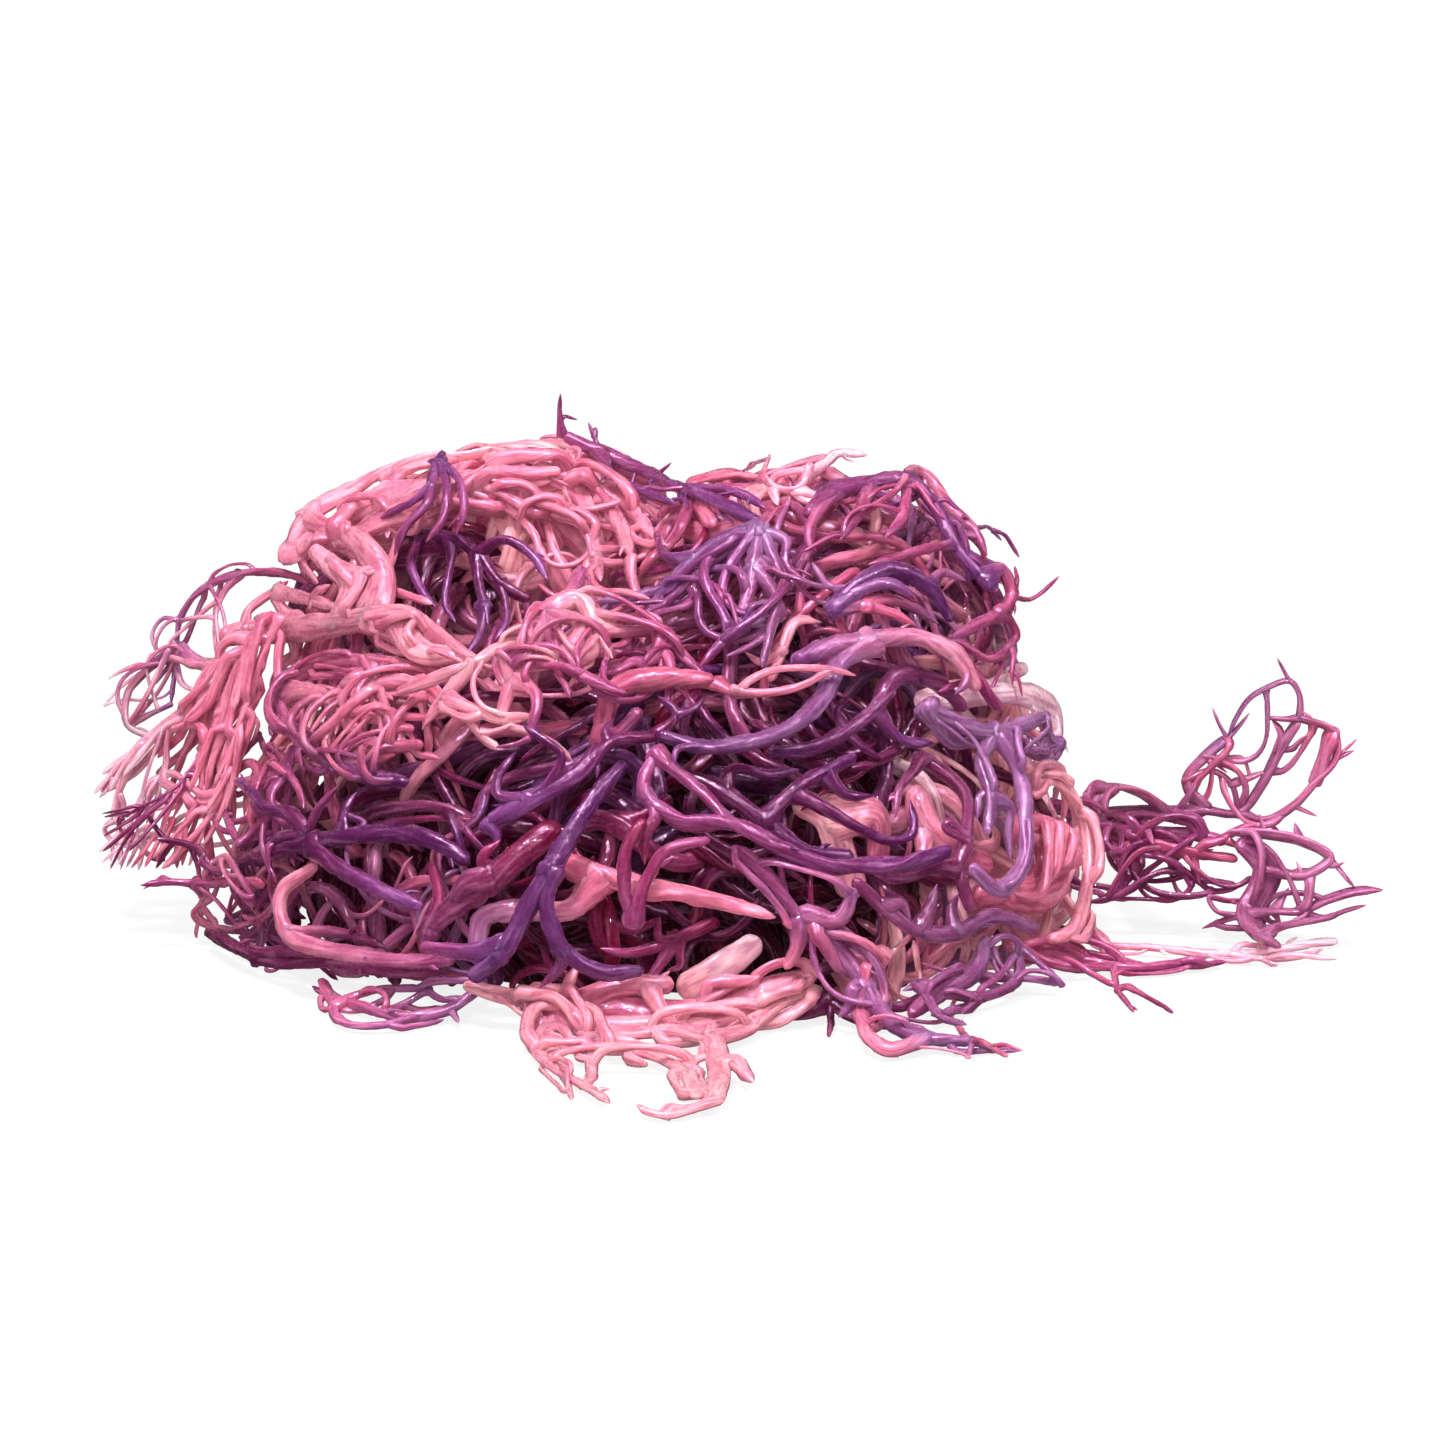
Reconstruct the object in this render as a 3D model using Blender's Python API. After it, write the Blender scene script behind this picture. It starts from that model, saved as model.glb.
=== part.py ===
"""A heap of purple sea moss: wet, branching strands that lie over one another in a loose mound.

Lengths are in millimetres up to the curves, which are made in metres. The mound rests on z = 0.
The strands in front follow routes drawn as they look from the front and a little above: the first two
values of a point are millimetres to the right and upward, in a plane square to that line of sight
through the foot of the mound. A third value is how far back the point lies, for a strand that stands
clear of the mound. Without it the strand lies on the mound, or on the ground before or beside it.
"""

import math
import random

import bmesh
import bpy
import numpy as np
from mathutils import Vector

MM = 0.001
WELD = 1e-6
SEED = 11

# The line of sight that the routes are drawn along
EYE_TILT = math.radians(15)
EYE_DISTANCE = 900
SIGHT = np.array([0.0, math.cos(EYE_TILT), -math.sin(EYE_TILT)])
UP = np.array([0.0, math.sin(EYE_TILT), math.cos(EYE_TILT)])
EYE = -EYE_DISTANCE * SIGHT
CAST_NEAR = 740
CAST_FAR = 1060
CAST_STEP = 1

# The mound is three rounded lobes: centre and half sizes
LOBES = np.array(
    [
        [[-19, 0, 10], [84, 70, 58]],
        [[-48, 22, 50], [40, 36, 40]],
        [[12, 8, 52], [43, 40, 38]],
    ],
    dtype=float,
)
LOBE_BLEND = 14
FLOOR_BLEND = 10

# The core that the inner strands grow from lies this far inside the lobes
CORE_DEPTH = 17
CORE_TURNS = 12
CORE_RINGS = 8

# Spacing between strands of different fronds, on the ground and off the core
GAP = 0.55
FLOOR_GAP = 0.15
CORE_CLEARANCE = 1.0
SPREAD_TURNS = 160
SPREAD_SMOOTH_TURNS = 120
SPREAD_SHARE = 0.6
DEPTH_BIAS = 1.8
KNIT = 0.25
LEAST_WEIGHT = 0.15
PAIR_TURNS = 8
PAIR_REACH = 4
LEFT_REACH = 1
LEFT_SHARE = 0.6
LEAST_THICKNESS = 0.2

# How finely a strand is followed, as a share of its thickness
STEP_SHARE = 3.2
STEP_LEAST = 4.2
STEP_MOST = 9
JOIN_REACH = 2.2
JOIN_DEPTH_SHARE = 0.8
FLARE = 1.2

# Sides of a strand up to each thickness, and how far its corners stand out to look as thick as a round one
SIDES_BY_THICKNESS = ((3.3, 3), (math.inf, 4))
CORNER_SHARE = {3: 1.2, 4: 1.12}

# Spines: their length, how far they lean to the tip and towards the eye, and their radii
BARB_LENGTH = (3.0, 6.5)
BARB_LEAN = (0.1, 0.6)
BARB_FORWARD = (0, 0.4)
BARB_RADII = np.array([0.6, 0.35])

# Strands that wander over the mound: how they bend, and how hard one that strays turns back
WANDER_LEAST = 4
WANDER_BENDS = 4
WANDER_FITS = 3
HOMING = 0.15

# Strands that arch out of the core
INNER_STRANDS = 20
INNER_HEIGHTS = (0.06, 0.96)
INNER_CROWDING = 1.3
INNER_STEP = 10
INNER_LENGTH = (46, 78)
INNER_WIDTH = (2.4, 3.4)
INNER_CURL = 0.3
INNER_SUNK = -25
INNER_SINK_POWER = 3
INNER_CREST = (-7, -1.5)

# Fronds over the back: widths are at root and tip, heights at root, middle and tip
BACK_STEP = 10
BACK_LENGTH = 92
BACK_WIDTH = (3.4, 2.4)
BACK_LIFTS = (1, 5, 1)
BACK_CURL = 0.35
BACK_START_LIFT = 2
BRANCHES = 3
BRANCH_LENGTH = 36
BRANCH_SPREAD = (0.7, 1.3)
BRANCH_WIDTH = (2.8, 1.6)
BRANCH_LIFTS = (3, 6, 2)
BRANCH_CURL = 0.45
BRANCH_SIDEWAYS = 1.3

COLOURS = {
    "deep_purple": (0.085, 0.02, 0.075),
    "violet": (0.22, 0.1, 0.27),
    "mauve": (0.33, 0.11, 0.22),
    "magenta": (0.36, 0.07, 0.17),
    "rose": (0.62, 0.15, 0.22),
    "salmon": (0.74, 0.28, 0.32),
    "pale_pink": (0.84, 0.5, 0.5),
}
WET_ROUGHNESS = 0.25


def strand(root, tip, lift, points, barbs=0):
    """One strand: its thickness at both ends, its height above the mound, its route and its barbs.

    The height is one value, or three for the root, the middle and the tip.
    """
    return {"root": root, "tip": tip, "lift": lift, "points": points, "barbs": barbs}


# Each frond is one piece of the plant: a first strand, and the strands that branch from it
FRONDS = {
    "left_purple_loops": (
        "mauve",
        [
            strand(2.4, 1.3, 0, [(-84, 65, 18), (-91, 69, 25), (-100, 70, 30), (-106, 68.5, 32),
                                 (-111, 65, 33), (-113.5, 60, 33), (-114, 53, 31), (-115, 44, 28)], 1),
            strand(1.0, 0.9, 0, [(-112, 63, 33), (-117, 61, 34), (-119, 57, 34), (-118, 55, 33),
                                 (-114.5, 54, 31)]),
            strand(2.6, 1.6, 0, [(-114, 53, 31), (-118.5, 52, 32), (-121.5, 49, 32), (-124, 45.5, 31),
                                 (-124.5, 41.5, 30), (-122, 38.5, 29), (-118, 37, 28)], 1),
            strand(2.4, 2.0, 0, [(-114, 53, 31), (-109, 52, 27), (-103, 52, 21), (-97, 51, 12)]),
            strand(1.5, 1.1, 0, [(-123.5, 42, 30), (-118, 42.5, 29), (-115, 44, 28)]),
            strand(1.1, 0.7, 0, [(-120.5, 50.5, 32), (-125, 47.5, 33), (-128.3, 44, 33)]),
            strand(1.7, 1.2, 0, [(-102, 69.5, 31), (-105, 65, 30), (-106, 60, 27), (-104, 54, 22)]),
        ],
    ),
    "pink_tassel": (
        "salmon",
        [
            strand(3.0, 1.6, 0, [(-94, 61, 4), (-99, 55, 4), (-103, 47, 1), (-106, 38, -2),
                                 (-108, 30, -4), (-109.5, 24, -6), (-113, 18, -8)]),
            strand(2.6, 1.4, 0, [(-97, 58, 4), (-104, 51, 5), (-107, 42, 4), (-109, 34, 1),
                                 (-111.5, 27, -2), (-114.5, 21, -5)]),
            strand(2.8, 1.3, 0, [(-94, 61, 4), (-96, 52, 0), (-99.5, 43, -4), (-102, 34, -7),
                                 (-104.5, 27, -9), (-108, 21.5, -10)]),
            strand(1.7, 1.4, 0, [(-107, 43, 4), (-113, 42, 7), (-118, 37, 8), (-122, 33.5, 8),
                                 (-124.3, 28.5, 7), (-126, 23.5, 6), (-125.3, 19.8, 4), (-121.5, 18, 2),
                                 (-117, 18.6, 0), (-111.5, 22.5, -4)]),
            strand(1.4, 1.1, 0, [(-126, 22, 6), (-128.3, 18.6, 6), (-126.5, 16.6, 5), (-123.5, 15.7, 4),
                                 (-121.5, 17.8, 2)]),
            strand(2.2, 1.2, 0, [(-113, 41.5, 7), (-115.5, 37, 5), (-116, 31.5, 3), (-118.5, 26.5, 3),
                                 (-121, 22.5, 3)]),
            strand(1.2, 0.9, 0, [(-109, 30.5, -4), (-114, 27.3, -6), (-119, 24.3, -7), (-124.8, 21.2, -8)]),
            strand(1.4, 0.9, 0, [(-112.5, 18.5, -8), (-115, 15, -9), (-117, 12, -9)]),
            strand(1.3, 1.0, 0, [(-110, 27, -4), (-113.5, 24, -3), (-117, 25.2, 0)]),
        ],
    ),
    "left_fan_frond": (
        "salmon",
        [
            strand(3.6, 3.2, 7, [(-106, 57.5, 8), (-98, 58.5), (-90, 59.3), (-80, 60), (-71, 61),
                                 (-66, 59.5), (-61, 55.5), (-56, 52.2), (-51.5, 50)]),
            strand(4.4, 2.6, 8, [(-71, 60), (-67.5, 56), (-63.5, 53), (-58, 51.6)]),
            strand(3.0, 1.8, 5, [(-76, 59.5), (-70, 57), (-66.5, 54), (-64, 51.5)]),
            strand(2.6, 1.4, 8, [(-103, 58.5), (-100, 62.5), (-95.5, 65.8), (-92, 69)]),
            strand(2.0, 1.4, 7, [(-96, 65), (-92.5, 62.5), (-88, 61.5)]),
            strand(2.2, 1.4, 7, [(-94, 66), (-88, 65.3), (-82, 63.5)]),
            strand(4.8, 3.0, 7, [(-74, 61), (-73, 67), (-75, 73), (-80, 78)]),
            strand(3.6, 2.2, 7, [(-79, 60.5), (-79, 66), (-82, 71), (-86.5, 75.5)]),
            strand(2.2, 1.6, 7, [(-80, 73), (-77, 70.5), (-73.5, 71)]),
            strand(2.2, 1.4, 5, [(-90, 59), (-91, 55), (-94, 51), (-95, 46)]),
        ],
    ),
    "pink_dome_frond": (
        "salmon",
        [
            strand(3.4, 2.8, 2, [(-91.5, 74), (-89, 79.5), (-83, 83.5), (-76, 88), (-70, 91), (-64, 92.6),
                                 (-58, 93.3), (-52, 95), (-45, 96), (-38, 96), (-32, 93.5)]),
            strand(4.6, 3.0, 4, [(-88.5, 72), (-84.5, 77), (-78, 83), (-70, 87), (-60, 89.6), (-50, 91),
                                 (-41, 91), (-34, 88)]),
            strand(4.0, 2.4, 5, [(-84, 70), (-80, 76.5), (-72, 82), (-62, 86), (-53, 87.8), (-45, 87.5),
                                 (-38, 85)]),
            strand(3.2, 1.8, 4, [(-80, 76.5), (-75, 77.5), (-69, 80.5), (-62, 82.6)]),
            strand(3.0, 2.0, 4, [(-84, 82.5), (-82, 77), (-77, 72.5), (-74, 68)]),
            strand(2.6, 1.8, 5, [(-72, 89.5), (-71, 83), (-71.5, 77)]),
            strand(2.6, 1.8, 3, [(-88.5, 78), (-87.5, 72), (-84, 67)]),
            strand(3.4, 1.8, 5, [(-41, 91), (-33, 90.5), (-28, 86), (-25, 80), (-23, 74)]),
            strand(2.8, 1.5, 4, [(-30, 88.5), (-24, 85), (-20, 80), (-16, 76.5)]),
            strand(2.6, 1.5, 5, [(-35, 89), (-31, 82), (-30.3, 75), (-29, 69)]),
            strand(2.4, 1.5, 6, [(-45, 87.5), (-40, 83), (-34, 81.5), (-30.5, 76)]),
            strand(2.0, 1.2, 4, [(-53, 87.8), (-48, 84), (-43, 79), (-41, 74)]),
        ],
    ),
    "mauve_tuft": (
        "mauve",
        [
            strand(2.2, 1.8, (3, 9, 5), [(-60, 93), (-62, 89), (-63.5, 84), (-68, 78.5), (-70, 73)]),
            strand(2.0, 1.6, (3, 9, 6), [(-60.5, 92), (-59.5, 87), (-60, 81), (-63.5, 75.5)]),
            strand(2.0, 1.4, (3, 9, 5), [(-60.5, 92), (-57, 88), (-56, 82), (-57.5, 77)]),
            strand(1.8, 1.4, (3, 8, 6), [(-63, 86), (-66.5, 84), (-73, 80.5)]),
        ],
    ),
    "dark_hollow_frond": (
        "deep_purple",
        [
            strand(3.0, 2.2, (-3, 2, 2), [(-70, 77), (-65, 78), (-59, 77.5), (-54.5, 75.5), (-52, 71.5),
                                          (-48, 67.5), (-43, 65)]),
            strand(2.4, 1.6, 2, [(-55, 76), (-53.5, 70), (-52.5, 65), (-51.5, 60)]),
            strand(2.2, 1.6, 1, [(-52.6, 66), (-51, 61), (-54, 57), (-56, 53.5)]),
            strand(2.4, 1.6, 4, [(-56, 76), (-50, 77), (-46, 76.5), (-42, 73.5), (-39.5, 69)]),
            strand(2.2, 1.5, 3, [(-65, 78), (-67, 73), (-65.5, 68), (-62, 63.5)]),
            strand(1.8, 1.3, 1, [(-48, 67.5), (-47.5, 62), (-50, 57)]),
            strand(1.8, 1.3, 2, [(-59, 77.5), (-59, 71), (-60.5, 65.5), (-58, 60.5)]),
        ],
    ),
    "mauve_spiky_frond": (
        "mauve",
        [
            strand(2.8, 2.6, 4, [(-37, 97.5), (-31, 95), (-25, 92), (-20, 90.5), (-15, 88), (-10, 86.6),
                                 (-4, 84), (3, 80.5)], 2),
            strand(1.5, 0.8, 3, [(-36.5, 97), (-37.5, 101), (-37.4, 106)]),
            strand(1.3, 0.8, 3, [(-32, 95.5), (-31.8, 100.4)]),
            strand(2.4, 1.8, 5, [(-31, 95), (-27, 89.5), (-21, 86.5), (-14, 84)], 1),
            strand(2.2, 1.6, 3, [(-12, 87), (-7, 87.5), (-1, 86.5), (4, 83.5)]),
        ],
    ),
    "back_right_frond": (
        "rose",
        [
            strand(2.6, 1.8, 1, [(-12, 88.5), (-4, 90.3), (3, 90), (8, 91.5), (13, 93), (19, 94)]),
            strand(1.3, 0.8, 1, [(4, 90), (5, 94.5)]),
            strand(2.2, 1.4, 2, [(4, 90), (9, 87), (14, 91), (19, 94.5), (24.5, 94.3)]),
            strand(2.0, 1.4, 2, [(9, 87), (14, 86.5), (20, 88)]),
        ],
    ),
    "centre_fan_frond": (
        "mauve",
        [
            strand(3.4, 2.2, 6, [(3, 79), (2, 74), (1.5, 68), (-1, 62), (-3, 57)]),
            strand(3.0, 2.0, 6, [(1.5, 68), (6, 66), (8, 63), (5.5, 60.5), (0, 59.5)]),
            strand(3.0, 1.8, 5, [(3, 79), (-3, 77.5), (-8, 75.5), (-12, 70.5), (-17, 67), (-23, 65.5),
                                 (-30, 64.5)]),
            strand(2.6, 1.6, 6, [(3, 79), (-2, 75.5), (-6, 74.5), (-9, 70), (-11, 64.5)]),
            strand(2.4, 1.6, 7, [(3, 79), (-1, 75), (-4, 70), (-4.5, 63)]),
            strand(2.4, 1.6, 6, [(3, 79), (5.5, 75), (6.5, 71), (9, 67)]),
            strand(2.2, 1.4, 5, [(3, 79), (8, 77), (8, 72.5), (12, 68.5)]),
            strand(2.2, 1.4, 5, [(-12, 70.5), (-16, 74), (-17.5, 78)]),
            strand(2.2, 1.5, 4, [(-14, 68.5), (-19, 63), (-26, 60.5)]),
            strand(2.0, 1.4, 5, [(-9, 70), (-15, 65), (-20, 60.8)]),
            strand(2.0, 1.4, 5, [(0, 59.5), (-5, 55), (-9, 50.5)]),
        ],
    ),
    "right_arch_frond": (
        "violet",
        [
            strand(3.8, 3.0, 4, [(12, 82), (18, 87), (25, 88.5), (31, 89), (36, 86.5), (40, 81), (43, 74.5),
                                 (48, 69)]),
            strand(2.8, 1.8, 4, [(31, 89), (34, 91.3), (37.5, 88.5), (42, 83), (46, 79), (48.5, 74)], 2),
            strand(1.2, 0.8, 4, [(46, 79), (49, 79.5), (51.5, 77)]),
            strand(2.6, 1.8, 6, [(25, 88), (22.5, 82), (19, 77)]),
            strand(2.6, 1.8, 5, [(18, 86.5), (13, 80), (13, 75)]),
            strand(2.4, 1.6, 6, [(34, 88), (31.5, 82), (28, 77.5)]),
            strand(3.0, 2.0, 4, [(46, 71), (51, 71), (53.5, 67.5), (52, 63.5), (47, 60.5), (41, 57)]),
            strand(1.3, 0.8, 3, [(53.3, 66), (54.5, 69), (54, 72)]),
            strand(2.4, 1.6, 3, [(52, 63.5), (54.5, 59), (52, 55), (49.5, 52)]),
            strand(1.4, 0.8, 3, [(53, 64), (58, 65.5), (63, 70)]),
            strand(2.2, 1.6, 6, [(41, 79), (37, 75.5), (31, 73.5), (25, 72)]),
        ],
    ),
    "right_striped_frond": (
        "rose",
        [
            strand(4.2, 2.6, 6, [(17, 63), (21, 66.5), (25, 70), (30, 71), (34.5, 69.5), (38, 65.5),
                                 (41, 60.5)]),
            strand(2.8, 1.8, 8, [(20, 65.5), (25, 67.8), (30, 67.8), (34, 65)]),
            strand(2.4, 1.6, 7, [(18, 63.5), (24, 63.6), (29, 62), (34, 59.5)]),
            strand(2.6, 1.6, 5, [(24, 63.6), (29, 65), (34, 63), (38.5, 60)]),
            strand(2.2, 1.4, 5, [(20, 66), (16, 68), (13, 72.5)]),
            strand(2.2, 1.4, 4, [(34.5, 69.5), (40, 71), (44, 69)]),
        ],
    ),
    "front_left_network": (
        "rose",
        [
            strand(3.2, 3.0, 6, [(-60, 51), (-70, 52.6), (-80, 53), (-87.5, 51.3), (-92, 47.5), (-93, 43),
                                 (-90.5, 38.5), (-86, 34.5), (-80, 31), (-74, 29.2), (-67.5, 28.4)]),
            strand(3.2, 2.2, 6, [(-91.5, 46.5), (-85.5, 46.5), (-80.5, 42.5), (-77.5, 38.5), (-72, 36.5),
                                 (-64, 37)]),
            strand(2.6, 1.8, 7, [(-77, 52.8), (-80, 48.5), (-80, 43.5), (-78, 39)]),
            strand(2.4, 1.6, 7, [(-78, 51.5), (-73.5, 48), (-72, 43.5), (-71, 39.5)]),
            strand(2.2, 1.6, 6, [(-73, 47.5), (-77, 46.5), (-77, 43), (-73, 41), (-67, 39.5)]),
            strand(2.6, 1.8, 5, [(-73, 49.5), (-67.5, 48.8), (-63.5, 46), (-60, 43.5)]),
            strand(2.4, 1.8, 5, [(-79, 33.5), (-76, 33), (-70, 34)]),
            strand(2.0, 1.5, 4, [(-81, 38.5), (-84, 36), (-82.5, 33.2)]),
        ],
    ),
    "left_blunt_strand": (
        "salmon",
        [
            strand(2.6, 2.4, (9, 10, 6), [(-69, 45.6), (-64, 48), (-58, 49.3), (-52, 52.5), (-46, 56.5),
                                          (-40, 58), (-37, 61.5)]),
            strand(2.6, 1.8, (9, 8, 4), [(-54, 51), (-58.5, 46.5), (-61, 42), (-64, 38)]),
            strand(2.4, 1.8, (9, 7, 4), [(-57.5, 44.5), (-52, 42.3), (-46, 41.4), (-41, 42.5)]),
        ],
    ),
    "pale_hub_frond": (
        "pale_pink",
        [
            strand(3.4, 2.4, (4, 8, 4), [(-33, 69), (-34.5, 64.5), (-39.3, 61), (-42, 54.5), (-45.5, 48.5),
                                         (-49, 43), (-50, 37.5)]),
            strand(3.6, 2.6, 7, [(-38.5, 61.5), (-34.5, 63), (-31, 59), (-30.5, 54), (-33.5, 50.3),
                                 (-38, 50)]),
            strand(3.0, 2.0, 8, [(-38.5, 61), (-34, 58), (-33, 54), (-36.5, 51.5)]),
            strand(2.8, 2.2, 7, [(-39.3, 60), (-38.5, 53), (-35, 48.5), (-29, 46.2), (-24, 44)]),
            strand(2.6, 1.8, 6, [(-45.5, 48.5), (-43, 44.5), (-42.5, 39.5), (-44, 34)]),
            strand(2.4, 1.8, 8, [(-53, 52.3), (-49.5, 51.5), (-46.3, 48.5)]),
            strand(3.0, 1.8, 5, [(-31, 58), (-26, 57.2), (-20, 58.7), (-16, 57.5), (-12, 53), (-7.5, 49.5)]),
            strand(2.4, 1.6, 6, [(-16, 57.5), (-17.5, 54), (-21, 50.6)]),
            strand(2.0, 1.5, 5, [(-29, 58), (-27.5, 54), (-28.5, 50)]),
        ],
    ),
    "salmon_bar_frond": (
        "salmon",
        [
            strand(4.4, 4.2, (2, 8, 7), [(-29.5, 38), (-29, 43), (-25.5, 47), (-20, 48.8), (-13, 48.8),
                                         (-6, 48)]),
            strand(2.0, 1.4, 9, [(-7, 48), (-2, 46), (3, 49.5), (9, 50.3), (16, 50), (22, 48.6)]),
            strand(1.8, 1.3, 9, [(-1, 45.2), (5, 45.6), (11, 47), (17, 48.8)]),
            strand(3.2, 2.8, 7, [(-29, 41), (-27, 37.5), (-23.5, 40), (-21, 43)]),
        ],
    ),
    "pale_bent_strand": (
        "pale_pink",
        [
            strand(2.2, 1.8, (3, 8, 4), [(5, 49), (7, 54), (9, 59), (11.5, 62), (15.5, 61)]),
            strand(1.8, 1.3, (5, 6, 4), [(7, 54), (4, 53), (0, 55)]),
        ],
    ),
    "violet_frond": (
        "violet",
        [
            strand(3.8, 3.2, 6, [(8, 52), (14, 55), (22, 56.3), (28, 57), (34, 57), (39, 54), (43, 50.3),
                                 (44.5, 46)]),
            strand(3.6, 2.6, (6, 8, 5), [(22, 56.3), (18.5, 53), (16.5, 49), (14.5, 45), (9.5, 39.5),
                                         (2, 35.5), (-6, 33.2), (-14, 33.6), (-19.5, 35.5)]),
            strand(2.0, 1.4, 7, [(41, 52.5), (42.5, 48.5), (40, 45.5)]),
            strand(1.6, 1.2, 6, [(-14, 33.6), (-17, 31.8), (-16, 29)]),
        ],
    ),
    "violet_knee_frond": (
        "violet",
        [
            strand(3.4, 2.6, 5, [(45, 44), (41, 48.5), (35.5, 51), (31, 50.5), (28.5, 47), (25.5, 43),
                                 (18.5, 38), (10, 34.5), (4.5, 34.8)]),
            strand(2.6, 1.8, 4, [(27, 45), (29.5, 40.5), (34, 36.5), (38.5, 37.5)]),
            strand(1.8, 1.3, 4, [(20, 39), (18.5, 43.5), (21, 46)]),
            strand(1.8, 1.3, 4, [(20.5, 39.5), (24, 35.5), (28, 33)]),
        ],
    ),
    "mauve_centre_frond": (
        "violet",
        [
            strand(2.8, 3.6, 6, [(-17.5, 35.5), (-20.5, 32.5), (-19, 26.8), (-14.8, 22.3), (-9, 20.7),
                                 (-3.5, 20.7), (2, 18.3), (7.5, 14.7), (14.5, 11), (22.5, 10.3),
                                 (33, 11), (41, 13.5)]),
            strand(2.4, 2.0, 5, [(-10.4, 30.5), (-7.4, 26.5), (-3.5, 21.5)]),
            strand(2.4, 1.8, 7, [(-17.5, 25), (-17, 21), (-20.5, 17.5), (-19.5, 13)]),
        ],
    ),
    "dark_centre_frond": (
        "deep_purple",
        [
            strand(3.2, 2.8, 3, [(-14, 30.5), (-8, 28.6), (-1, 24.2), (7, 18.2), (14, 13.8), (22, 13.5)]),
            strand(2.8, 2.0, 3, [(4.5, 23.5), (10, 26.8), (15, 29.8), (22.5, 33.8)]),
            strand(2.4, 1.8, 2, [(-8, 28.6), (-3, 31), (4, 30), (11, 31)]),
            strand(2.2, 1.6, 3, [(14, 29.5), (20, 26), (26, 25.5)]),
            strand(2.4, 1.6, 4, [(13, 22), (20, 20.8), (26.5, 17.5), (31.5, 16.5), (34, 20), (33, 25)]),
        ],
    ),
    "centre_branched_frond": (
        "deep_purple",
        [
            strand(2.8, 3.4, (3, 6, 5), [(-17, 37), (-22, 35.8), (-26.5, 35.6), (-31, 31), (-38, 26),
                                         (-45, 23), (-51.5, 19.5)]),
            strand(1.8, 1.4, 6, [(-18, 37), (-14.5, 40), (-13, 43), (-17, 45.5)]),
            strand(1.5, 1.1, 6, [(-13.3, 42), (-9.5, 43.5), (-7.5, 46)]),
            strand(2.0, 1.4, 5, [(-28.5, 33.5), (-27.5, 37.5), (-25.5, 40.5)]),
            strand(1.8, 1.3, 6, [(-39, 26), (-36, 31), (-40, 35), (-44, 37.5)]),
            strand(2.4, 1.5, 6, [(-47, 22.5), (-51, 25.5), (-49, 29), (-45.5, 34)]),
            strand(2.0, 1.4, 5, [(-51, 20), (-49.5, 16.5), (-50.5, 13.5)]),
        ],
    ),
    "blue_violet_frond": (
        "violet",
        [
            strand(3.0, 3.6, (3, 8, 5), [(-24, 34), (-27, 31), (-31.8, 24), (-36, 17), (-39.8, 10),
                                         (-43.5, 3.5), (-46, -2), (-50, -6.5), (-54.5, -10)]),
            strand(3.2, 2.8, (8, 8, 5), [(-39.8, 10), (-39.6, 4), (-37.5, -2.5), (-34.5, -6.5),
                                         (-28.5, -9.3), (-20, -9)]),
            strand(3.4, 2.4, 5, [(-46, -2), (-51.5, -4.5), (-58, -4), (-64, -3)]),
            strand(2.4, 1.8, 4, [(-36.5, -4), (-37, -8.5), (-41, -12.5)]),
        ],
    ),
    "magenta_broad_frond": (
        "magenta",
        [
            strand(5.0, 3.4, (2, 6, 5), [(-37.5, 21), (-41.5, 18.5), (-46.5, 13.5), (-53, 8.6), (-59, 4.5),
                                         (-64, -1)]),
            strand(3.6, 2.2, 8, [(-53, 8.6), (-57, 9), (-60.5, 6)]),
            strand(2.4, 1.6, 5, [(-52, 10), (-52.5, 14.5), (-49, 18)]),
            strand(2.8, 2.0, 4, [(-61.5, 2), (-62, 7.5), (-63.5, 13)]),
        ],
    ),
    "long_pale_frond": (
        "pale_pink",
        [
            strand(4.4, 1.8, (1, 4, 5), [(-37, 12.5), (-32, 10.8), (-26, 8.6), (-19, 7.2), (-11, 6),
                                         (-3, 4.2), (6, 1.6)]),
            strand(3.4, 3.2, (4, 3, 5), [(-26, 8), (-32, 4.8), (-38.5, 2.8), (-46, 2.6), (-51.5, 3),
                                         (-54.5, -2), (-54.5, -8)]),
        ],
    ),
    "maroon_hanging_loop": (
        "magenta",
        [
            strand(2.6, 2.2, 9, [(-20, 21), (-22.8, 17), (-24.2, 10.5), (-23.6, 4), (-22.6, 0)]),
            strand(2.4, 2.2, 9, [(-22.8, 0.8), (-20.8, 2.8), (-20.2, 8), (-18.8, 13), (-14, 15.5),
                                 (-7, 17)]),
        ],
    ),
    "left_dark_band": (
        "deep_purple",
        [
            strand(2.6, 3.6, (1, 6, 4), [(-103, 12.5), (-96, 14), (-89, 15.2), (-82, 16.6), (-75, 17.4),
                                         (-68, 17.2), (-60.5, 15.5), (-55, 11.5)]),
            strand(2.2, 1.6, 4, [(-99, 14), (-93.5, 17.2), (-86, 19), (-84.5, 24), (-81, 27.5)]),
            strand(2.4, 1.8, 5, [(-81, 17.2), (-80, 22), (-77.5, 26)]),
            strand(2.6, 1.8, 4, [(-86, 18.2), (-90, 22), (-94.5, 22.8), (-98, 27), (-101, 29)]),
            strand(3.4, 2.4, 6, [(-88, 15.2), (-84, 12.8), (-78, 8.8), (-71, 5.6), (-64, 2.8)]),
            strand(1.6, 1.2, 5, [(-77, 17.5), (-76, 20), (-79, 22)]),
        ],
    ),
    "left_mauve_frond": (
        "mauve",
        [
            strand(2.4, 1.8, 3, [(-91, 36), (-93, 30), (-95.5, 26.5), (-94.5, 21.5), (-91.5, 19.5)]),
            strand(2.2, 1.6, 2, [(-93, 30), (-99, 29), (-104, 26), (-103, 20), (-101, 15.5)]),
            strand(1.8, 1.4, 3, [(-99, 29), (-98.5, 25), (-97.5, 21)]),
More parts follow.
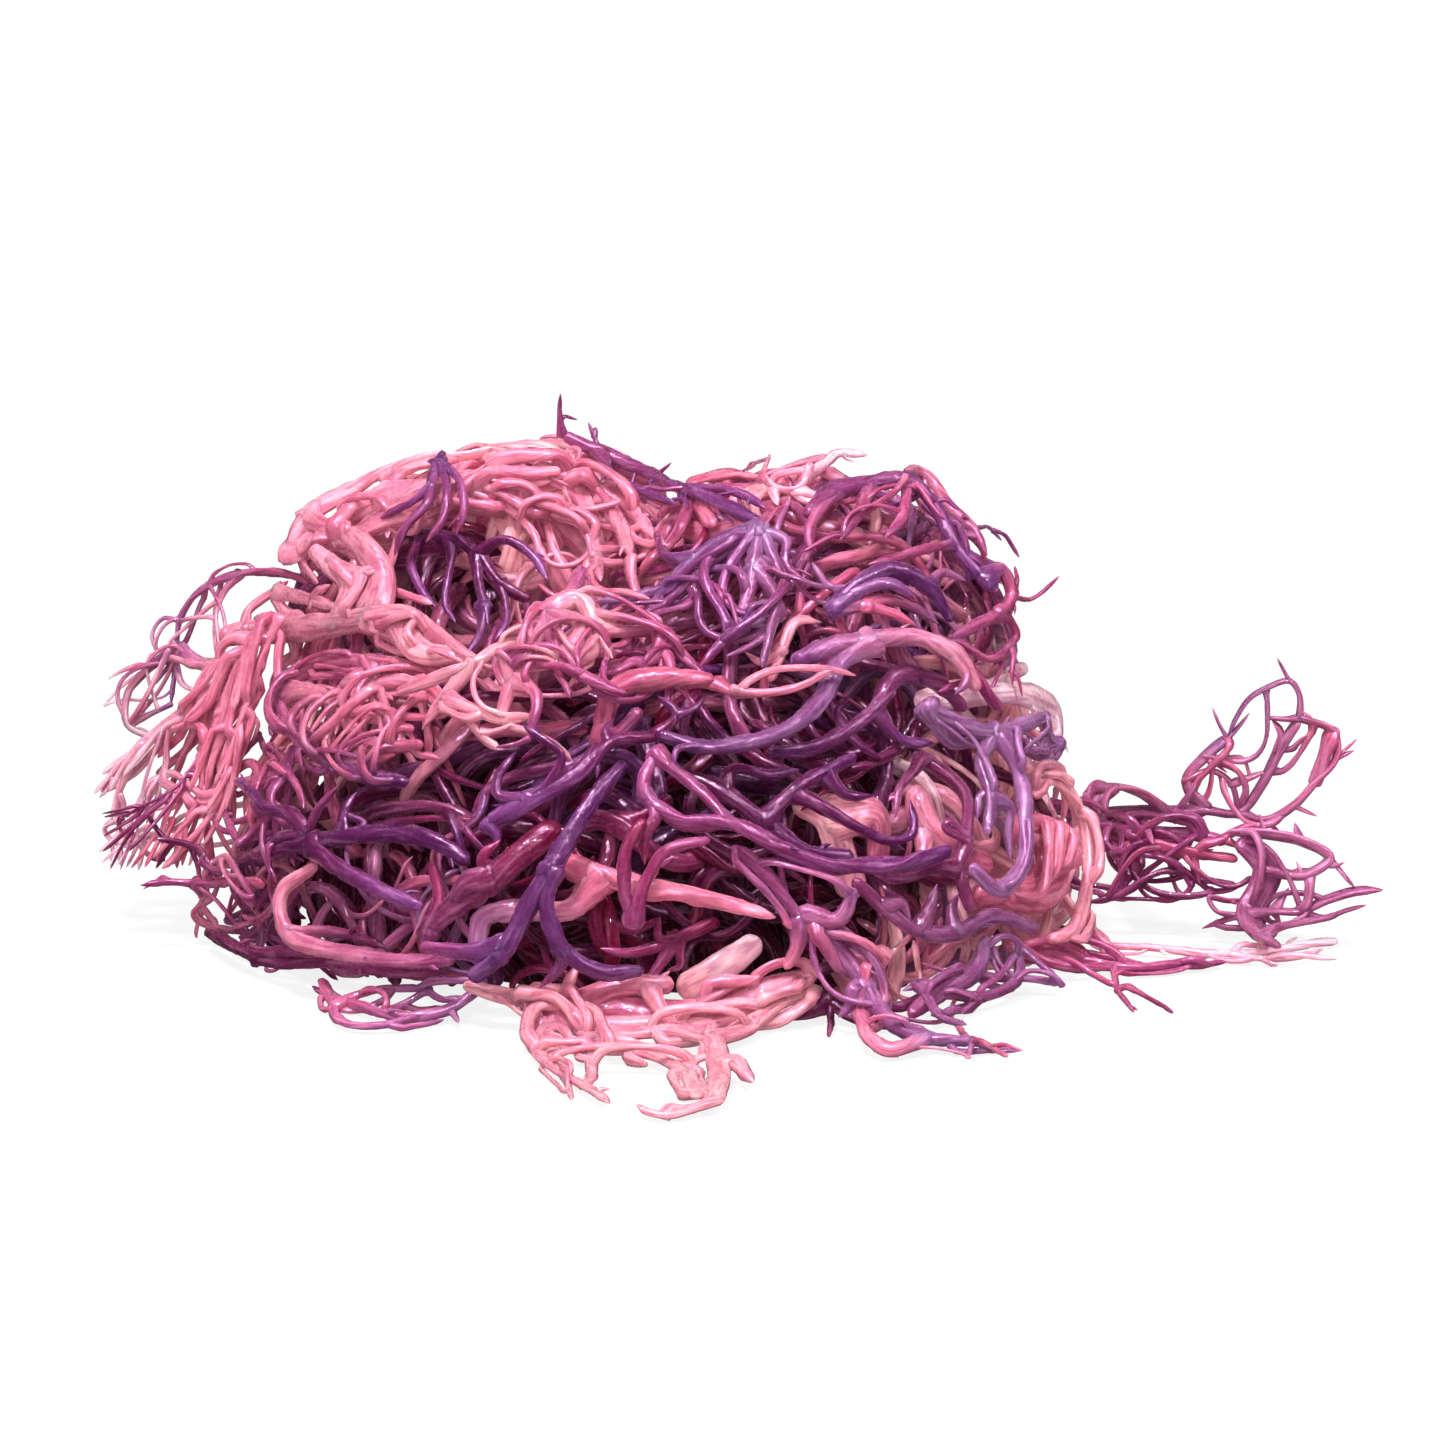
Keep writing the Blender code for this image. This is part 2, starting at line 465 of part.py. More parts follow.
            strand(1.8, 1.3, 1, [(-92.5, 31), (-96, 34.5), (-98, 39)]),
            strand(1.8, 1.4, 3, [(-93.5, 28.5), (-90, 27), (-89, 23)]),
        ],
    ),
    "left_pale_sticks": (
        "pale_pink",
        [
            strand(2.2, 1.3, 2, [(-96, 8), (-101, 8.6), (-108, 8, -16), (-115, 8.4, -18),
                                 (-120.8, 7.7, -20)]),
            strand(1.8, 1.3, 1, [(-104, 8, -12), (-107, 13, -12), (-110.5, 15.8, -14), (-117.5, 17.2, -16)]),
            strand(1.8, 1.4, 2, [(-106.5, 11, -12), (-102.5, 13.5), (-100, 10), (-97, 5.5)]),
            strand(1.6, 1.2, 1, [(-108, 8, -16), (-108, 4, -15), (-110.5, 1, -14), (-106, -0.8, -16),
                                 (-100, -2)]),
        ],
    ),
    "left_pale_curve": (
        "pale_pink",
        [
            strand(2.6, 3.4, (2, 6, 3), [(-85.5, 12), (-90, 9.5), (-92.8, 4.5), (-92, -0.5), (-88, -4),
                                         (-81, -5.6), (-73, -7), (-65, -8), (-57, -7.5)]),
            strand(2.2, 1.6, 3, [(-91, -2), (-84, -1.5), (-77, -2.5), (-71, -5)]),
            strand(1.8, 1.4, 2, [(-92.6, 2), (-96.5, 1), (-100.5, 2)]),
        ],
    ),
    "left_dark_foot": (
        "deep_purple",
        [
            strand(2.6, 2.4, 1.6, [(-107, -1.5), (-102, -4.5), (-96, -7.6), (-90, -8.7), (-83, -8.6),
                                   (-76, -10), (-69, -11), (-60, -11)]),
            strand(2.4, 1.8, 3, [(-98, -6.5), (-91, -5.6), (-84, -6.8)]),
        ],
    ),
    "left_floor_loops": (
        "salmon",
        [
            strand(2.4, 2.2, 1.3, [(-84.5, -11), (-84, -13.5), (-80.6, -15.8), (-76, -17), (-71, -18.8),
                                   (-66, -19.6), (-61, -18.6), (-56.5, -16.4), (-52.5, -13)]),
            strand(1.6, 1.2, 1, [(-83, -14.5), (-86.4, -12.4)]),
            strand(1.9, 1.7, 1.1, [(-80.6, -16), (-81.6, -19), (-77.5, -21), (-72, -21), (-66.5, -19.8)]),
            strand(1.9, 1.6, 1.1, [(-80.6, -15.8), (-76, -13.6), (-70, -12.8), (-63, -12.6)]),
            strand(1.6, 1.4, 1, [(-70.5, -18.5), (-67, -15.5), (-64, -12.8)]),
            strand(1.2, 0.7, 0.8, [(-57.5, -17), (-57.2, -20.5)]),
        ],
    ),
    "front_floor_frond": (
        "salmon",
        [
            strand(3.4, 3.2, 2.2, [(-36, -17.5), (-30, -16.5), (-22, -16.4), (-14, -17.4), (-6, -16.5),
                                   (1, -14), (8, -11.5), (14, -10)]),
            strand(3.2, 2.6, 3, [(-36, -17.5), (-33, -14.5), (-26, -12.8), (-20, -11), (-14, -12)]),
            strand(3.4, 2.6, 1.8, [(-36.5, -18), (-31, -19.3), (-22, -19.2), (-13, -19.8), (-6, -19.5),
                                   (0, -17), (6, -14)]),
            strand(3.2, 2.6, 1.6, [(-36.5, -20), (-31, -22.5), (-22, -22.2), (-14, -21.8), (-8, -22.5),
                                   (-5.5, -25.5), (-5, -31), (-5.5, -35.6)]),
            strand(2.6, 2.4, 1.4, [(-5.5, -24.5), (-1.5, -22.8), (4, -19.6), (9, -16.5), (15, -14)]),
            strand(2.2, 1.8, 1.2, [(-34, -24), (-28, -25.4), (-21, -26), (-15, -28), (-11, -31),
                                   (-9.5, -35)]),
            strand(1.8, 1.3, 1, [(-5.4, -35), (-11, -37.5), (-17, -38.9), (-21.5, -36.4)]),
            strand(2.4, 2.0, 2, [(-36, -17.5), (-43, -15.6), (-50, -14.2), (-56, -12.5)]),
            strand(1.2, 0.7, 1, [(-37, -18), (-41, -18), (-44.6, -20)]),
            strand(2.2, 1.4, 1.4, [(-37, -19.5), (-40.5, -22), (-41.4, -25), (-38.5, -28.5), (-34, -31.3),
                                   (-30.5, -32.8), (-27, -35.7)]),
            strand(1.8, 1.3, 1.1, [(-38.5, -21), (-38.3, -25), (-38.5, -28.5)]),
            strand(1.8, 1.3, 1.1, [(-31, -24.5), (-30.5, -29), (-30.5, -32.5)]),
            strand(1.1, 0.7, 0.8, [(-34.3, -31), (-34.4, -35)]),
            strand(2.0, 1.4, 1.2, [(-11, -31), (-11, -28.5), (-7.5, -26)]),
            strand(1.8, 1.2, (3, 6, 3), [(-36.5, -17), (-35, -11.5), (-33, -8)]),
        ],
    ),
    "pale_floor_ribbon": (
        "pale_pink",
        [
            strand(4.2, 3.0, 2.2, [(-13.5, -13.8), (-9, -11), (-4.5, -8.4), (0.5, -6), (3, -3)]),
            strand(2.4, 1.8, 1.6, [(-9, -11), (-6, -13.5), (-8.5, -15.2)]),
        ],
    ),
    "low_wine_frond": (
        "magenta",
        [
            strand(3.0, 2.0, (-3, 1, 2), [(-5, 0.5), (-9.5, -1), (-14, -4), (-17.5, -8), (-19, -11.6)]),
            strand(1.8, 1.3, 2, [(-14, -4), (-17.5, -2.5), (-17, 1.5)]),
            strand(2.0, 1.5, 2, [(-15, -5), (-22, -6), (-29, -5)]),
            strand(1.8, 1.4, 1, [(-12, -3), (-13.5, -7), (-12, -10), (-15.5, -9.5)]),
        ],
    ),
    "right_violet_network": (
        "violet",
        [
            strand(3.4, 3.0, 6, [(35.5, 43.5), (38.5, 41.8), (44, 39.6), (50.5, 38.8), (55, 40.6),
                                 (59, 41.8)]),
            strand(2.2, 1.8, 5, [(57, 41.5), (59.5, 38), (63, 36), (58.5, 34.6), (54.5, 35)]),
            strand(3.4, 3.0, 6, [(50, 38.5), (52.5, 34), (54.3, 28), (55, 21.5), (54.8, 15), (53.5, 10),
                                 (50, 7.4), (45.5, 8.5), (43.5, 12)]),
            strand(3.0, 2.2, 5, [(47, 38.5), (46, 33), (46.5, 28), (48.8, 23), (47, 18)]),
            strand(3.0, 2.2, 4, [(37, 38.5), (40.5, 36.2), (46.5, 36.5)]),
            strand(2.4, 1.8, 4, [(50.5, 27), (52, 23), (51.5, 18), (52, 13)]),
        ],
    ),
    "right_pale_loop": (
        "pale_pink",
        [
            strand(3.2, 3.4, (2, 5, 4), [(35, 44.5), (40, 45.5), (44.5, 46.6), (51, 46.8), (57.5, 46),
                                         (61.5, 43.5), (63, 39.5), (61.5, 35)]),
            strand(2.4, 1.8, 3, [(51, 46.8), (53.5, 50), (57, 51.8)]),
            strand(1.5, 1.0, 3, [(53, 49.5), (54, 52.4)]),
        ],
    ),
    "maroon_cross_strand": (
        "magenta",
        [
            strand(2.4, 2.8, (3, 9, 5), [(43.5, 53), (46, 49.5), (48.5, 45.5), (51.3, 41.5)]),
            strand(1.6, 1.2, 7, [(45.5, 49.8), (42, 46.8), (38.5, 45.2)]),
        ],
    ),
    "pale_finger_frond": (
        "pale_pink",
        [
            strand(4.4, 4.6, (0, 2, 0), [(10.5, 26), (15, 25.2), (18, 21), (19.5, 16), (21.5, 11), (23, 6)]),
            strand(4.4, 4.2, (1, 3, 0), [(15, 25.4), (21, 24), (26.5, 23), (28, 18), (27.5, 12.5)]),
        ],
    ),
    "right_finger_strand": (
        "pale_pink",
        [
            strand(4.2, 4.2, (0, 4, 1), [(34.5, 28), (36.8, 24), (37.5, 19.5), (40.5, 15.5), (45, 13.5),
                                         (50, 12)]),
            strand(2.6, 2.0, 2, [(36.8, 19), (36.5, 14.5), (36.2, 9.5)]),
        ],
    ),
    "dark_right_frond": (
        "deep_purple",
        [
            strand(3.0, 2.2, 3, [(36, 33), (40, 29.5), (44, 25.5), (43.5, 20.5), (44.6, 16.5)]),
            strand(2.2, 1.6, 4, [(38, 31.5), (33.5, 30), (30.5, 26), (29.9, 21)]),
            strand(2.2, 1.6, 5, [(43.5, 21), (39.5, 21.5), (41, 18), (45, 16)]),
            strand(2.4, 2.6, 5, [(44.6, 16.5), (43, 12), (43.5, 7), (45, 2)]),
            strand(2.4, 1.8, 4, [(44, 11), (40, 12), (36, 9.5), (30.5, 8.8), (25, 10)]),
        ],
    ),
    "hot_pink_frond": (
        "rose",
        [
            strand(4.2, 2.8, 3, [(46, 4.5), (51, 5.2), (57, 6), (62, 8.5), (64.2, 13.5), (62, 18.5),
                                 (57.5, 19.8), (53, 19)]),
            strand(3.2, 2.0, 4, [(51, 5.2), (56, 3.4), (62, 4.2), (65, 7)]),
            strand(3.0, 2.0, 3, [(57, 6), (59, 10.5), (61, 15), (60, 19)]),
        ],
    ),
    "right_outer_strand": (
        "rose",
        [
            strand(2.4, 3.2, (3, 4, 3), [(58, 33.5), (61, 30.5), (64.5, 26.5), (66.5, 20.5), (67.6, 14.5),
                                         (66.4, 8), (66, 2.5), (63, -1), (58.5, -2.5)]),
            strand(2.4, 1.6, 3, [(61, 30.5), (57.8, 30.5), (57, 26)]),
            strand(1.6, 1.2, 3, [(66.4, 5), (68.5, -1.5), (72, -4.5)]),
        ],
    ),
    "bottom_right_frond": (
        "violet",
        [
            strand(2.6, 3.0, (4, 5, 2), [(-1.5, 16), (3, 12.3), (6.5, 8), (10, 3), (14, -1), (20, -6),
                                         (24.3, -12.5), (28, -18.5), (33, -22), (39, -23.4), (45.5, -23.2)]),
            strand(3.2, 2.6, 7, [(10.5, 2.4), (14, 1.8), (19, 2), (22.2, 4.6), (22, 8.5)]),
            strand(3.2, 2.4, 4, [(13, -0.2), (10.5, -4), (8, -8.5)]),
            strand(3.2, 2.8, 2, [(23.6, -11), (23.2, -16), (24, -21.5), (27.2, -25.6), (31.5, -26),
                                 (36, -24)]),
            strand(1.2, 0.7, 1, [(45, -23.2), (50, -24.7)]),
            strand(1.2, 0.7, 1, [(44, -23.3), (44.6, -26.3)]),
            strand(1.6, 0.8, 1.2, [(43, -23.2), (43, -20), (41, -16.5)]),
            strand(2.6, 1.8, 3, [(24, -11.5), (27, -8), (29.5, -6)]),
        ],
    ),
    "right_low_mauve": (
        "mauve",
        [
            strand(2.8, 2.6, (2, 4, 3), [(22, 10), (25.5, 7), (29, 3.6), (33, 0.4), (39, -1.2), (45, -0.6),
                                         (49.5, 1.8), (54.5, 0), (59, -2)]),
            strand(2.6, 1.8, 4, [(27, 8.5), (31, 5.5), (33.5, 2)]),
            strand(2.8, 1.8, 3, [(36.5, 0), (37.3, 4.5), (39, 9.5)]),
            strand(2.4, 1.8, 3, [(42.5, -0.8), (42, 4), (43.5, 7)]),
        ],
    ),
    "right_foot_frond": (
        "violet",
        [
            strand(3.8, 3.0, (3, 5, 2), [(49.3, -1), (48.5, -5.5), (45.5, -9.4), (41, -12), (37, -15),
                                         (33, -18)]),
            strand(2.4, 2.2, 3, [(43, -11), (44, -13.6), (49, -14.2), (53.3, -11.5), (55.5, -7),
                                 (54, -3.6)]),
            strand(1.8, 0.9, 2, [(44.3, -13.5), (45, -16), (43.3, -17.8)]),
            strand(2.6, 1.8, 3, [(38.5, -14), (36, -12.2), (31.5, -13.6)]),
            strand(2.2, 1.5, 2, [(37, -15), (38.5, -18.5), (41, -20.5), (44.5, -21.5)]),
            strand(2.0, 1.4, 3, [(46.5, -8.5), (50.5, -9.8), (57, -9.8), (63.8, -11.2)]),
        ],
    ),
    "dark_low_right": (
        "deep_purple",
        [
            strand(2.8, 2.2, 2, [(16, -14.4), (21, -14.8), (27, -14.2), (31, -15.5), (35, -13)]),
            strand(2.6, 1.4, 1.3, [(18, -14.8), (12, -16.6), (7, -18)]),
            strand(1.4, 0.8, 1, [(15, -16), (16.2, -19), (15.8, -22)]),
            strand(2.2, 1.6, 1.2, [(19, -15), (22, -19), (29, -20.4), (35, -20.6)]),
        ],
    ),
    "trailing_root": (
        "deep_purple",
        [
            strand(3.4, 2.6, 2, [(60, 25, 34), (66, 22.5, 42), (72, 19, 50), (78, 17), (85, 15.2),
                                 (92, 14.6), (99, 13.6)], 1),
            strand(2.6, 2.0, 2, [(68, 21.5, 45), (76, 19.5), (84, 18.8), (91, 18.4), (97, 17)]),
            strand(2.4, 1.6, 2, [(70, 20.5, 48), (74, 14.5), (76, 9.5), (73, 5.5), (68, 4.6)], 1),
            strand(2.2, 1.4, 2, [(76, 17.5), (77.5, 13), (78.5, 8.5), (74, 6)]),
            strand(2.0, 1.0, 1.5, [(84, 15), (87, 11.5), (89.6, 7.5), (89, 5.4), (86.6, 5.2)]),
            strand(1.8, 1.2, 1.5, [(86, 14.5), (90, 9.8), (94.5, 6.6), (98, 8), (101, 9.6)]),
        ],
    ),
    "trailing_leaf": (
        "mauve",
        [
            strand(3.2, 2.8, 2.4, [(98, 16.4), (102, 14.5), (104, 11), (102.5, 6.5), (100, 1.5), (101, -2.5),
                                   (105.5, -5.6)]),
            strand(2.6, 1.6, 2, [(103.5, 10), (108, 10), (112.5, 9.3), (115.8, 11), (116.3, 14.3),
                                 (112, 16.2), (106, 17.3), (100.5, 18.4), (96.3, 18.2)], 3),
            strand(1.2, 0.7, 1, [(116.2, 14), (118.5, 10.8), (121.6, 7)]),
            strand(2.4, 1.4, 2, [(101.5, 4.5), (104.5, 2.2), (110, 2.2), (115.5, 4.6), (121, 6.4),
                                 (127.4, 6.8)], 1),
            strand(1.4, 1.0, 1, [(112.5, 2.8), (115, 1.2), (119.5, 2.4), (121.5, 4.2), (124, 3.8)]),
            strand(1.8, 0.9, 1.2, [(100, 1.8), (96, 0.6), (91, -1.3)]),
            strand(1.4, 1.0, 1, [(97, 1), (92.5, 3), (93, 5.4), (97.5, 4.4), (100.5, 5)]),
            strand(1.6, 0.9, 1.5, [(104.5, 2.2), (106.5, 4), (108.5, 7)]),
            strand(1.4, 0.8, 1.2, [(102, 5), (103.5, 1), (103.3, -1.8)]),
        ],
    ),
    "trailing_high_loops": (
        "mauve",
        [
            strand(3.0, 2.4, 3, [(66, 21, 58), (74, 22.5, 66), (82, 22.4, 61), (89, 23.5, 63),
                                 (94.5, 22.3, 65), (98.5, 22.5, 65), (101.5, 24.5, 65), (103.5, 28.5, 65),
                                 (105.5, 33, 65), (108.5, 37.5, 65), (111, 41.5, 65)], 1),
            strand(2.4, 1.8, 3, [(96, 22, 65), (101, 20.8, 63), (106, 21.6, 61), (110, 24.2, 61),
                                 (113.5, 28, 61), (117, 32, 62), (119.3, 36, 63), (116.5, 40, 64),
                                 (112.3, 42.5, 65)], 3),
            strand(1.6, 1.2, 3, [(112, 43, 65), (111, 46.5, 65), (110, 49, 65), (105, 47.8, 66),
                                 (101, 45.5, 67), (98, 41, 67), (96.5, 37.5, 67)], 1),
            strand(2.4, 1.8, 3, [(88, 24, 63), (88.3, 28.5, 65), (90, 32.5, 67), (94, 35, 67),
                                 (97.3, 38, 67)], 1),
            strand(1.9, 1.5, 3, [(88.6, 29.5, 65), (92, 31, 65), (96, 30, 66), (97.8, 26.5, 66),
                                 (97, 23, 65)]),
            strand(2.0, 1.3, 3, [(97.8, 28.5, 66), (101, 29.6, 66), (104.6, 31, 65)]),
            strand(1.8, 0.8, 3, [(93, 34, 67), (97.5, 33.3, 66), (100.3, 33.3, 66), (102.3, 31.2, 66)]),
            strand(1.1, 0.7, 3, [(97, 39.5, 67), (94.5, 41, 67), (93.5, 43.6, 67)]),
            strand(1.1, 0.7, 3, [(98, 39, 67), (99.8, 41, 68), (101, 42.6, 68)]),
            strand(1.8, 1.0, 3, [(107.5, 36.5, 65), (107.2, 39.5, 65), (105.3, 41.5, 66)]),
            strand(1.6, 1.2, 3, [(111, 41.5, 65), (108, 41.3, 65), (105.3, 41.4, 66)]),
            strand(2.6, 1.8, 3, [(117, 36.5, 63), (115.3, 32.5, 62), (113.3, 29, 61)]),
            strand(1.0, 0.7, 3, [(119.2, 35.8, 63), (121, 36, 63), (122.5, 37.4, 63)]),
            strand(2.4, 1.8, 3, [(82, 22.4, 61), (79, 26.5, 61), (75, 28, 60), (71, 26.5, 58),
                                 (69, 23, 55)]),
        ],
    ),
    "low_long_strands": (
        "rose",
        [
            strand(2.8, 1.8, 2, [(54, -3), (60, -4), (66, -5.6), (73, -8), (80, -8.4), (87, -7.3),
                                 (92.8, -6.3)]),
            strand(2.6, 1.8, 3, [(55, -3.2), (61, -6.5), (67, -8.2), (73, -8.2)]),
            strand(2.4, 1.4, 2, [(60, -3.6), (66, -4.2), (72, -5.5), (80, -7.2)]),
            strand(1.6, 0.9, 1.2, [(71.5, -8.4), (74.5, -12.5), (77.8, -17.3)]),
        ],
    ),
    "low_pale_strand": (
        "pale_pink",
        [
            strand(1.8, 2.0, 1.3, [(68, -2.6), (74, -4.6), (82, -4.9), (90, -6), (98, -6.4), (106, -5.4),
                                   (113, -4), (118.5, -3.4)]),
            strand(1.8, 1.2, 1.2, [(96, -6.4), (103, -7.2), (110, -6.8), (115.5, -5)]),
        ],
    ),
}

# Where the fronds at the back start, as degrees round the mound from +X and a share of its height
BACK_STARTS = (
    (74, 0.5),
    (65, 0.15),
    (100, 0.5),
    (130, 0.2),
    (165, 0.5),
)
MOUND_CENTRE = np.array([-15.0, 4.0, 18.0])
GOLDEN_TURN = math.pi * (3 - math.sqrt(5))


def smooth_least(first, second, blend):
    """The smaller of two distances, rounded where they are nearly equal."""
    overlap = np.maximum(blend - np.abs(first - second), 0) / blend
    return np.minimum(first, second) - overlap**2 * blend / 4


def lobe_gap(points, centre, size):
    """About how far points lie outside one lobe."""
    offset = points - centre
    stretched = np.linalg.norm(offset / size, axis=-1)
    slope = np.linalg.norm(offset / size**2, axis=-1)
    return stretched * (stretched - 1) / np.maximum(slope, 1e-9)


def lobes_gap(points):
    gap = lobe_gap(points, *LOBES[0])
    for centre, size in LOBES[1:]:
        gap = smooth_least(gap, lobe_gap(points, centre, size), LOBE_BLEND)
    return gap


def mound_gap(points):
    """About how far points lie above the mound and the ground round it."""
    return smooth_least(lobes_gap(points), points[..., 2], FLOOR_BLEND)


def core_sizes():
    """Half sizes of the core's lobes, which lie well inside the mound's."""
    return LOBES[:, 1] - CORE_DEPTH


def core_gap(points):
    gaps = [lobe_gap(points, centre, size) for centre, size in zip(LOBES[:, 0], core_sizes())]
    return np.minimum.reduce(gaps)


def slope_of(gap, points):
    """Unit vectors in which a gap grows fastest."""
    reach = 0.5
    rise = [gap(points + reach * axis) - gap(points - reach * axis) for axis in np.eye(3)]
    rise = np.stack(rise, axis=-1)
    return rise / np.maximum(np.linalg.norm(rise, axis=-1, keepdims=True), 1e-9)


def sight_through(u, v):
    """Direction from the eye through a point of the drawing plane."""
    heading = np.array([u, 0.0, 0.0]) + v * UP - EYE
    return heading / np.linalg.norm(heading)


def on_mound(u, v, lift):
    """Where the line of sight comes within lift of the mound, or passes nearest to it."""
    heading = sight_through(u, v)
    reach = np.arange(CAST_NEAR, CAST_FAR, CAST_STEP)
    line = EYE + reach[:, None] * heading
    gaps = mound_gap(line) - lift
    beside = lobes_gap(line)
    met = np.nonzero(gaps < 0)[0]
    last = met[0] if len(met) else len(line) - 1
    nearest = int(np.argmin(beside[: last + 1]))
    if nearest < last - 2 or not len(met):
        return line[nearest]
    share = gaps[last - 1] / (gaps[last - 1] - gaps[last])
    return line[last - 1] + share * (line[last] - line[last - 1])


def aloft(u, v, depth):
    """The point at a given depth on the line of sight."""
    heading = sight_through(u, v)
    return EYE + heading * (depth - EYE[1]) / heading[1]


def placed(drawn):
    """The route of a drawn strand in space."""
    lifts = drawn["lift"] if isinstance(drawn["lift"], tuple) else (drawn["lift"],) * 3
    shares = np.linspace(0, 1, len(drawn["points"]))
    route = []
    for share, spot in zip(shares, drawn["points"]):
        lift = np.interp(share, (0, 0.5, 1), lifts)
        route.append(aloft(*spot) if len(spot) == 3 else on_mound(*spot, lift))
    return np.array(route)


def rounded(route, parts=12):
    """A smooth curve through the points of a route."""
    ends = np.vstack([2 * route[0] - route[1], route, 2 * route[-1] - route[-2]])
    t = np.linspace(0, 1, parts, endpoint=False)[:, None]
    pieces = []
    for a, b, c, d in zip(ends, ends[1:], ends[2:], ends[3:]):
        bend = (2 * a - 5 * b + 4 * c - d) * t**2 + (3 * b - a - 3 * c + d) * t**3
        pieces.append((2 * b + (c - a) * t + bend) / 2)
    return np.vstack([*pieces, route[-1:]])


def evenly(curve, step):
    """The same curve followed in even steps."""
    along = np.linalg.norm(np.diff(curve, axis=0), axis=1).cumsum()
    along = np.concatenate([[0], along])
    count = max(3, round(along[-1] / step) + 1)
    stops = np.linspace(0, along[-1], count)
    return np.stack([np.interp(stops, along, curve[:, axis]) for axis in range(3)], axis=1)


def calm_depth(route):
    """Evens out how deep a route lies, and keeps its drawn shape."""
    depth = route @ SIGHT
    for _ in range(2):
        depth[1:-1] = (depth[:-2] + 2 * depth[1:-1] + depth[2:]) / 4
    return route + (depth - route @ SIGHT)[:, None] * SIGHT


class Tangle:
    """All strands, as chains of points that branches share with what they grow from."""

    def __init__(self):
        self.points = []
        self.fronds = []
        self.chains = []

    def nearest(self, frond, spot):
        """The frond's point that looks nearest to a spot along the line of sight, and how near."""
        found = [k for k, owner in enumerate(self.fronds) if owner == frond]
        if not found:
            return None, math.inf
        offset = np.array([self.points[k] for k in found]) - spot
        offset -= JOIN_DEPTH_SHARE * (offset @ SIGHT)[:, None] * SIGHT
        apart = np.linalg.norm(offset, axis=1)
        best = int(np.argmin(apart))
        return found[best], apart[best]

    def grow(self, frond, route, root, tip, start=None):
        """Adds one strand. A branch starts at a point of its frond, and may end at another."""
        if start is None:
            start, _ = self.nearest(frond, route[0])
        if start is not None:
            route = np.vstack([self.points[start], route[1:]])
        step = min(max(STEP_SHARE * (root + tip) / 2, STEP_LEAST), STEP_MOST)
        route = calm_depth(evenly(rounded(route), step))
        end, apart = self.nearest(frond, route[-1])
        joins = end is not None and end != start and apart < JOIN_REACH
        chain = []
        for k, spot in enumerate(route):
            if k == 0 and start is not None:
                chain.append(start)
            elif k == len(route) - 1 and joins:
                chain.append(end)
            else:
                chain.append(len(self.points))
                self.points.append(spot)
                self.fronds.append(frond)
        radii = np.linspace(root, tip, len(chain)) / 2
        if start is not None:
            radii[0] *= FLARE
        self.add_chain(frond, chain, radii)
        return chain

    def add_chain(self, frond, chain, radii):
        thickness = 2 * float(np.mean(radii))
        sides = next(sides for most, sides in SIDES_BY_THICKNESS if thickness < most)
        corners = radii * CORNER_SHARE[sides]
        self.chains.append({"frond": frond, "chain": chain, "radii": corners, "sides": sides})

    def add_barbs(self, frond, chain, count, draw):
        """Short spines that lean towards the tip of their strand."""
        for k in sorted(draw.sample(range(1, len(chain) - 1), min(count, len(chain) - 2))):
            foot = np.array(self.points[chain[k]])
            along = np.array(self.points[chain[k + 1]]) - foot
            along /= np.linalg.norm(along)
            side = np.cross(along, SIGHT) * draw.choice((-1, 1))
            side /= max(np.linalg.norm(side), 1e-6)
            lean = side + draw.uniform(*BARB_LEAN) * along - draw.uniform(*BARB_FORWARD) * SIGHT
            lean *= draw.uniform(*BARB_LENGTH) / np.linalg.norm(lean)
            self.points.append(foot + lean)
            self.fronds.append(frond)
            self.add_chain(frond, [chain[k], len(self.points) - 1], BARB_RADII)


def wander(draw, start, heading, length, lifts, curl, step):
    """A route that meanders over the mound, with its height at the root, the middle and the tip."""
    count = max(WANDER_LEAST, round(length / step))
    sway = draw.uniform(0, 2 * math.pi)
    spin = draw.uniform(-curl, curl)
    spot = np.array(start)
    route = []
    for k in range(count + 1):
        share = k / count
        lift = np.interp(share, (0, 0.5, 1), lifts)
        for _ in range(WANDER_FITS):
            spot = spot - slope_of(mound_gap, spot) * (mound_gap(spot) - lift)
        route.append(spot)
        out = slope_of(mound_gap, spot)
        stray = max(lobes_gap(spot) - lift, 0)
        heading = heading - HOMING * stray * slope_of(lobes_gap, spot)
        heading = heading - out * (heading @ out)
        heading /= np.linalg.norm(heading)
        turn = spin + curl * math.sin(sway + WANDER_BENDS * share)
        heading = heading * math.cos(turn) + np.cross(out, heading) * math.sin(turn)
        spot = spot + heading * length / count
    return np.array(route)


def spot_on_mound(angle, height, lift):
    """A point of the mound, from its angle round the centre and a share of its height."""
    flat = math.sqrt(1 - height**2)
    direction = np.array([math.cos(angle) * flat, math.sin(angle) * flat, height])
    line = MOUND_CENTRE + np.arange(0, 120, 0.5)[:, None] * direction
    return line[int(np.argmax(mound_gap(line) > lift))]


def any_heading(draw):
    return np.array([draw.gauss(0, 1) for _ in range(3)])


def add_drawn_fronds(tangle, draw):
    for frond, (_, strands) in FRONDS.items():
        for drawn in strands:
            chain = tangle.grow(frond, placed(drawn), drawn["root"], drawn["tip"])
            if drawn["barbs"]:
                tangle.add_barbs(frond, chain, drawn["barbs"], draw)


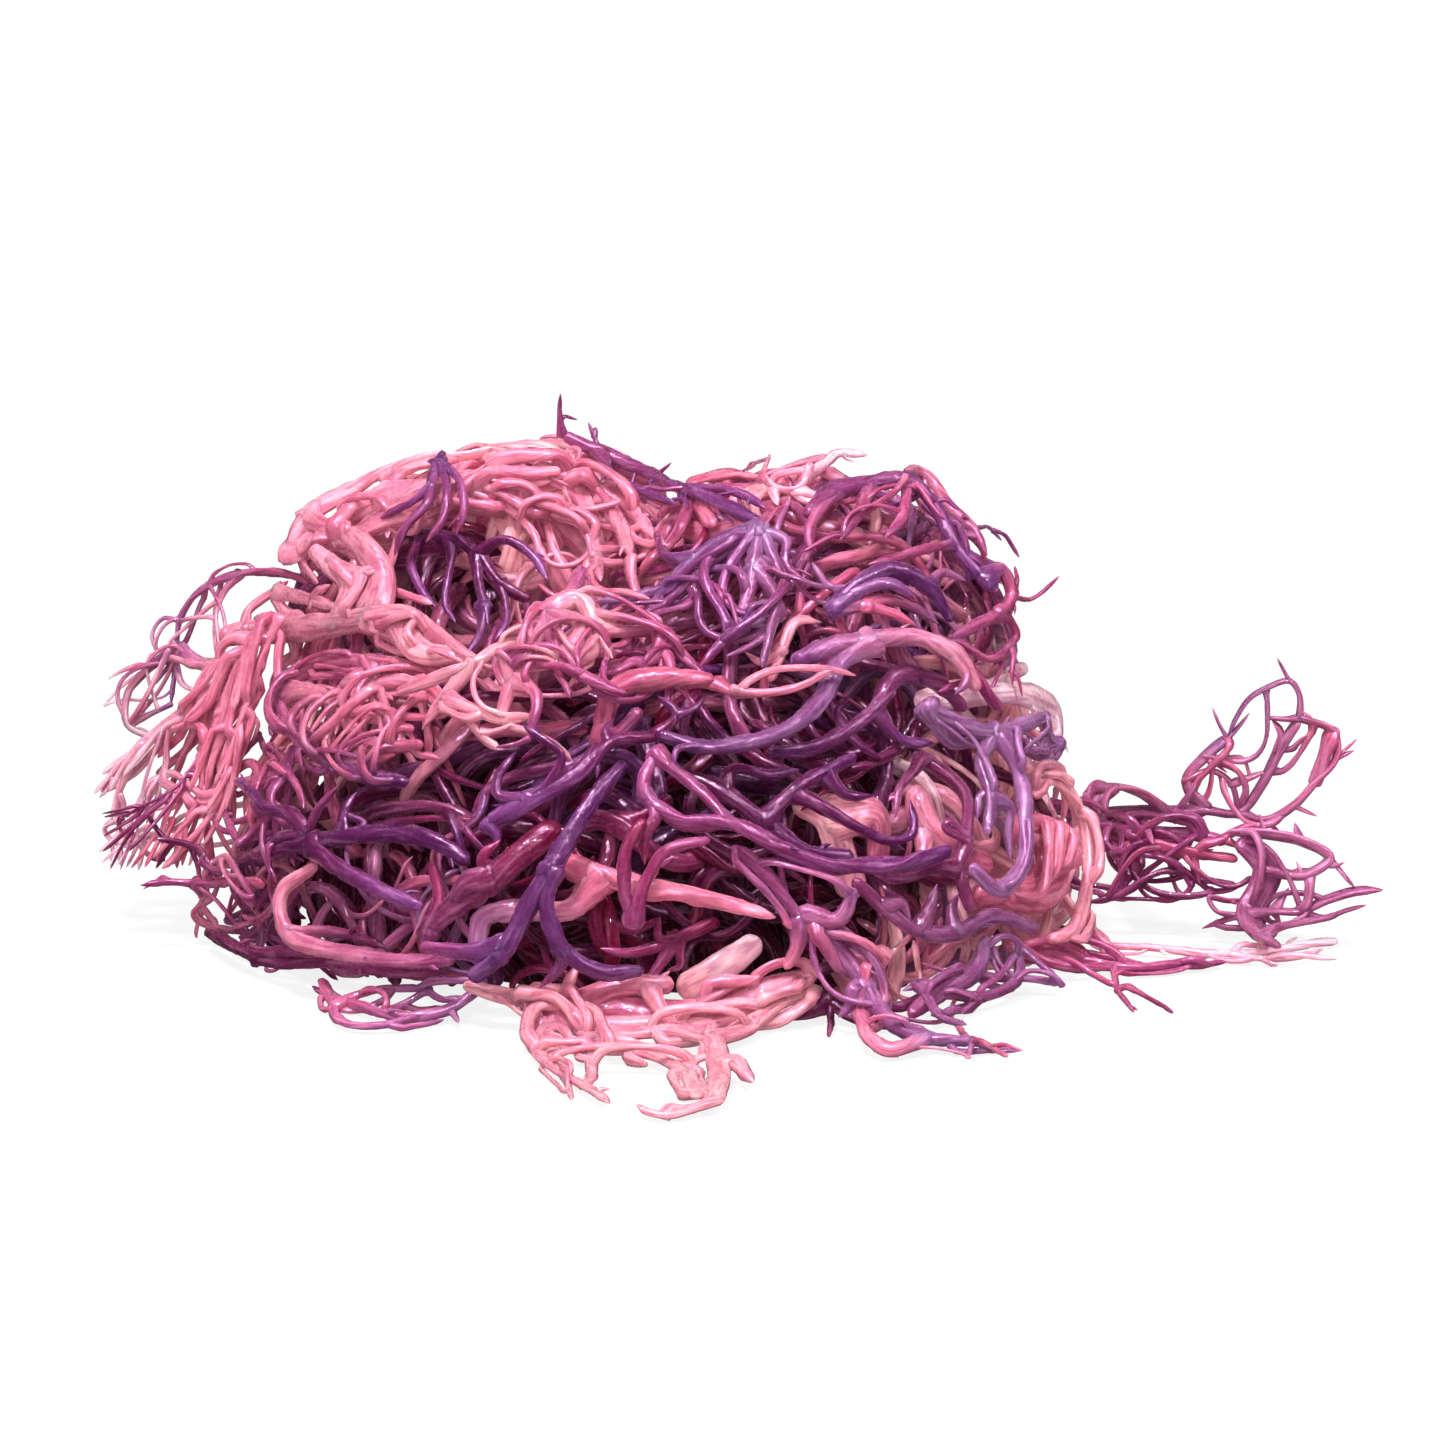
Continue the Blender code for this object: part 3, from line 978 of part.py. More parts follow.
def add_back_fronds(tangle, draw):
    for number, (degrees, height) in enumerate(BACK_STARTS, 1):
        frond = f"back_frond_{number}"
        start = spot_on_mound(math.radians(degrees), height, BACK_START_LIFT)
        heading = any_heading(draw)
        route = wander(draw, start, heading, BACK_LENGTH, BACK_LIFTS, BACK_CURL, BACK_STEP)
        stem = tangle.grow(frond, route, *BACK_WIDTH)
        for branch in range(BRANCHES):
            k = 1 + (len(stem) - 3) * branch // BRANCHES
            foot = np.array(tangle.points[stem[k]])
            along = np.array(tangle.points[stem[k + 1]]) - foot
            out = slope_of(mound_gap, foot)
            side = np.cross(out, along) * (-1) ** branch
            heading = along + BRANCH_SIDEWAYS * side
            length = BRANCH_LENGTH * draw.uniform(*BRANCH_SPREAD)
            route = wander(draw, foot, heading, length, BRANCH_LIFTS, BRANCH_CURL, BACK_STEP)
            tangle.grow(frond, route, *BRANCH_WIDTH, stem[k])


def add_inner_strands(tangle, draw):
    """Arches that rise from the core on every side. They are joined to it, not to one another."""
    for k in range(INNER_STRANDS):
        height = np.interp(((k + 0.5) / INNER_STRANDS) ** INNER_CROWDING, (0, 1), INNER_HEIGHTS)
        crest = draw.uniform(*INNER_CREST)
        start = spot_on_mound(k * GOLDEN_TURN, height, crest)
        length = draw.uniform(*INNER_LENGTH)
        lifts = (crest,) * 3
        route = wander(draw, start, any_heading(draw), length, lifts, INNER_CURL, INNER_STEP)
        shares = np.abs(np.linspace(-1, 1, len(route))) ** INNER_SINK_POWER
        depths = shares[:, None] * (INNER_SUNK - crest)
        route = route + slope_of(mound_gap, route) * depths
        width = draw.uniform(*INNER_WIDTH)
        chain = [len(tangle.points) + n for n in range(len(route))]
        tangle.points.extend(route)
        tangle.fronds.extend(["inner_tangle"] * len(route))
        tangle.add_chain("inner_tangle", chain, np.full(len(route), width / 2))


def closest_shares(start_a, end_a, start_b, end_b):
    """How far along each of two sets of straight pieces they come closest."""
    along_a = end_a - start_a
    along_b = end_b - start_b
    between = start_a - start_b
    aa = np.sum(along_a * along_a, axis=1)
    bb = np.sum(along_b * along_b, axis=1)
    ab = np.sum(along_a * along_b, axis=1)
    a_between = np.sum(along_a * between, axis=1)
    b_between = np.sum(along_b * between, axis=1)
    spread = np.maximum(aa * bb - ab * ab, 1e-9)
    share_a = np.clip((ab * b_between - a_between * bb) / spread, 0, 1)
    share_b = np.clip((ab * share_a + b_between) / bb, 0, 1)
    share_a = np.clip((ab * share_b - a_between) / aa, 0, 1)
    return share_a, share_b


class Spacing:
    """Moves strands of different fronds apart until each pair has a clear gap."""

    def __init__(self, tangle):
        self.points = np.array(tangle.points)
        names = sorted(set(tangle.fronds))
        self.owner = np.array([names.index(name) for name in tangle.fronds])
        self.inner = np.array([name == "inner_tangle" for name in tangle.fronds])
        first, second, radii = [], [], []
        self.thickness = np.zeros(len(self.points))
        for strand_made in tangle.chains:
            chain, sizes = strand_made["chain"], strand_made["radii"]
            first += chain[:-1]
            second += chain[1:]
            radii += [max(pair) for pair in zip(sizes, sizes[1:])]
            np.maximum.at(self.thickness, chain, sizes)
        self.first = np.array(first)
        self.second = np.array(second)
        self.radii = np.array(radii)
        self.drawn = self.points.copy()

    def near_pairs(self, reach):
        """Pairs of pieces of different fronds that might touch."""
        middle = (self.points[self.first] + self.points[self.second]) / 2
        half = np.linalg.norm(self.points[self.first] - self.points[self.second], axis=1) / 2
        size = half + self.radii
        apart = np.linalg.norm(middle[:, None] - middle[None], axis=2)
        near = apart < size[:, None] + size[None] + reach
        near &= self.owner[self.first][:, None] != self.owner[self.first][None]
        return np.nonzero(np.triu(near))

    def gaps(self, one, other):
        """Closest points of the pairs, and how far the pieces' surfaces are apart there."""
        share_a, share_b = closest_shares(
            self.points[self.first[one]],
            self.points[self.second[one]],
            self.points[self.first[other]],
            self.points[self.second[other]],
        )
        spot_a = self.points[self.first[one]] * (1 - share_a)[:, None]
        spot_a += self.points[self.second[one]] * share_a[:, None]
        spot_b = self.points[self.first[other]] * (1 - share_b)[:, None]
        spot_b += self.points[self.second[other]] * share_b[:, None]
        between = spot_a - spot_b
        apart = np.linalg.norm(between, axis=1)
        return share_a, share_b, between, apart, apart - self.radii[one] - self.radii[other]

    def push_apart(self, one, other):
        share_a, share_b, between, apart, gap = self.gaps(one, other)
        tight = gap < GAP
        one, other, share_a, share_b = one[tight], other[tight], share_a[tight], share_b[tight]
        between = between[tight] / np.maximum(apart[tight], 1e-6)[:, None]
        sign = np.where(between @ SIGHT < 0, -1, 1)[:, None]
        push = between + (DEPTH_BIAS - 1) * sign * SIGHT
        push *= ((GAP - gap[tight]) / np.linalg.norm(push, axis=1))[:, None] * SPREAD_SHARE
        moves = np.zeros_like(self.points)
        counts = np.full(len(self.points), 1e-9)
        for ends, share, way in (
            (self.first[one], 1 - share_a, 1),
            (self.second[one], share_a, 1),
            (self.first[other], 1 - share_b, -1),
            (self.second[other], share_b, -1),
        ):
            weight = np.maximum(share, LEAST_WEIGHT)
            np.add.at(moves, ends, way * push * weight[:, None])
            np.add.at(counts, ends, weight)
        self.points += moves / np.maximum(counts, 1)[:, None]

    def ease(self):
        """Spreads each move along its strand, so that it bends and doesn't kink."""
        moved = self.points - self.drawn
        total = np.zeros_like(moved)
        counts = np.zeros(len(moved))
        for here, there in ((self.first, self.second), (self.second, self.first)):
            np.add.at(total, here, moved[there])
            np.add.at(counts, here, 1)
        average = total / np.maximum(counts, 1)[:, None]
        self.points = self.drawn + (1 - KNIT) * moved + KNIT * average

    def keep_off_core_and_ground(self):
        floor = self.thickness + FLOOR_GAP
        self.points[:, 2] = np.maximum(self.points[:, 2], floor)
        outer = ~self.inner
        gap = core_gap(self.points[outer]) - self.thickness[outer] - CORE_CLEARANCE
        shift = slope_of(core_gap, self.points[outer]) * np.minimum(gap, 0)[:, None]
        self.points[outer] -= shift

    def run(self):
        for turn in range(SPREAD_TURNS):
            if turn % PAIR_TURNS == 0:
                one, other = self.near_pairs(PAIR_REACH)
            self.push_apart(one, other)
            if turn < SPREAD_SMOOTH_TURNS:
                self.ease()
            self.keep_off_core_and_ground()
        return self.points


def slimmed(tangle, spacing):
    """How much thinner each point has to be, where pieces are still too close."""
    one, other = spacing.near_pairs(LEFT_REACH)
    _, _, _, apart, gap = spacing.gaps(one, other)
    slim = np.ones(len(spacing.points))
    for a, b, distance, clear in zip(one, other, apart, gap):
        if clear < GAP * LEFT_SHARE:
            share = max(distance - GAP, LEAST_THICKNESS) / (spacing.radii[a] + spacing.radii[b])
            for k in (spacing.first[a], spacing.second[a], spacing.first[b], spacing.second[b]):
                slim[k] = min(slim[k], share)
    return slim


def centring(points):
    """The move along the ground that puts the middle of the mound's box over the origin."""
    middle = (points.min(axis=0) + points.max(axis=0)) / 2
    return np.array([-middle[0], -middle[1], 0.0])


def all_strands():
    """Every strand with its final route, thickness and sides, and the move that centres the mound."""
    draw = random.Random(SEED)
    tangle = Tangle()
    add_drawn_fronds(tangle, draw)
    add_back_fronds(tangle, draw)
    add_inner_strands(tangle, draw)
    spacing = Spacing(tangle)
    points = spacing.run()
    slim = slimmed(tangle, spacing)
    shift = centring(points)
    strands = []
    for made in tangle.chains:
        radii = made["radii"] * slim[made["chain"]]
        strands.append((made["frond"], points[made["chain"]] + shift, radii, made["sides"]))
    return strands, shift


def clear_scene():
    for old in list(bpy.data.objects):
        bpy.data.objects.remove(old, do_unlink=True)


def new_collection(name):
    collection = bpy.data.collections.new(name)
    bpy.context.scene.collection.children.link(collection)
    return collection


def wet_material(name, colour):
    material = bpy.data.materials.new(name)
    material.use_nodes = True
    shader = material.node_tree.nodes["Principled BSDF"]
    shader.inputs["Base Color"].default_value = (*colour, 1)
    shader.inputs["Roughness"].default_value = WET_ROUGHNESS
    shader.inputs["Metallic"].default_value = 0
    return material


def profile(sides):
    """The outline that a tube follows: a regular polygon 1 mm from its middle."""
    curve = bpy.data.curves.new(f"profile_{sides}", "CURVE")
    spline = curve.splines.new("POLY")
    spline.points.add(sides - 1)
    for k, point in enumerate(spline.points):
        angle = 2 * math.pi * k / sides
        point.co = (math.cos(angle) * MM, math.sin(angle) * MM, 0, 1)
    spline.use_cyclic_u = True
    guide = bpy.data.objects.new(f"profile_{sides}", curve)
    guide.hide_render = True
    guide.display_type = "WIRE"
    bpy.context.scene.collection.objects.link(guide)
    return guide


def tube(name, route, radii, outline):
    """A closed tube along a route."""
    curve = bpy.data.curves.new(name, "CURVE")
    curve.dimensions = "3D"
    curve.bevel_mode = "OBJECT"
    curve.bevel_object = outline
    curve.use_fill_caps = True
    spline = curve.splines.new("POLY")
    spline.points.add(len(route) - 1)
    for point, spot, radius in zip(spline.points, route, radii):
        point.co = (*(spot * MM), 1)
        point.radius = radius
    guide = bpy.data.objects.new(name + "_route", curve)
    bpy.context.scene.collection.objects.link(guide)
    return as_mesh(guide, name, weld_caps(evaluated_mesh(guide)))


def evaluated_mesh(guide):
    """The mesh of a curve or of an object with modifiers."""
    bpy.context.view_layer.update()
    evaluated = guide.evaluated_get(bpy.context.evaluated_depsgraph_get())
    return bpy.data.meshes.new_from_object(evaluated)


def weld_caps(mesh):
    """Joins the caps of a tube to its sides."""
    skin = bmesh.new()
    skin.from_mesh(mesh)
    bmesh.ops.remove_doubles(skin, verts=skin.verts, dist=WELD)
    bmesh.ops.recalc_face_normals(skin, faces=skin.faces)
    skin.to_mesh(mesh)
    skin.free()
    return mesh


def as_mesh(guide, name, mesh):
    """Puts a mesh object in the place of a curve or of an object with modifiers."""
    made = bpy.data.objects.new(name, mesh)
    made.matrix_world = guide.matrix_world
    bpy.context.scene.collection.objects.link(made)
    bpy.data.objects.remove(guide, do_unlink=True)
    return made


def is_closed(mesh):
    skin = bmesh.new()
    skin.from_mesh(mesh)
    closed = all(len(edge.link_faces) == 2 for edge in skin.edges)
    skin.free()
    return closed


def keep_whole_body(mesh):
    """Drops loose scraps and fills sealed hollows: only the largest connected skin stays."""
    skin = bmesh.new()
    skin.from_mesh(mesh)
    left = set(skin.verts)
    largest = set()
    while left:
        body = {left.pop()}
        edge_of_body = list(body)
        while edge_of_body:
            vert = edge_of_body.pop()
            for edge in vert.link_edges:
                other = edge.other_vert(vert)
                if other not in body:
                    body.add(other)
                    edge_of_body.append(other)
        left -= body
        if len(body) > len(largest):
            largest = body
    loose = [vert for vert in skin.verts if vert not in largest]
    bmesh.ops.delete(skin, geom=loose, context="VERTS")
    skin.to_mesh(mesh)
    skin.free()


def fused(name, pieces, material, home):
    """One solid from overlapping pieces."""
    base, others = pieces[0], pieces[1:]
    if others:
        joined = bpy.data.collections.new(name + "_strands")
        for piece in others:
            joined.objects.link(piece)
        union = base.modifiers.new("Union", "BOOLEAN")
        union.operation = "UNION"
        union.operand_type = "COLLECTION"
        union.collection = joined
        union.solver = "EXACT"
        mesh = evaluated_mesh(base)
        if not is_closed(mesh):
            union.solver = "MANIFOLD"
            mesh = evaluated_mesh(base)
        base = as_mesh(base, name, mesh)
        for piece in others:
            bpy.data.objects.remove(piece, do_unlink=True)
        bpy.data.collections.remove(joined)
        keep_whole_body(base.data)
    base.name = name
    base.data.name = name
    base.data.materials.clear()
    base.data.materials.append(material)
    base.data.shade_smooth()
    bpy.context.scene.collection.objects.unlink(base)
    home.objects.link(base)
    return base


def core_lobe(number, centre, size):
    """One rounded lobe of the core, cut flat where the mound rests."""
    mesh = bpy.data.meshes.new(f"core_lobe_{number}")
    shape = bmesh.new()
    bmesh.ops.create_uvsphere(shape, u_segments=CORE_TURNS, v_segments=CORE_RINGS, radius=1)
    bmesh.ops.scale(shape, vec=Vector(size) * MM, verts=shape.verts)
    bmesh.ops.translate(shape, vec=Vector(centre) * MM, verts=shape.verts)
    everything = shape.verts[:] + shape.edges[:] + shape.faces[:]
    cut = bmesh.ops.bisect_plane(
        shape, geom=everything, dist=WELD, plane_co=(0, 0, 0), plane_no=(0, 0, -1), clear_outer=True
    )
    rim = [part for part in cut["geom_cut"] if isinstance(part, bmesh.types.BMEdge)]
    if rim:
        bmesh.ops.contextual_create(shape, geom=rim)
    bmesh.ops.recalc_face_normals(shape, faces=shape.faces)
    shape.to_mesh(mesh)
    shape.free()
    lobe = bpy.data.objects.new(f"core_lobe_{number}", mesh)
    bpy.context.scene.collection.objects.link(lobe)
    return lobe


def make_fronds(home, materials):
    outlines = {sides: profile(sides) for sides in CORNER_SHARE}
    pieces = {}
    strands, shift = all_strands()
    for number, (frond, route, radii, sides) in enumerate(strands):
        pieces.setdefault(frond, []).append(tube(f"{frond}_{number}", route, radii, outlines[sides]))
    for outline in outlines.values():
        bpy.data.objects.remove(outline, do_unlink=True)
    core = [
        core_lobe(number, centre + shift, size)
        for number, (centre, size) in enumerate(zip(LOBES[:, 0], core_sizes()))
    ]
    pieces["inner_tangle"] = core + pieces["inner_tangle"]
    for frond, parts in pieces.items():
        fused(frond, parts, materials[colour_of(frond)], home)


def colour_of(frond):
    if frond in FRONDS:
        return FRONDS[frond][0]
    if frond == "inner_tangle":
        return "deep_purple"
    return "mauve"


clear_scene()
make_fronds(
    new_collection("purple_sea_moss"),
    {name: wet_material(name, colour) for name, colour in COLOURS.items()},
)
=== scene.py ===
"""The look of a heap of purple sea moss: wet, branching strands that lie over one another.

Lengths are in millimetres up to the meshes, which are made in metres. The main strands follow the same
routes, by the same rules, as the solids that they replace. The first two values of a drawn point are
millimetres to the right and upward in a plane square to the line of sight, and a third is how far back
the point lies. Thinner strands then fill the mound between them.
"""

import math
import random
from itertools import product
import bpy
import numpy as np
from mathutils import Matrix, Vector


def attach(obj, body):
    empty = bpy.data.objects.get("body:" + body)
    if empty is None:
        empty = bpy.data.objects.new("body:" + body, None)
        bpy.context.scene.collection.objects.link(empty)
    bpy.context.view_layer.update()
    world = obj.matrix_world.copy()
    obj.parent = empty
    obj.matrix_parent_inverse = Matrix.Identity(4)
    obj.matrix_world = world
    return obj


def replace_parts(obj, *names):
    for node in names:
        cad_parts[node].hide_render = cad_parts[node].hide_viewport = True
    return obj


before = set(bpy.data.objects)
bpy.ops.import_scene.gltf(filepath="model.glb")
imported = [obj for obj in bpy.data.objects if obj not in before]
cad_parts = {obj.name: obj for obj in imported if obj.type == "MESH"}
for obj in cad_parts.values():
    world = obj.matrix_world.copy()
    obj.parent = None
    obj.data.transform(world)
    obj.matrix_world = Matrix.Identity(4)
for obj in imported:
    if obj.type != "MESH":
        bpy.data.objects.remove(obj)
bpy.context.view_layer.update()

MM = 0.001
SEED = 11

# The line of sight that the routes are drawn along, and where on it the mound is sought
EYE_TILT = math.radians(15)
EYE_DISTANCE = 900
SIGHT = np.array([0.0, math.cos(EYE_TILT), -math.sin(EYE_TILT)])
UP = np.array([0.0, math.sin(EYE_TILT), math.cos(EYE_TILT)])
EYE = -EYE_DISTANCE * SIGHT
CAST_NEAR = 740
CAST_FAR = 1060
CAST_STEP = 1

# The mound is three rounded lobes: centre and half sizes
LOBES = np.array(
    [
        [[-19, 0, 10], [84, 70, 58]],
        [[-48, 22, 50], [40, 36, 40]],
        [[12, 8, 52], [43, 40, 38]],
    ],
    dtype=float,
)
LOBE_BLEND = 14
FLOOR_BLEND = 10

# The step over which slopes are measured, in mm, and what keeps a divisor above nothing
SLOPE_REACH = 0.5
TINY = 1e-9
LEAST_LENGTH = 1e-6

# Where heights are given along a strand: at its root, its middle and its tip
ROOT_MIDDLE_TIP = (0, 0.5, 1)

# The core that the inner strands grow from lies this far inside the lobes
CORE_DEPTH = 17

# Spacing between strands of different fronds, over the ground and off the core
GAP = 0.55
FLOOR_GAP = 0.15
CORE_CLEARANCE = 1.0

# How strands are moved apart: the turns it takes, and in how many of them bends are evened out too,
# the share of an overlap that a turn takes away, how much more strands move in depth, how far a move
# spreads along its strand, the least that an end moves, and how often and how far pairs are sought
SPREAD_TURNS = 160
SPREAD_SMOOTH_TURNS = 120
SPREAD_SHARE = 0.6
DEPTH_BIAS = 1.8
KNIT = 0.25
LEAST_WEIGHT = 0.15
PAIR_TURNS = 8
PAIR_REACH = 4

# What is still too close afterwards is made thinner
LEFT_REACH = 1
LEFT_SHARE = 0.6
LEAST_THICKNESS = 0.2

# How finely a strand is followed, as a share of its thickness
STEP_SHARE = 3.2
STEP_LEAST = 4.2
STEP_MOST = 9

# A strand's tip joins its own frond within this reach, in which depth counts for less. Roots flare
JOIN_REACH = 2.2
JOIN_DEPTH_SHARE = 0.8
FLARE = 1.2

# Sides of a strand up to each thickness, and how far its corners stand out to look as thick as a round one
SIDES_BY_THICKNESS = ((3.3, 3), (math.inf, 4))
CORNER_SHARE = {3: 1.2, 4: 1.12}

# Spines: their length, how far they lean to the tip and towards the eye, and their radii
BARB_LENGTH = (3.0, 6.5)
BARB_LEAN = (0.1, 0.6)
BARB_FORWARD = (0, 0.4)
BARB_RADII = np.array([0.6, 0.35])

# Strands that wander over the mound: how they bend, and how hard one that strays turns back
WANDER_LEAST = 4
WANDER_BENDS = 4
WANDER_FITS = 3
HOMING = 0.15

# Strands that arch out of the core
INNER_STRANDS = 20
INNER_HEIGHTS = (0.06, 0.96)
INNER_CROWDING = 1.3
INNER_STEP = 10
INNER_LENGTH = (46, 78)
INNER_WIDTH = (2.4, 3.4)
INNER_CURL = 0.3
INNER_SUNK = -25
INNER_SINK_POWER = 3
INNER_CREST = (-7, -1.5)

# Fronds over the back: widths are at root and tip, heights at root, middle and tip
BACK_STEP = 10
BACK_LENGTH = 92
BACK_WIDTH = (3.4, 2.4)
BACK_LIFTS = (1, 5, 1)
BACK_CURL = 0.35
BACK_START_LIFT = 2
BRANCHES = 3
BRANCH_LENGTH = 36
BRANCH_SPREAD = (0.7, 1.3)
BRANCH_WIDTH = (2.8, 1.6)
BRANCH_LIFTS = (3, 6, 2)
BRANCH_CURL = 0.45
BRANCH_SIDEWAYS = 1.3

# Colours of the wet strands as they look in even light, in the usual 0 to 255 for red, green and blue
PALETTE = {
    # black_wine is painted shade: the deep thin strands, the inner strands, the core and the zone low in the
    # middle take it
    "black_wine": (58, 6, 30),
    "plum": (88, 22, 60),
    "deep_violet": (84, 32, 84),
    "violet": (110, 56, 112),
    "lilac": (138, 90, 134),
    "mauve": (138, 62, 106),
    "magenta": (140, 48, 92),
    "wine": (118, 18, 58),
    "dusk": (166, 100, 136),
    "rose": (176, 84, 116),
    "coral": (196, 100, 128),
    "salmon": (210, 130, 150),
    "peach": (222, 156, 162),
    "pale_pink": (234, 190, 202),
}

# How much lighter or darker single strands are
TINT_CHANGE = (0.72, 1.08)

# Root and tip colours of each frond's strands in turn. The last pair serves the strands that are left.
TINTS = {
    "left_purple_loops": ["rose lilac", "lilac pale_pink", "rose pale_pink"],
    "pink_tassel": ["salmon coral", "salmon coral", "coral salmon", "salmon pale_pink", "pale_pink pale_pink",
                    "salmon pale_pink", "mauve plum", "plum plum", "peach pale_pink"],
    "left_fan_frond": ["salmon salmon", "salmon peach", "coral salmon", "salmon salmon"],
    "pink_dome_frond": ["salmon peach", "salmon salmon", "coral salmon", "coral salmon"],
    "mauve_tuft": ["violet mauve"],
    "dark_hollow_frond": ["deep_violet plum", "plum violet"],
    "mauve_spiky_frond": ["mauve violet"],
    "back_right_frond": ["coral salmon", "pale_pink salmon", "salmon pale_pink"],
    "centre_fan_frond": ["lilac mauve", "mauve lilac", "violet lilac", "violet mauve"],
    "right_arch_frond": ["mauve violet", "salmon mauve", "mauve lilac", "rose mauve"],
    "right_striped_frond": ["violet deep_violet", "lilac violet", "coral rose", "rose lilac"],
    "front_left_network": ["coral deep_violet", "salmon rose", "rose salmon", "salmon coral"],
    "left_blunt_strand": ["salmon peach", "salmon salmon", "salmon peach"],
    "pale_hub_frond": ["mauve salmon", "peach salmon", "salmon peach", "rose mauve"],
    "salmon_bar_frond": ["rose coral", "salmon salmon", "coral salmon", "deep_violet mauve"],
    "pale_bent_strand": ["salmon peach", "rose salmon"],
    "violet_frond": ["violet salmon", "lilac deep_violet", "mauve violet"],
    "violet_knee_frond": ["mauve deep_violet", "violet deep_violet", "deep_violet plum"],
    "mauve_centre_frond": ["mauve deep_violet", "mauve mauve", "mauve wine"],
    "dark_centre_frond": ["plum deep_violet"],
    "centre_branched_frond": ["plum violet", "plum deep_violet"],
    "blue_violet_frond": ["deep_violet violet", "violet deep_violet", "violet mauve"],
    "magenta_broad_frond": ["wine mauve", "magenta lilac", "wine magenta"],
    "long_pale_frond": ["coral salmon", "salmon lilac"],
    "maroon_hanging_loop": ["wine mauve"],
    "left_dark_band": ["plum deep_violet", "deep_violet mauve", "plum violet"],
    "left_mauve_frond": ["mauve mauve", "rose mauve"],
    "left_pale_sticks": ["rose mauve", "mauve plum", "salmon mauve"],
    "left_pale_curve": ["salmon mauve", "mauve plum", "mauve rose"],
    "left_dark_foot": ["plum mauve"],
    "left_floor_loops": ["rose lilac"],
    "front_floor_frond": ["rose salmon", "coral salmon", "salmon peach", "salmon peach"],
    "pale_floor_ribbon": ["peach pale_pink"],
    "low_wine_frond": ["wine mauve"],
    "bottom_right_frond": ["mauve lilac", "rose lilac", "rose salmon"],
    "right_low_mauve": ["mauve lilac"],
    "right_foot_frond": ["lilac mauve", "mauve lilac"],
    "dark_low_right": ["plum mauve"],
    "trailing_root": ["mauve rose", "plum mauve"],
    "trailing_leaf": ["mauve dusk", "dusk dusk", "dusk mauve"],
    "trailing_high_loops": ["mauve dusk", "dusk rose", "dusk lilac", "rose dusk"],
    "low_long_strands": ["rose mauve"],
    "low_pale_strand": ["salmon pale_pink"],
    "right_violet_network": ["lilac lilac"],
    "right_pale_loop": ["pale_pink pale_pink", "peach pale_pink"],
    "maroon_cross_strand": ["wine mauve"],
    "pale_finger_frond": ["peach salmon", "salmon rose"],
    "right_finger_strand": ["salmon rose", "coral salmon"],
    "dark_right_frond": ["plum mauve"],
    "hot_pink_frond": ["coral coral", "coral salmon"],
    "right_outer_strand": ["peach salmon"],
    "back_frond_1": ["mauve violet"],
    "back_frond_2": ["violet lilac"],
    "back_frond_3": ["rose salmon"],
    "back_frond_4": ["deep_violet mauve"],
    "back_frond_5": ["salmon coral"],
    "inner_tangle": ["black_wine plum"],
}

# How thick strands are for their width: the flatter fronds, the other ones and thin strands
FLATNESS = {
    "pink_dome_frond": 0.5,
    "left_fan_frond": 0.55,
    "pink_tassel": 0.5,
    "left_purple_loops": 0.6,
    "back_right_frond": 0.55,
    "trailing_root": 0.6,
    "trailing_leaf": 0.42,
    "trailing_high_loops": 0.42,
    "front_floor_frond": 0.55,
    "right_pale_loop": 0.5,
    "pale_finger_frond": 0.6,
    "hot_pink_frond": 0.6,
    "pale_floor_ribbon": 0.45,
    "long_pale_frond": 0.6,
    "magenta_broad_frond": 0.7,
}
USUAL_FLATNESS = 0.82
THIN_FLATNESS = (0.6, 0.95)

# Fronds that swell and stay smooth, as soft pale strands do
FULLER = {
    "right_pale_loop": 1.2,
    "pale_finger_frond": 1.35,
    "right_finger_strand": 1.35,
    "pale_floor_ribbon": 1.2,
    "hot_pink_frond": 1.2,
    "trailing_leaf": 1.25,
    "trailing_high_loops": 1.25,
    "front_floor_frond": 1.15,
    "left_fan_frond": 1.15,
}

# Where the thin strands take their looks: a spot of the drawing plane, its reach, how much painted shade
# the deep strands take there, from 0 to 1, how wide and how many the strands are for what they are
# elsewhere, and the colours
ZONES = (
    ((-62, 86), 26, 0.1, 2.0, 0.85, "salmon coral peach salmon"),
    ((-60, 68), 13, 0.7, 1.2, 0.8, "plum mauve wine"),
    ((-104, 42), 20, 0.1, 1.2, 1.0, "salmon coral peach"),
    ((-76, 44), 18, 0.5, 1.0, 1.0, "rose salmon plum mauve"),
    ((-82, 22), 18, 0.7, 1.1, 0.9, "mauve dusk rose plum"),
    ((-84, 0), 18, 0.55, 1.0, 0.8, "mauve dusk plum rose lilac"),
    ((-38, 54), 16, 0.5, 1.1, 1.0, "rose mauve salmon"),
    ((-8, 82), 18, 0.3, 1.6, 1.0, "salmon mauve coral rose"),
    ((-6, 60), 16, 0.9, 1.2, 0.9, "mauve plum wine rose"),
    ((28, 84), 22, 0.2, 1.2, 1.0, "lilac mauve salmon peach rose"),
    ((34, 62), 18, 0.5, 1.2, 1.0, "mauve violet lilac plum rose"),
    ((-12, 38), 18, 1, 1.25, 0.5, "plum wine deep_violet violet"),
    ((-34, 24), 20, 1, 1.3, 0.6, "plum deep_violet violet wine"),
    ((-30, 8), 16, 1, 1.3, 0.55, "wine plum magenta"),
    ((22, 36), 18, 1, 1.25, 0.5, "plum mauve wine deep_violet"),
    ((20, 14), 18, 1, 1.25, 0.55, "wine mauve plum"),
    ((58, 14), 18, 0.1, 1.4, 0.9, "salmon peach peach pale_pink"),
    ((52, 34), 15, 0.1, 1.3, 0.8, "salmon peach peach pale_pink"),
    ((0, -6), 20, 1, 1.2, 0.42, "wine plum plum black_wine"),
    ((42, -10), 18, 0.3, 1.2, 0.9, "rose salmon lilac peach"),
)
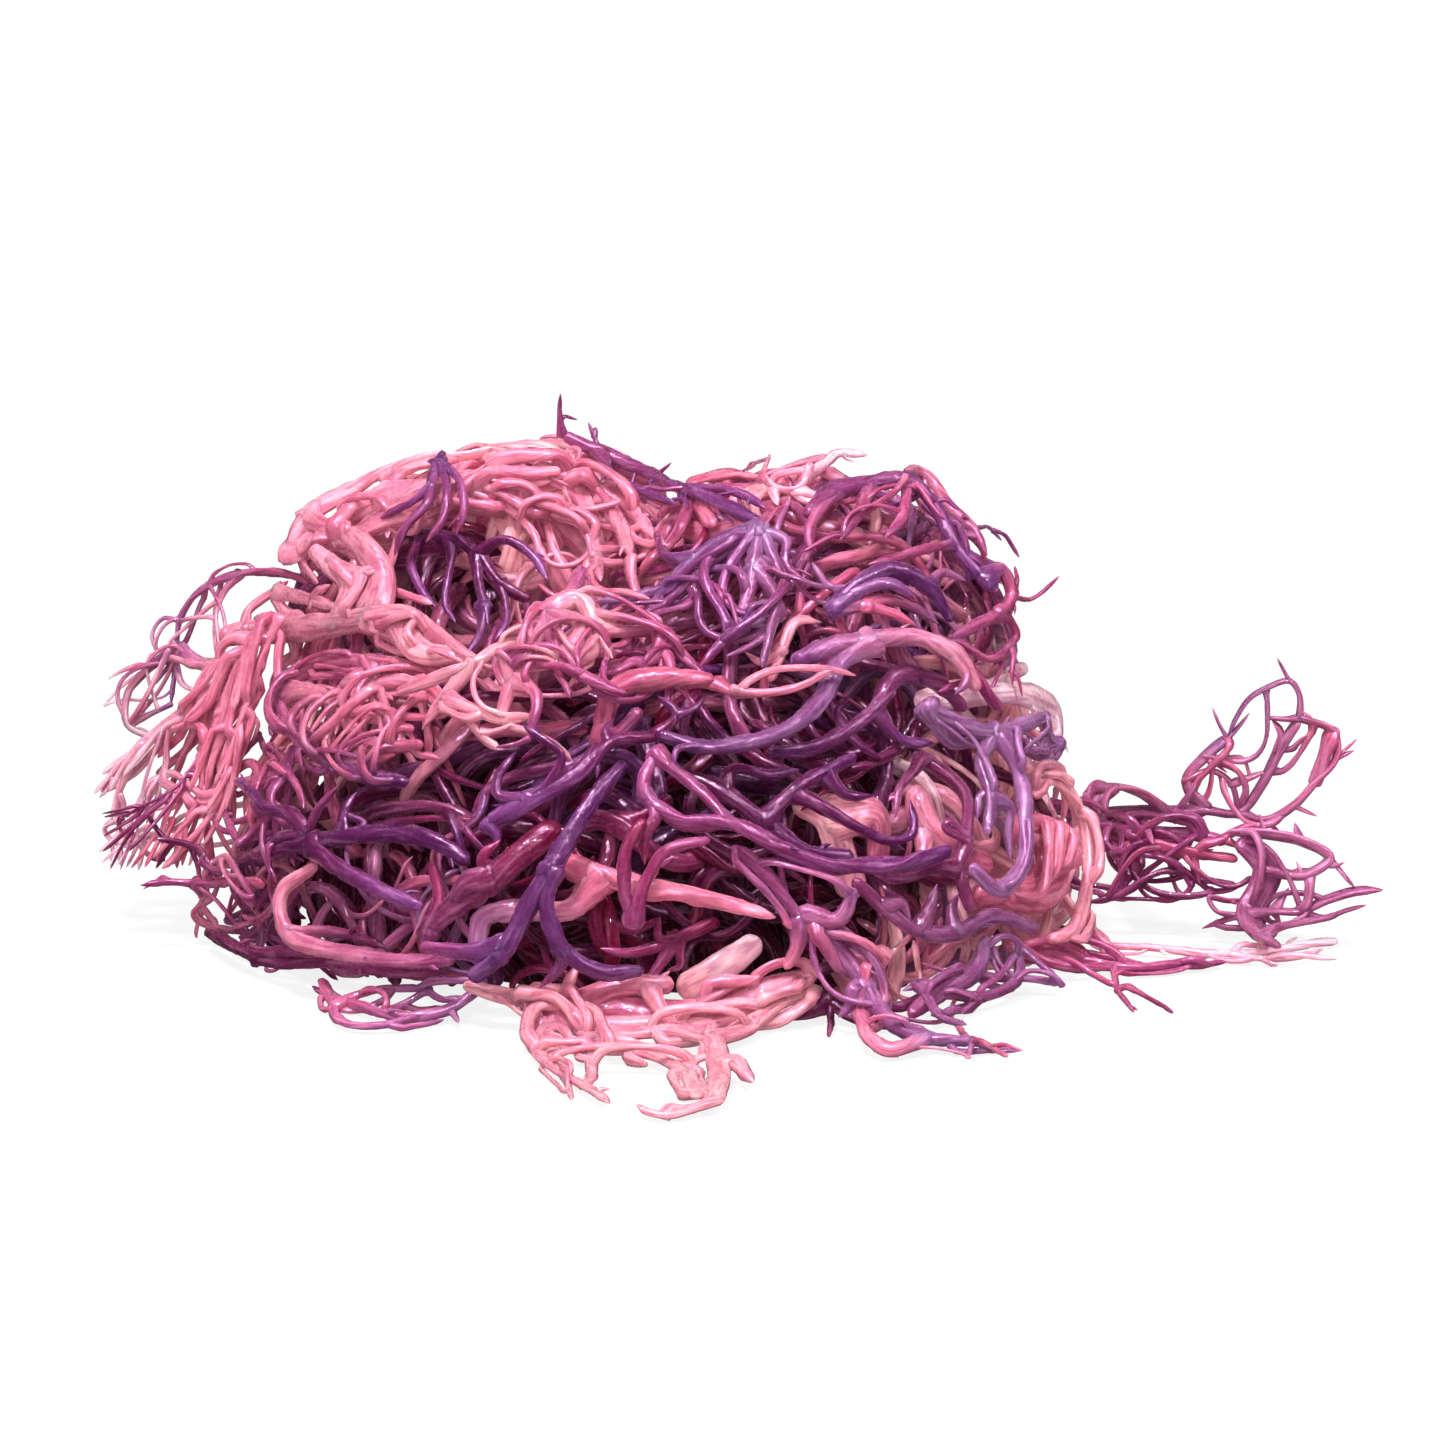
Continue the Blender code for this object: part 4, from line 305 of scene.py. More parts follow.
ZONE_SPOTS, ZONE_REACHES, ZONE_PAINTED_SHADE, ZONE_WIDTHS, ZONE_DENSITY, ZONE_COLOURS = zip(*ZONES)

# The heap's outline in the drawing plane. The thin strands of the mound keep inside it
OUTLINE = (
    (-108, 4), (-106.5, 21.6), (-99.6, 35.6), (-96, 51), (-103, 58), (-90, 74), (-87, 80), (-78.6, 87),
    (-67, 92), (-56, 94.7), (-43.7, 96.4), (-31.4, 96.4), (-22.7, 93), (-15.7, 89), (-8.7, 87.7), (0, 90.5),
    (8.7, 92), (19, 91), (26, 89.3), (35, 89), (42, 83), (49, 76), (51.5, 69), (54, 58), (55, 50),
    (59.4, 45), (63, 39), (65, 28.6), (68, 14.7), (67, 2.4), (61, -6.3), (43.7, -14.2), (26, -20.3),
    (8.7, -20.3), (-19, -14.2), (-54, -13.3), (-78.6, -11.6), (-97.8, -11.6), (-106.5, -4.6),
)

# Fronds with finer growth of their own: strands that bridge two places of the frond for each 100 mm of it,
# offshoots for each 100 mm, their widths, and the length of the offshoots
FINE_GROWTH = {
    "left_purple_loops": (7, 2, (0.9, 1.8), (3, 10)),
    "pink_tassel": (5, 16, (2.0, 3.8), (12, 30)),
    "trailing_root": (15, 3, (1.3, 2.6), (8, 20)),
    "trailing_leaf": (3, 1, (1.2, 2.2), (4, 10)),
    "trailing_high_loops": (2, 1, (1.2, 2.2), (3, 8)),
    "low_long_strands": (5, 4, (1.0, 2.0), (6, 26)),
    "low_pale_strand": (3, 3, (0.9, 1.6), (5, 14)),
    "left_floor_loops": (4, 2, (1.2, 2.2), (5, 14)),
    "front_floor_frond": (6, 1, (1.8, 3.4), (5, 12)),
    "bottom_right_frond": (6, 2, (1.2, 2.4), (5, 16)),
    "right_foot_frond": (6, 3, (1.0, 2.2), (5, 16)),
    "back_right_frond": (9, 4, (1.4, 3.2), (6, 18)),
    "left_fan_frond": (2, 1, (1.4, 2.8), (6, 14)),
    "pink_dome_frond": (8, 2, (1.6, 4.2), (10, 30)),
    "front_left_network": (13, 4, (1.0, 2.2), (5, 15)),
    "pale_hub_frond": (10, 4, (0.9, 2.0), (5, 15)),
    "left_blunt_strand": (5, 3, (1.0, 2.2), (6, 16)),
    "centre_fan_frond": (6, 3, (1.0, 2.2), (6, 18)),
    "right_arch_frond": (7, 4, (1.0, 2.2), (6, 16)),
    "right_outer_strand": (7, 2, (1.4, 2.8), (6, 16)),
    "right_pale_loop": (2, 1, (1.2, 2.4), (5, 14)),
    "right_violet_network": (4, 2, (1.0, 1.8), (5, 12)),
    "left_mauve_frond": (8, 4, (1.0, 2.0), (5, 16)),
    "left_pale_sticks": (6, 4, (0.9, 1.8), (5, 14)),
    "mauve_spiky_frond": (2, 5, (0.8, 1.4), (2, 6)),
    "hot_pink_frond": (8, 1, (1.8, 3.6), (6, 12)),
}
GROWTH_LENGTH = 100

# Fronds that hang free of the mound
HANGING = ("left_purple_loops", "pink_tassel", "trailing_root", "trailing_leaf", "trailing_high_loops")

# Fronds that thin strands tie to one another: the two, how many strands, and their widths
TIES = (("trailing_high_loops", "trailing_root", 7, (1.8, 3.0)),)

# Fronds whose fine growth runs straight, by how much of the usual angles and curls it keeps
STRAIGHT = {"pink_tassel": 0.35}

# How finely the strands are skinned: the space between rings, what a radian of bend adds, and sides
LEAST_STEP = 0.05
MAIN_RING = 1.15
SPINE_RING = 1.3
BEND_RINGS = 2.2
SPINE_SIDES = 5
SIDES_BY_RADIUS = ((0.7, 5), (1.05, 6), (1.35, 8), (1.8, 10), (math.inf, 12))
END_STEPS = np.array([0.03, 0.15, 0.45, 0.9])

# Ends thinner than this taper to a point, over this many radii, and thicker ones narrow before they round
POINTED_BELOW = 0.95
POINT_REACH = 4
THIN_POINT = 2.4
POINT_POWER = 0.6
LEAST_POINT = 0.1
BLUNT_REACH = 5
BLUNT_SHARE = 0.75
BLUNT_POWER = 0.8
LEAST_BLUNT = 0.12

# How a strand goes on inside what it is joined to: how far back and how thick, as shares of its radius
JOINT_RINGS = ((0.8, 0.16), (0.66, 0.56), (0.36, 0.88))

# Near a joint a strand takes the thickness and colour of what it is joined to, over so many mm
JOINT_SIZE = 1.1
SIZE_REACH = 3.5
TINT_REACH = 6

# Ridges and lumps along a strand, as shares of its radius
RIDGE_COUNTS = (3, 4, 5)
RIDGE_HEIGHT = 0.1
PITTING = 0.035
RIDGE_TWIST = 0.05
LUMP_HEIGHT = 0.11
LUMP_LENGTH = 14
LUMP_WAVES = 4

# How a strand's flatness changes and how it twists along it, with their lengths in mm
FLAT_CHANGE = 0.2
FLAT_LENGTH = 40
TWIST = 0.9
TWIST_LENGTH = 60
SLOW_WAVES = 2

# Each strand's streaks start somewhere else along them, within so many mm
GRAIN_SPREAD = 900

# The webs where a branch meets what it grows from, and the share of them that soft fronds have
LEAST_WEB = 0.15
WEB_SPREAD = 0.55
WEB_REACH = 2.1
SMOOTH_WEB = 0.35

# Spines along the main strands: their spacing, length and thickness, how they lean and bend, how deep
# they stand in the strand, and how their tints differ
SPINE_SPACING = (12, 40)
SPINE_LENGTH = (0.5, 1.7)
SPINE_THICKNESS = 0.42
SPINE_END_MARGIN = 2
SPINE_STRAY = 0.5
SPINE_LEAN = (0.3, 1.1)
SPINE_BEND = (0.1, 0.6)
SPINE_FOLD = 0.3
SPINE_SUNK = 0.3
SPINE_SIZES = (0.8, 1.3)
SPINE_TAPER = np.array([1.5, 1, 0.5])
SPINE_TINTS = (0.85, 1.1)
SPINE_FLATNESS = 0.8

# Thin strands between the main ones, in layers: how many, height over the mound, widths, length,
# and the space between rings
LAYERS = (
    (150, (-13.5, -8.5), (2.4, 3.6), 52, 3.2),
    (330, (-8.5, -4.5), (1.8, 3.3), 54, 2.4),
    (340, (-4.5, -1.5), (1.3, 3.2), 54, 1.7),
    (90, (-1.5, 1.0), (0.8, 1.9), 46, 1.5),
)
BACK_LAYER = (150, (0.5, 5), (1.3, 2.8), 52, 1.9)

# Layers from this height on have fewer strands where their zones say so
THINNED_ABOVE = -9

# How the strands of every layer run: their step, how often each step is fitted to its height, how they
# curl, the share of their length that is kept, how thin their tips are, and the fewest points of one
THIN_STEP = 2.0
THIN_FITS = 2
THIN_CURL = 0.08
MOST_CURL = 1.2
THIN_SHARES = (0.5, 1)
THIN_TAPER = (0.6, 0.9)
THIN_LEAST = 5

# Where they start: shares of the mound's height, and how far they stray from a spiral round it
START_HEIGHTS = (-0.32, 0.98)
START_STRAY = 0.4

# Where the thin strands sweep round a spot of the drawing plane: the spot, its reach, their curl and stray
SWEEPS = (((-50, 70), 38, 0.2, 0.16), ((-70, 60), 44, 0.3, 0.3), ((-8, 70), 14, 0.5, 0.6))

# How they sway to the side and up and down: how far, and how fast along their length
THIN_SWAY = 0.34
THIN_SWAYS = (0.3, 1)
THIN_WAVE = 1.7
THIN_PACE = (2, 7)

# Their branches: how many have one, its angle, length, curl, and thickness at root and tip
THIN_BRANCH_SHARE = 0.8
TWIG_ANGLE = (0.5, 1.0)
TWIG_ANGLE_CALM = 0.4
TWIG_SHARES = (0.45, 1)
TWIG_CURL = 1.3
TWIG_SIZE = (0.65, 0.95)
TWIG_TIP = 0.6

# How they are moved apart: the turns, how often and how far pairs are sought, the gap, the share of an
# overlap that a turn takes away, how much more that is from a main strand, the least distance that is
# divided by, and the steps in which main strands are followed for it
THIN_TURNS = 26
THIN_PAIR_TURNS = 6
NEAR_REACH = 4.6
THIN_GAP = 0.12
THIN_PUSH = 0.55
FIXED_PUSH = 1.6
LEAST_APART = 0.05
FIXED_STEP = 1.5

# Thin strands dip under others at their ends: how far down, over what share of their length
END_DIP = 4.5
DIP_SHARE = 0.3

# Thin strands pass behind the main strands that are seen, but for a few: cells of the drawing plane in mm
# and how many lie round the heap, the margin round a strand, how far in front is still moved behind, the
# depth that counts as one strand's, and over how many steps a move eases
OVER_SHARE = 0.14
CELL = 1.0
EDGE_CELLS = 4
MARGIN = 0.5
IN_FRONT = 16
SAME_DEPTH = 3
EASE_STEPS = 3
EASE_SHARE = 0.72

# Bridges between two places of a frond: how far they reach, how they bow, how they leave and meet
# their strands, their slack and fewest points, how much thinner their middle is, how thick they are
# at most for what they join, and how far a tie bows
BRIDGE_REACH = (5, 19)
BRIDGE_BOW = 0.3
MOST_BOW = 1.3
BRIDGE_SETBACK = (-0.05, 0.2)
LEAST_ALONG = 7
LEAVE_ALONG = 0.6
LEAVE_STRAIGHT = 0.2
LEAVE_REACH = 0.4
BRIDGE_SLACK = 1.15
LEAST_BRIDGE = 5
WAIST = 0.2
BRIDGE_MOST = (2.2, 2.4)
TIE_BOW = 0.2

# Offshoots: their step, how they leave, curl and drift in depth, how far they rise off the mound, how
# thick they are, their fewest points, and how they fork
SHOOT_STEP = 1.6
SHOOT_ANGLE = (0.25, 0.75)
SHOOT_TILT = 0.35
SHOOT_CURL = 0.07
SHOOT_SWAY = 0.16
SHOOT_PACE = (2, 6)
SHOOT_DRIFT = 0.08
DRIFT_SHARE = 0.2
SHOOT_LIFT = 1.0
SHOOT_MOST = 2.1
SHOOT_TAPER = (0.5, 0.8)
LEAST_SHOOT = 4
FORK_SHARE = 0.35
FORK_FROM = 7
FORK_ANGLE = (0.5, 0.9)
FORK_TAPER = (0.9, 0.5)

# Fine growth of a hanging frond stays in the frond's own box, with this margin. Elsewhere thin
# strands keep inside the outline: how many points have to, what share may lie outside, and above
# what height no bridge does
HANGING_MARGIN = 1.5
LEAST_INSIDE = 6
MOST_OUTSIDE = 0.2
HIGH_ABOVE = 40

# Thin strands this much wider than usual are flat. No surface goes below the floor
BROAD_FROM = 1.6
BROAD_FLATNESS = 0.5
FLOOR_LEAST = 0.02

# Soft fronds keep this share of the unevenness, and deep strands this share of the gloss
SMOOTH_SHARE = 0.3
GLOSS_DEPTHS = (-11, -3)
DEEP_GLOSS = 0.3

# Behind this depth thin strands don't sweep and aren't thinned out, and the back's begin
BEHIND_FROM = 12

# How fast a zone's share falls off, and the space between rings of fine growth and of inner strands
ZONE_FALL = 1.4
FINE_RING = 1.6
INNER_RING = 2.4

# Deep strands take painted shade, darker the deeper they lie: shades at three heights over the mound,
# and the height and the painted shade of a zone below and above which strands take the dark colours
# of painted shade
PAINTED_SHADE_DEPTHS = (-13, -6, -1)
PAINTED_SHADES = (0.2, 0.48, 1.0)
SHADE_COLOURS_BELOW = -8
SHADE_COLOURS = ("wine", "black_wine")
DEEP_PARTS = 0.55

# The colours that go in each slot
SLOT_COLOURS = {
    "deep_purple": ("black_wine", "plum"),
    "violet": ("deep_violet", "violet", "lilac"),
    "mauve": ("mauve", "dusk"),
    "magenta": ("magenta", "wine"),
    "rose": ("rose", "coral"),
    "salmon": ("salmon",),
    "pale_pink": ("peach", "pale_pink"),
}
SLOT_OF = {colour: slot for slot, colours in SLOT_COLOURS.items() for colour in colours}

# The slot of a frond without a drawn route, where it isn't mauve
UNDRAWN_SLOTS = {"inner_tangle": "deep_purple"}

# The core's lumps: points round and up them, how near their poles they close, and their knots
CORE_AROUND = 40
CORE_UP = 24
CORE_CLOSES = 0.995
KNOT_HEIGHT = 0.05
KNOTS_ROUND = (9, 5)
KNOTS_UP = (7, 11)

# The wet surface: noise scales for each mm across and along the strand, relief in mm and colours
STREAK_SCALE = (1.5, 1.5, 0.16)
SPECK_SCALE = (1.3, 1.3, 0.8)
BLOTCH_SCALE = (0.25, 0.25, 0.12)
STREAK_RELIEF = 0.07
SPECK_RELIEF = 0.1
GLOSS_RELIEF = 0.36
NOISE_DETAIL = 2
SPECK_BAND = (0.3, 0.7)
GROOVE_BAND = (0.38, 0.5)
RIDGE_BAND = (0.52, 0.66)
BLOTCH_BAND = (0.5, 0.75)
# Grooves take painted shade, a darker copy of the colour, which blotches take too as a tone of their own
GROOVE_SHADE_AND_BLOTCH_TINT = (0.76, 0.55, 0.68, 1)
# Ridges take a painted highlight: a lighter copy of the colour, with a share of milky film
FILM_TINT = (0.7, 0.5, 0.62, 1)
FILM_SHARE = 0.07
PAINTED_HIGHLIGHT_TINT = (1.2, 1.18, 1.16, 1)
ROUGHNESS = (0.2, 0.36)
# Edges turned from the eye take a painted sheen: the lighter copy mixed towards a pale tint
RIM_BAND = (0.45, 1.0, 0, 0.8)
RIM_BLEND = 0.35
RIM_SHEEN_TINT = (0.75, 0.5, 0.66, 1)
RIM_SHEEN_SHARE = 0.14
SURFACE = {
    "Subsurface Weight": 0.6,
    "Subsurface Radius": (1.0, 0.4, 0.55),
    "Subsurface Scale": 0.0025,
    "Specular IOR Level": 0.45,
    "Specular Tint": (0.9, 0.6, 0.85, 1),
    "Coat Roughness": 0.07,
    "Coat IOR": 1.35,
    # A faint glow in the strand's own colour: painted light that lifts its shade, as light through the strand
    # would
    "Emission Strength": 0.15,
}

# The studio, in metres and watts. The table mostly glows, and wholly so away from the heap. It lights
# the heap by a share of what the camera sees, and wet surfaces hardly mirror it or the surround
TABLE_SIZE = 12
TABLE_TOP = -0.0002
TABLE_COLOUR = (0.92, 0.91, 0.915, 1)
TABLE_ROUGHNESS = 0.6
TABLE_FADE = (0.08, 0.26)
TABLE_GLOW = 0.84
TABLE_LIGHTS = 0.45
SURROUND_LIGHT = 0.58
SURROUND_SEEN = 1.0
SURROUND_MIRRORED = 0.025
TABLE_UNMIRRORED = 0.97

# Each light's name, place, what it is turned to, width, power, whether wet surfaces mirror it, and
# whether it lights them. The mirrored ones take the wet film's faint violet
LIGHTS = (
    ("key", (-0.22, -0.25, 1.08), (0, 0, 0.04), 0.22, 14, False, True),
    ("right", (0.5, -0.35, 0.85), (0.02, 0, 0.04), 0.14, 5.5, False, True),
    ("front", (-0.4, -1.0, 0.6), (0, 0, 0.05), 0.6, 7, False, True),
    ("key_glints", (-0.22, -0.25, 1.08), (0, 0, 0.04), 0.18, 14, True, False),
    ("right_glints", (0.5, -0.35, 0.85), (0.02, 0, 0.04), 0.12, 5.5, True, False),
    ("front_glints", (0.05, -0.55, 1.0), (0, 0, 0.05), 0.07, 12, True, False),
)
GLINT_COLOUR = (1, 0.78, 0.95)

# The camera: its sensor in mm, and the width and the middle of the drawing plane that it frames
SENSOR = 36
FRAME_WIDTH = 289
FRAME_MIDDLE = (-4.5, 40.5)
CLIP = (0.05, 20)


def strand(root, tip, lift, points, barbs=0):
    """One strand: its thickness at both ends, its height above the mound, its route and its barbs.

    The height is one value, or three for the root, the middle and the tip.
    """
    return {"root": root, "tip": tip, "lift": lift, "points": points, "barbs": barbs}


# Each frond is one piece of the plant: a first strand, and the strands that branch from it
FRONDS = {
    "left_purple_loops": ("mauve", [
        strand(2.4, 1.3, 0, [(-84, 65, 18), (-91, 69, 25), (-100, 70, 30), (-106, 68.5, 32), (-111, 65, 33),
            (-113.5, 60, 33), (-114, 53, 31), (-115, 44, 28)], 1),
        strand(1.0, 0.9, 0, [(-112, 63, 33), (-117, 61, 34), (-119, 57, 34), (-118, 55, 33),
            (-114.5, 54, 31)]),
        strand(2.6, 1.6, 0, [(-114, 53, 31), (-118.5, 52, 32), (-121.5, 49, 32), (-124, 45.5, 31),
            (-124.5, 41.5, 30), (-122, 38.5, 29), (-118, 37, 28)], 1),
        strand(2.4, 2.0, 0, [(-114, 53, 31), (-109, 52, 27), (-103, 52, 21), (-97, 51, 12)]),
        strand(1.5, 1.1, 0, [(-123.5, 42, 30), (-118, 42.5, 29), (-115, 44, 28)]),
        strand(1.1, 0.7, 0, [(-120.5, 50.5, 32), (-125, 47.5, 33), (-128.3, 44, 33)]),
        strand(1.7, 1.2, 0, [(-102, 69.5, 31), (-105, 65, 30), (-106, 60, 27), (-104, 54, 22)]),
    ]),
    "pink_tassel": ("salmon", [
        strand(3.0, 1.6, 0, [(-94, 61, 4), (-99, 55, 4), (-103, 47, 1), (-106, 38, -2), (-108, 30, -4),
            (-109.5, 24, -6), (-113, 18, -8)]),
        strand(2.6, 1.4, 0, [(-97, 58, 4), (-104, 51, 5), (-107, 42, 4), (-109, 34, 1), (-111.5, 27, -2),
            (-114.5, 21, -5)]),
        strand(2.8, 1.3, 0, [(-94, 61, 4), (-96, 52, 0), (-99.5, 43, -4), (-102, 34, -7), (-104.5, 27, -9),
            (-108, 21.5, -10)]),
        strand(1.7, 1.4, 0, [(-107, 43, 4), (-113, 42, 7), (-118, 37, 8), (-122, 33.5, 8),
            (-124.3, 28.5, 7), (-126, 23.5, 6), (-125.3, 19.8, 4), (-121.5, 18, 2), (-117, 18.6, 0),
            (-111.5, 22.5, -4)]),
        strand(1.4, 1.1, 0, [(-126, 22, 6), (-128.3, 18.6, 6), (-126.5, 16.6, 5), (-123.5, 15.7, 4),
            (-121.5, 17.8, 2)]),
        strand(2.2, 1.2, 0, [(-113, 41.5, 7), (-115.5, 37, 5), (-116, 31.5, 3), (-118.5, 26.5, 3),
            (-121, 22.5, 3)]),
        strand(1.2, 0.9, 0, [(-109, 30.5, -4), (-114, 27.3, -6), (-119, 24.3, -7), (-124.8, 21.2, -8)]),
        strand(1.4, 0.9, 0, [(-112.5, 18.5, -8), (-115, 15, -9), (-117, 12, -9)]),
        strand(1.3, 1.0, 0, [(-110, 27, -4), (-113.5, 24, -3), (-117, 25.2, 0)]),
    ]),
    "left_fan_frond": ("salmon", [
        strand(3.6, 3.2, 7, [(-106, 57.5, 8), (-98, 58.5), (-90, 59.3), (-80, 60), (-71, 61), (-66, 59.5),
            (-61, 55.5), (-56, 52.2), (-51.5, 50)]),
        strand(4.4, 2.6, 8, [(-71, 60), (-67.5, 56), (-63.5, 53), (-58, 51.6)]),
        strand(3.0, 1.8, 5, [(-76, 59.5), (-70, 57), (-66.5, 54), (-64, 51.5)]),
        strand(2.6, 1.4, 8, [(-103, 58.5), (-100, 62.5), (-95.5, 65.8), (-92, 69)]),
        strand(2.0, 1.4, 7, [(-96, 65), (-92.5, 62.5), (-88, 61.5)]),
        strand(2.2, 1.4, 7, [(-94, 66), (-88, 65.3), (-82, 63.5)]),
        strand(4.8, 3.0, 7, [(-74, 61), (-73, 67), (-75, 73), (-80, 78)]),
        strand(3.6, 2.2, 7, [(-79, 60.5), (-79, 66), (-82, 71), (-86.5, 75.5)]),
        strand(2.2, 1.6, 7, [(-80, 73), (-77, 70.5), (-73.5, 71)]),
        strand(2.2, 1.4, 5, [(-90, 59), (-91, 55), (-94, 51), (-95, 46)]),
    ]),
    "pink_dome_frond": ("salmon", [
        strand(3.4, 2.8, 2, [(-91.5, 74), (-89, 79.5), (-83, 83.5), (-76, 88), (-70, 91), (-64, 92.6),
            (-58, 93.3), (-52, 95), (-45, 96), (-38, 96), (-32, 93.5)]),
        strand(4.6, 3.0, 4, [(-88.5, 72), (-84.5, 77), (-78, 83), (-70, 87), (-60, 89.6), (-50, 91),
            (-41, 91), (-34, 88)]),
        strand(4.0, 2.4, 5, [(-84, 70), (-80, 76.5), (-72, 82), (-62, 86), (-53, 87.8), (-45, 87.5),
            (-38, 85)]),
        strand(3.2, 1.8, 4, [(-80, 76.5), (-75, 77.5), (-69, 80.5), (-62, 82.6)]),
        strand(3.0, 2.0, 4, [(-84, 82.5), (-82, 77), (-77, 72.5), (-74, 68)]),
        strand(2.6, 1.8, 5, [(-72, 89.5), (-71, 83), (-71.5, 77)]),
        strand(2.6, 1.8, 3, [(-88.5, 78), (-87.5, 72), (-84, 67)]),
        strand(3.4, 1.8, 5, [(-41, 91), (-33, 90.5), (-28, 86), (-25, 80), (-23, 74)]),
        strand(2.8, 1.5, 4, [(-30, 88.5), (-24, 85), (-20, 80), (-16, 76.5)]),
        strand(2.6, 1.5, 5, [(-35, 89), (-31, 82), (-30.3, 75), (-29, 69)]),
        strand(2.4, 1.5, 6, [(-45, 87.5), (-40, 83), (-34, 81.5), (-30.5, 76)]),
        strand(2.0, 1.2, 4, [(-53, 87.8), (-48, 84), (-43, 79), (-41, 74)]),
    ]),
    "mauve_tuft": ("mauve", [
        strand(2.2, 1.8, (3, 9, 5), [(-60, 93), (-62, 89), (-63.5, 84), (-68, 78.5), (-70, 73)]),
        strand(2.0, 1.6, (3, 9, 6), [(-60.5, 92), (-59.5, 87), (-60, 81), (-63.5, 75.5)]),
        strand(2.0, 1.4, (3, 9, 5), [(-60.5, 92), (-57, 88), (-56, 82), (-57.5, 77)]),
        strand(1.8, 1.4, (3, 8, 6), [(-63, 86), (-66.5, 84), (-73, 80.5)]),
    ]),
    "dark_hollow_frond": ("deep_purple", [
        strand(3.0, 2.2, (-3, 2, 2), [(-70, 77), (-65, 78), (-59, 77.5), (-54.5, 75.5), (-52, 71.5),
            (-48, 67.5), (-43, 65)]),
        strand(2.4, 1.6, 2, [(-55, 76), (-53.5, 70), (-52.5, 65), (-51.5, 60)]),
        strand(2.2, 1.6, 1, [(-52.6, 66), (-51, 61), (-54, 57), (-56, 53.5)]),
        strand(2.4, 1.6, 4, [(-56, 76), (-50, 77), (-46, 76.5), (-42, 73.5), (-39.5, 69)]),
        strand(2.2, 1.5, 3, [(-65, 78), (-67, 73), (-65.5, 68), (-62, 63.5)]),
        strand(1.8, 1.3, 1, [(-48, 67.5), (-47.5, 62), (-50, 57)]),
        strand(1.8, 1.3, 2, [(-59, 77.5), (-59, 71), (-60.5, 65.5), (-58, 60.5)]),
    ]),
    "mauve_spiky_frond": ("mauve", [
        strand(2.8, 2.6, 4, [(-37, 97.5), (-31, 95), (-25, 92), (-20, 90.5), (-15, 88), (-10, 86.6),
            (-4, 84), (3, 80.5)], 2),
        strand(1.5, 0.8, 3, [(-36.5, 97), (-37.5, 101), (-37.4, 106)]),
        strand(1.3, 0.8, 3, [(-32, 95.5), (-31.8, 100.4)]),
        strand(2.4, 1.8, 5, [(-31, 95), (-27, 89.5), (-21, 86.5), (-14, 84)], 1),
        strand(2.2, 1.6, 3, [(-12, 87), (-7, 87.5), (-1, 86.5), (4, 83.5)]),
    ]),
    "back_right_frond": ("rose", [
        strand(2.6, 1.8, 1, [(-12, 88.5), (-4, 90.3), (3, 90), (8, 91.5), (13, 93), (19, 94)]),
        strand(1.3, 0.8, 1, [(4, 90), (5, 94.5)]),
        strand(2.2, 1.4, 2, [(4, 90), (9, 87), (14, 91), (19, 94.5), (24.5, 94.3)]),
        strand(2.0, 1.4, 2, [(9, 87), (14, 86.5), (20, 88)]),
    ]),
    "centre_fan_frond": ("mauve", [
        strand(3.4, 2.2, 6, [(3, 79), (2, 74), (1.5, 68), (-1, 62), (-3, 57)]),
        strand(3.0, 2.0, 6, [(1.5, 68), (6, 66), (8, 63), (5.5, 60.5), (0, 59.5)]),
        strand(3.0, 1.8, 5, [(3, 79), (-3, 77.5), (-8, 75.5), (-12, 70.5), (-17, 67), (-23, 65.5),
            (-30, 64.5)]),
        strand(2.6, 1.6, 6, [(3, 79), (-2, 75.5), (-6, 74.5), (-9, 70), (-11, 64.5)]),
        strand(2.4, 1.6, 7, [(3, 79), (-1, 75), (-4, 70), (-4.5, 63)]),
        strand(2.4, 1.6, 6, [(3, 79), (5.5, 75), (6.5, 71), (9, 67)]),
        strand(2.2, 1.4, 5, [(3, 79), (8, 77), (8, 72.5), (12, 68.5)]),
        strand(2.2, 1.4, 5, [(-12, 70.5), (-16, 74), (-17.5, 78)]),
        strand(2.2, 1.5, 4, [(-14, 68.5), (-19, 63), (-26, 60.5)]),
        strand(2.0, 1.4, 5, [(-9, 70), (-15, 65), (-20, 60.8)]),
        strand(2.0, 1.4, 5, [(0, 59.5), (-5, 55), (-9, 50.5)]),
    ]),
    "right_arch_frond": ("violet", [
        strand(3.8, 3.0, 4, [(12, 82), (18, 87), (25, 88.5), (31, 89), (36, 86.5), (40, 81), (43, 74.5),
            (48, 69)]),
        strand(2.8, 1.8, 4, [(31, 89), (34, 91.3), (37.5, 88.5), (42, 83), (46, 79), (48.5, 74)], 2),
        strand(1.2, 0.8, 4, [(46, 79), (49, 79.5), (51.5, 77)]),
        strand(2.6, 1.8, 6, [(25, 88), (22.5, 82), (19, 77)]),
        strand(2.6, 1.8, 5, [(18, 86.5), (13, 80), (13, 75)]),
        strand(2.4, 1.6, 6, [(34, 88), (31.5, 82), (28, 77.5)]),
        strand(3.0, 2.0, 4, [(46, 71), (51, 71), (53.5, 67.5), (52, 63.5), (47, 60.5), (41, 57)]),
        strand(1.3, 0.8, 3, [(53.3, 66), (54.5, 69), (54, 72)]),
        strand(2.4, 1.6, 3, [(52, 63.5), (54.5, 59), (52, 55), (49.5, 52)]),
        strand(1.4, 0.8, 3, [(53, 64), (58, 65.5), (63, 70)]),
        strand(2.2, 1.6, 6, [(41, 79), (37, 75.5), (31, 73.5), (25, 72)]),
    ]),
    "right_striped_frond": ("rose", [
        strand(4.2, 2.6, 6, [(17, 63), (21, 66.5), (25, 70), (30, 71), (34.5, 69.5), (38, 65.5),
            (41, 60.5)]),
        strand(2.8, 1.8, 8, [(20, 65.5), (25, 67.8), (30, 67.8), (34, 65)]),
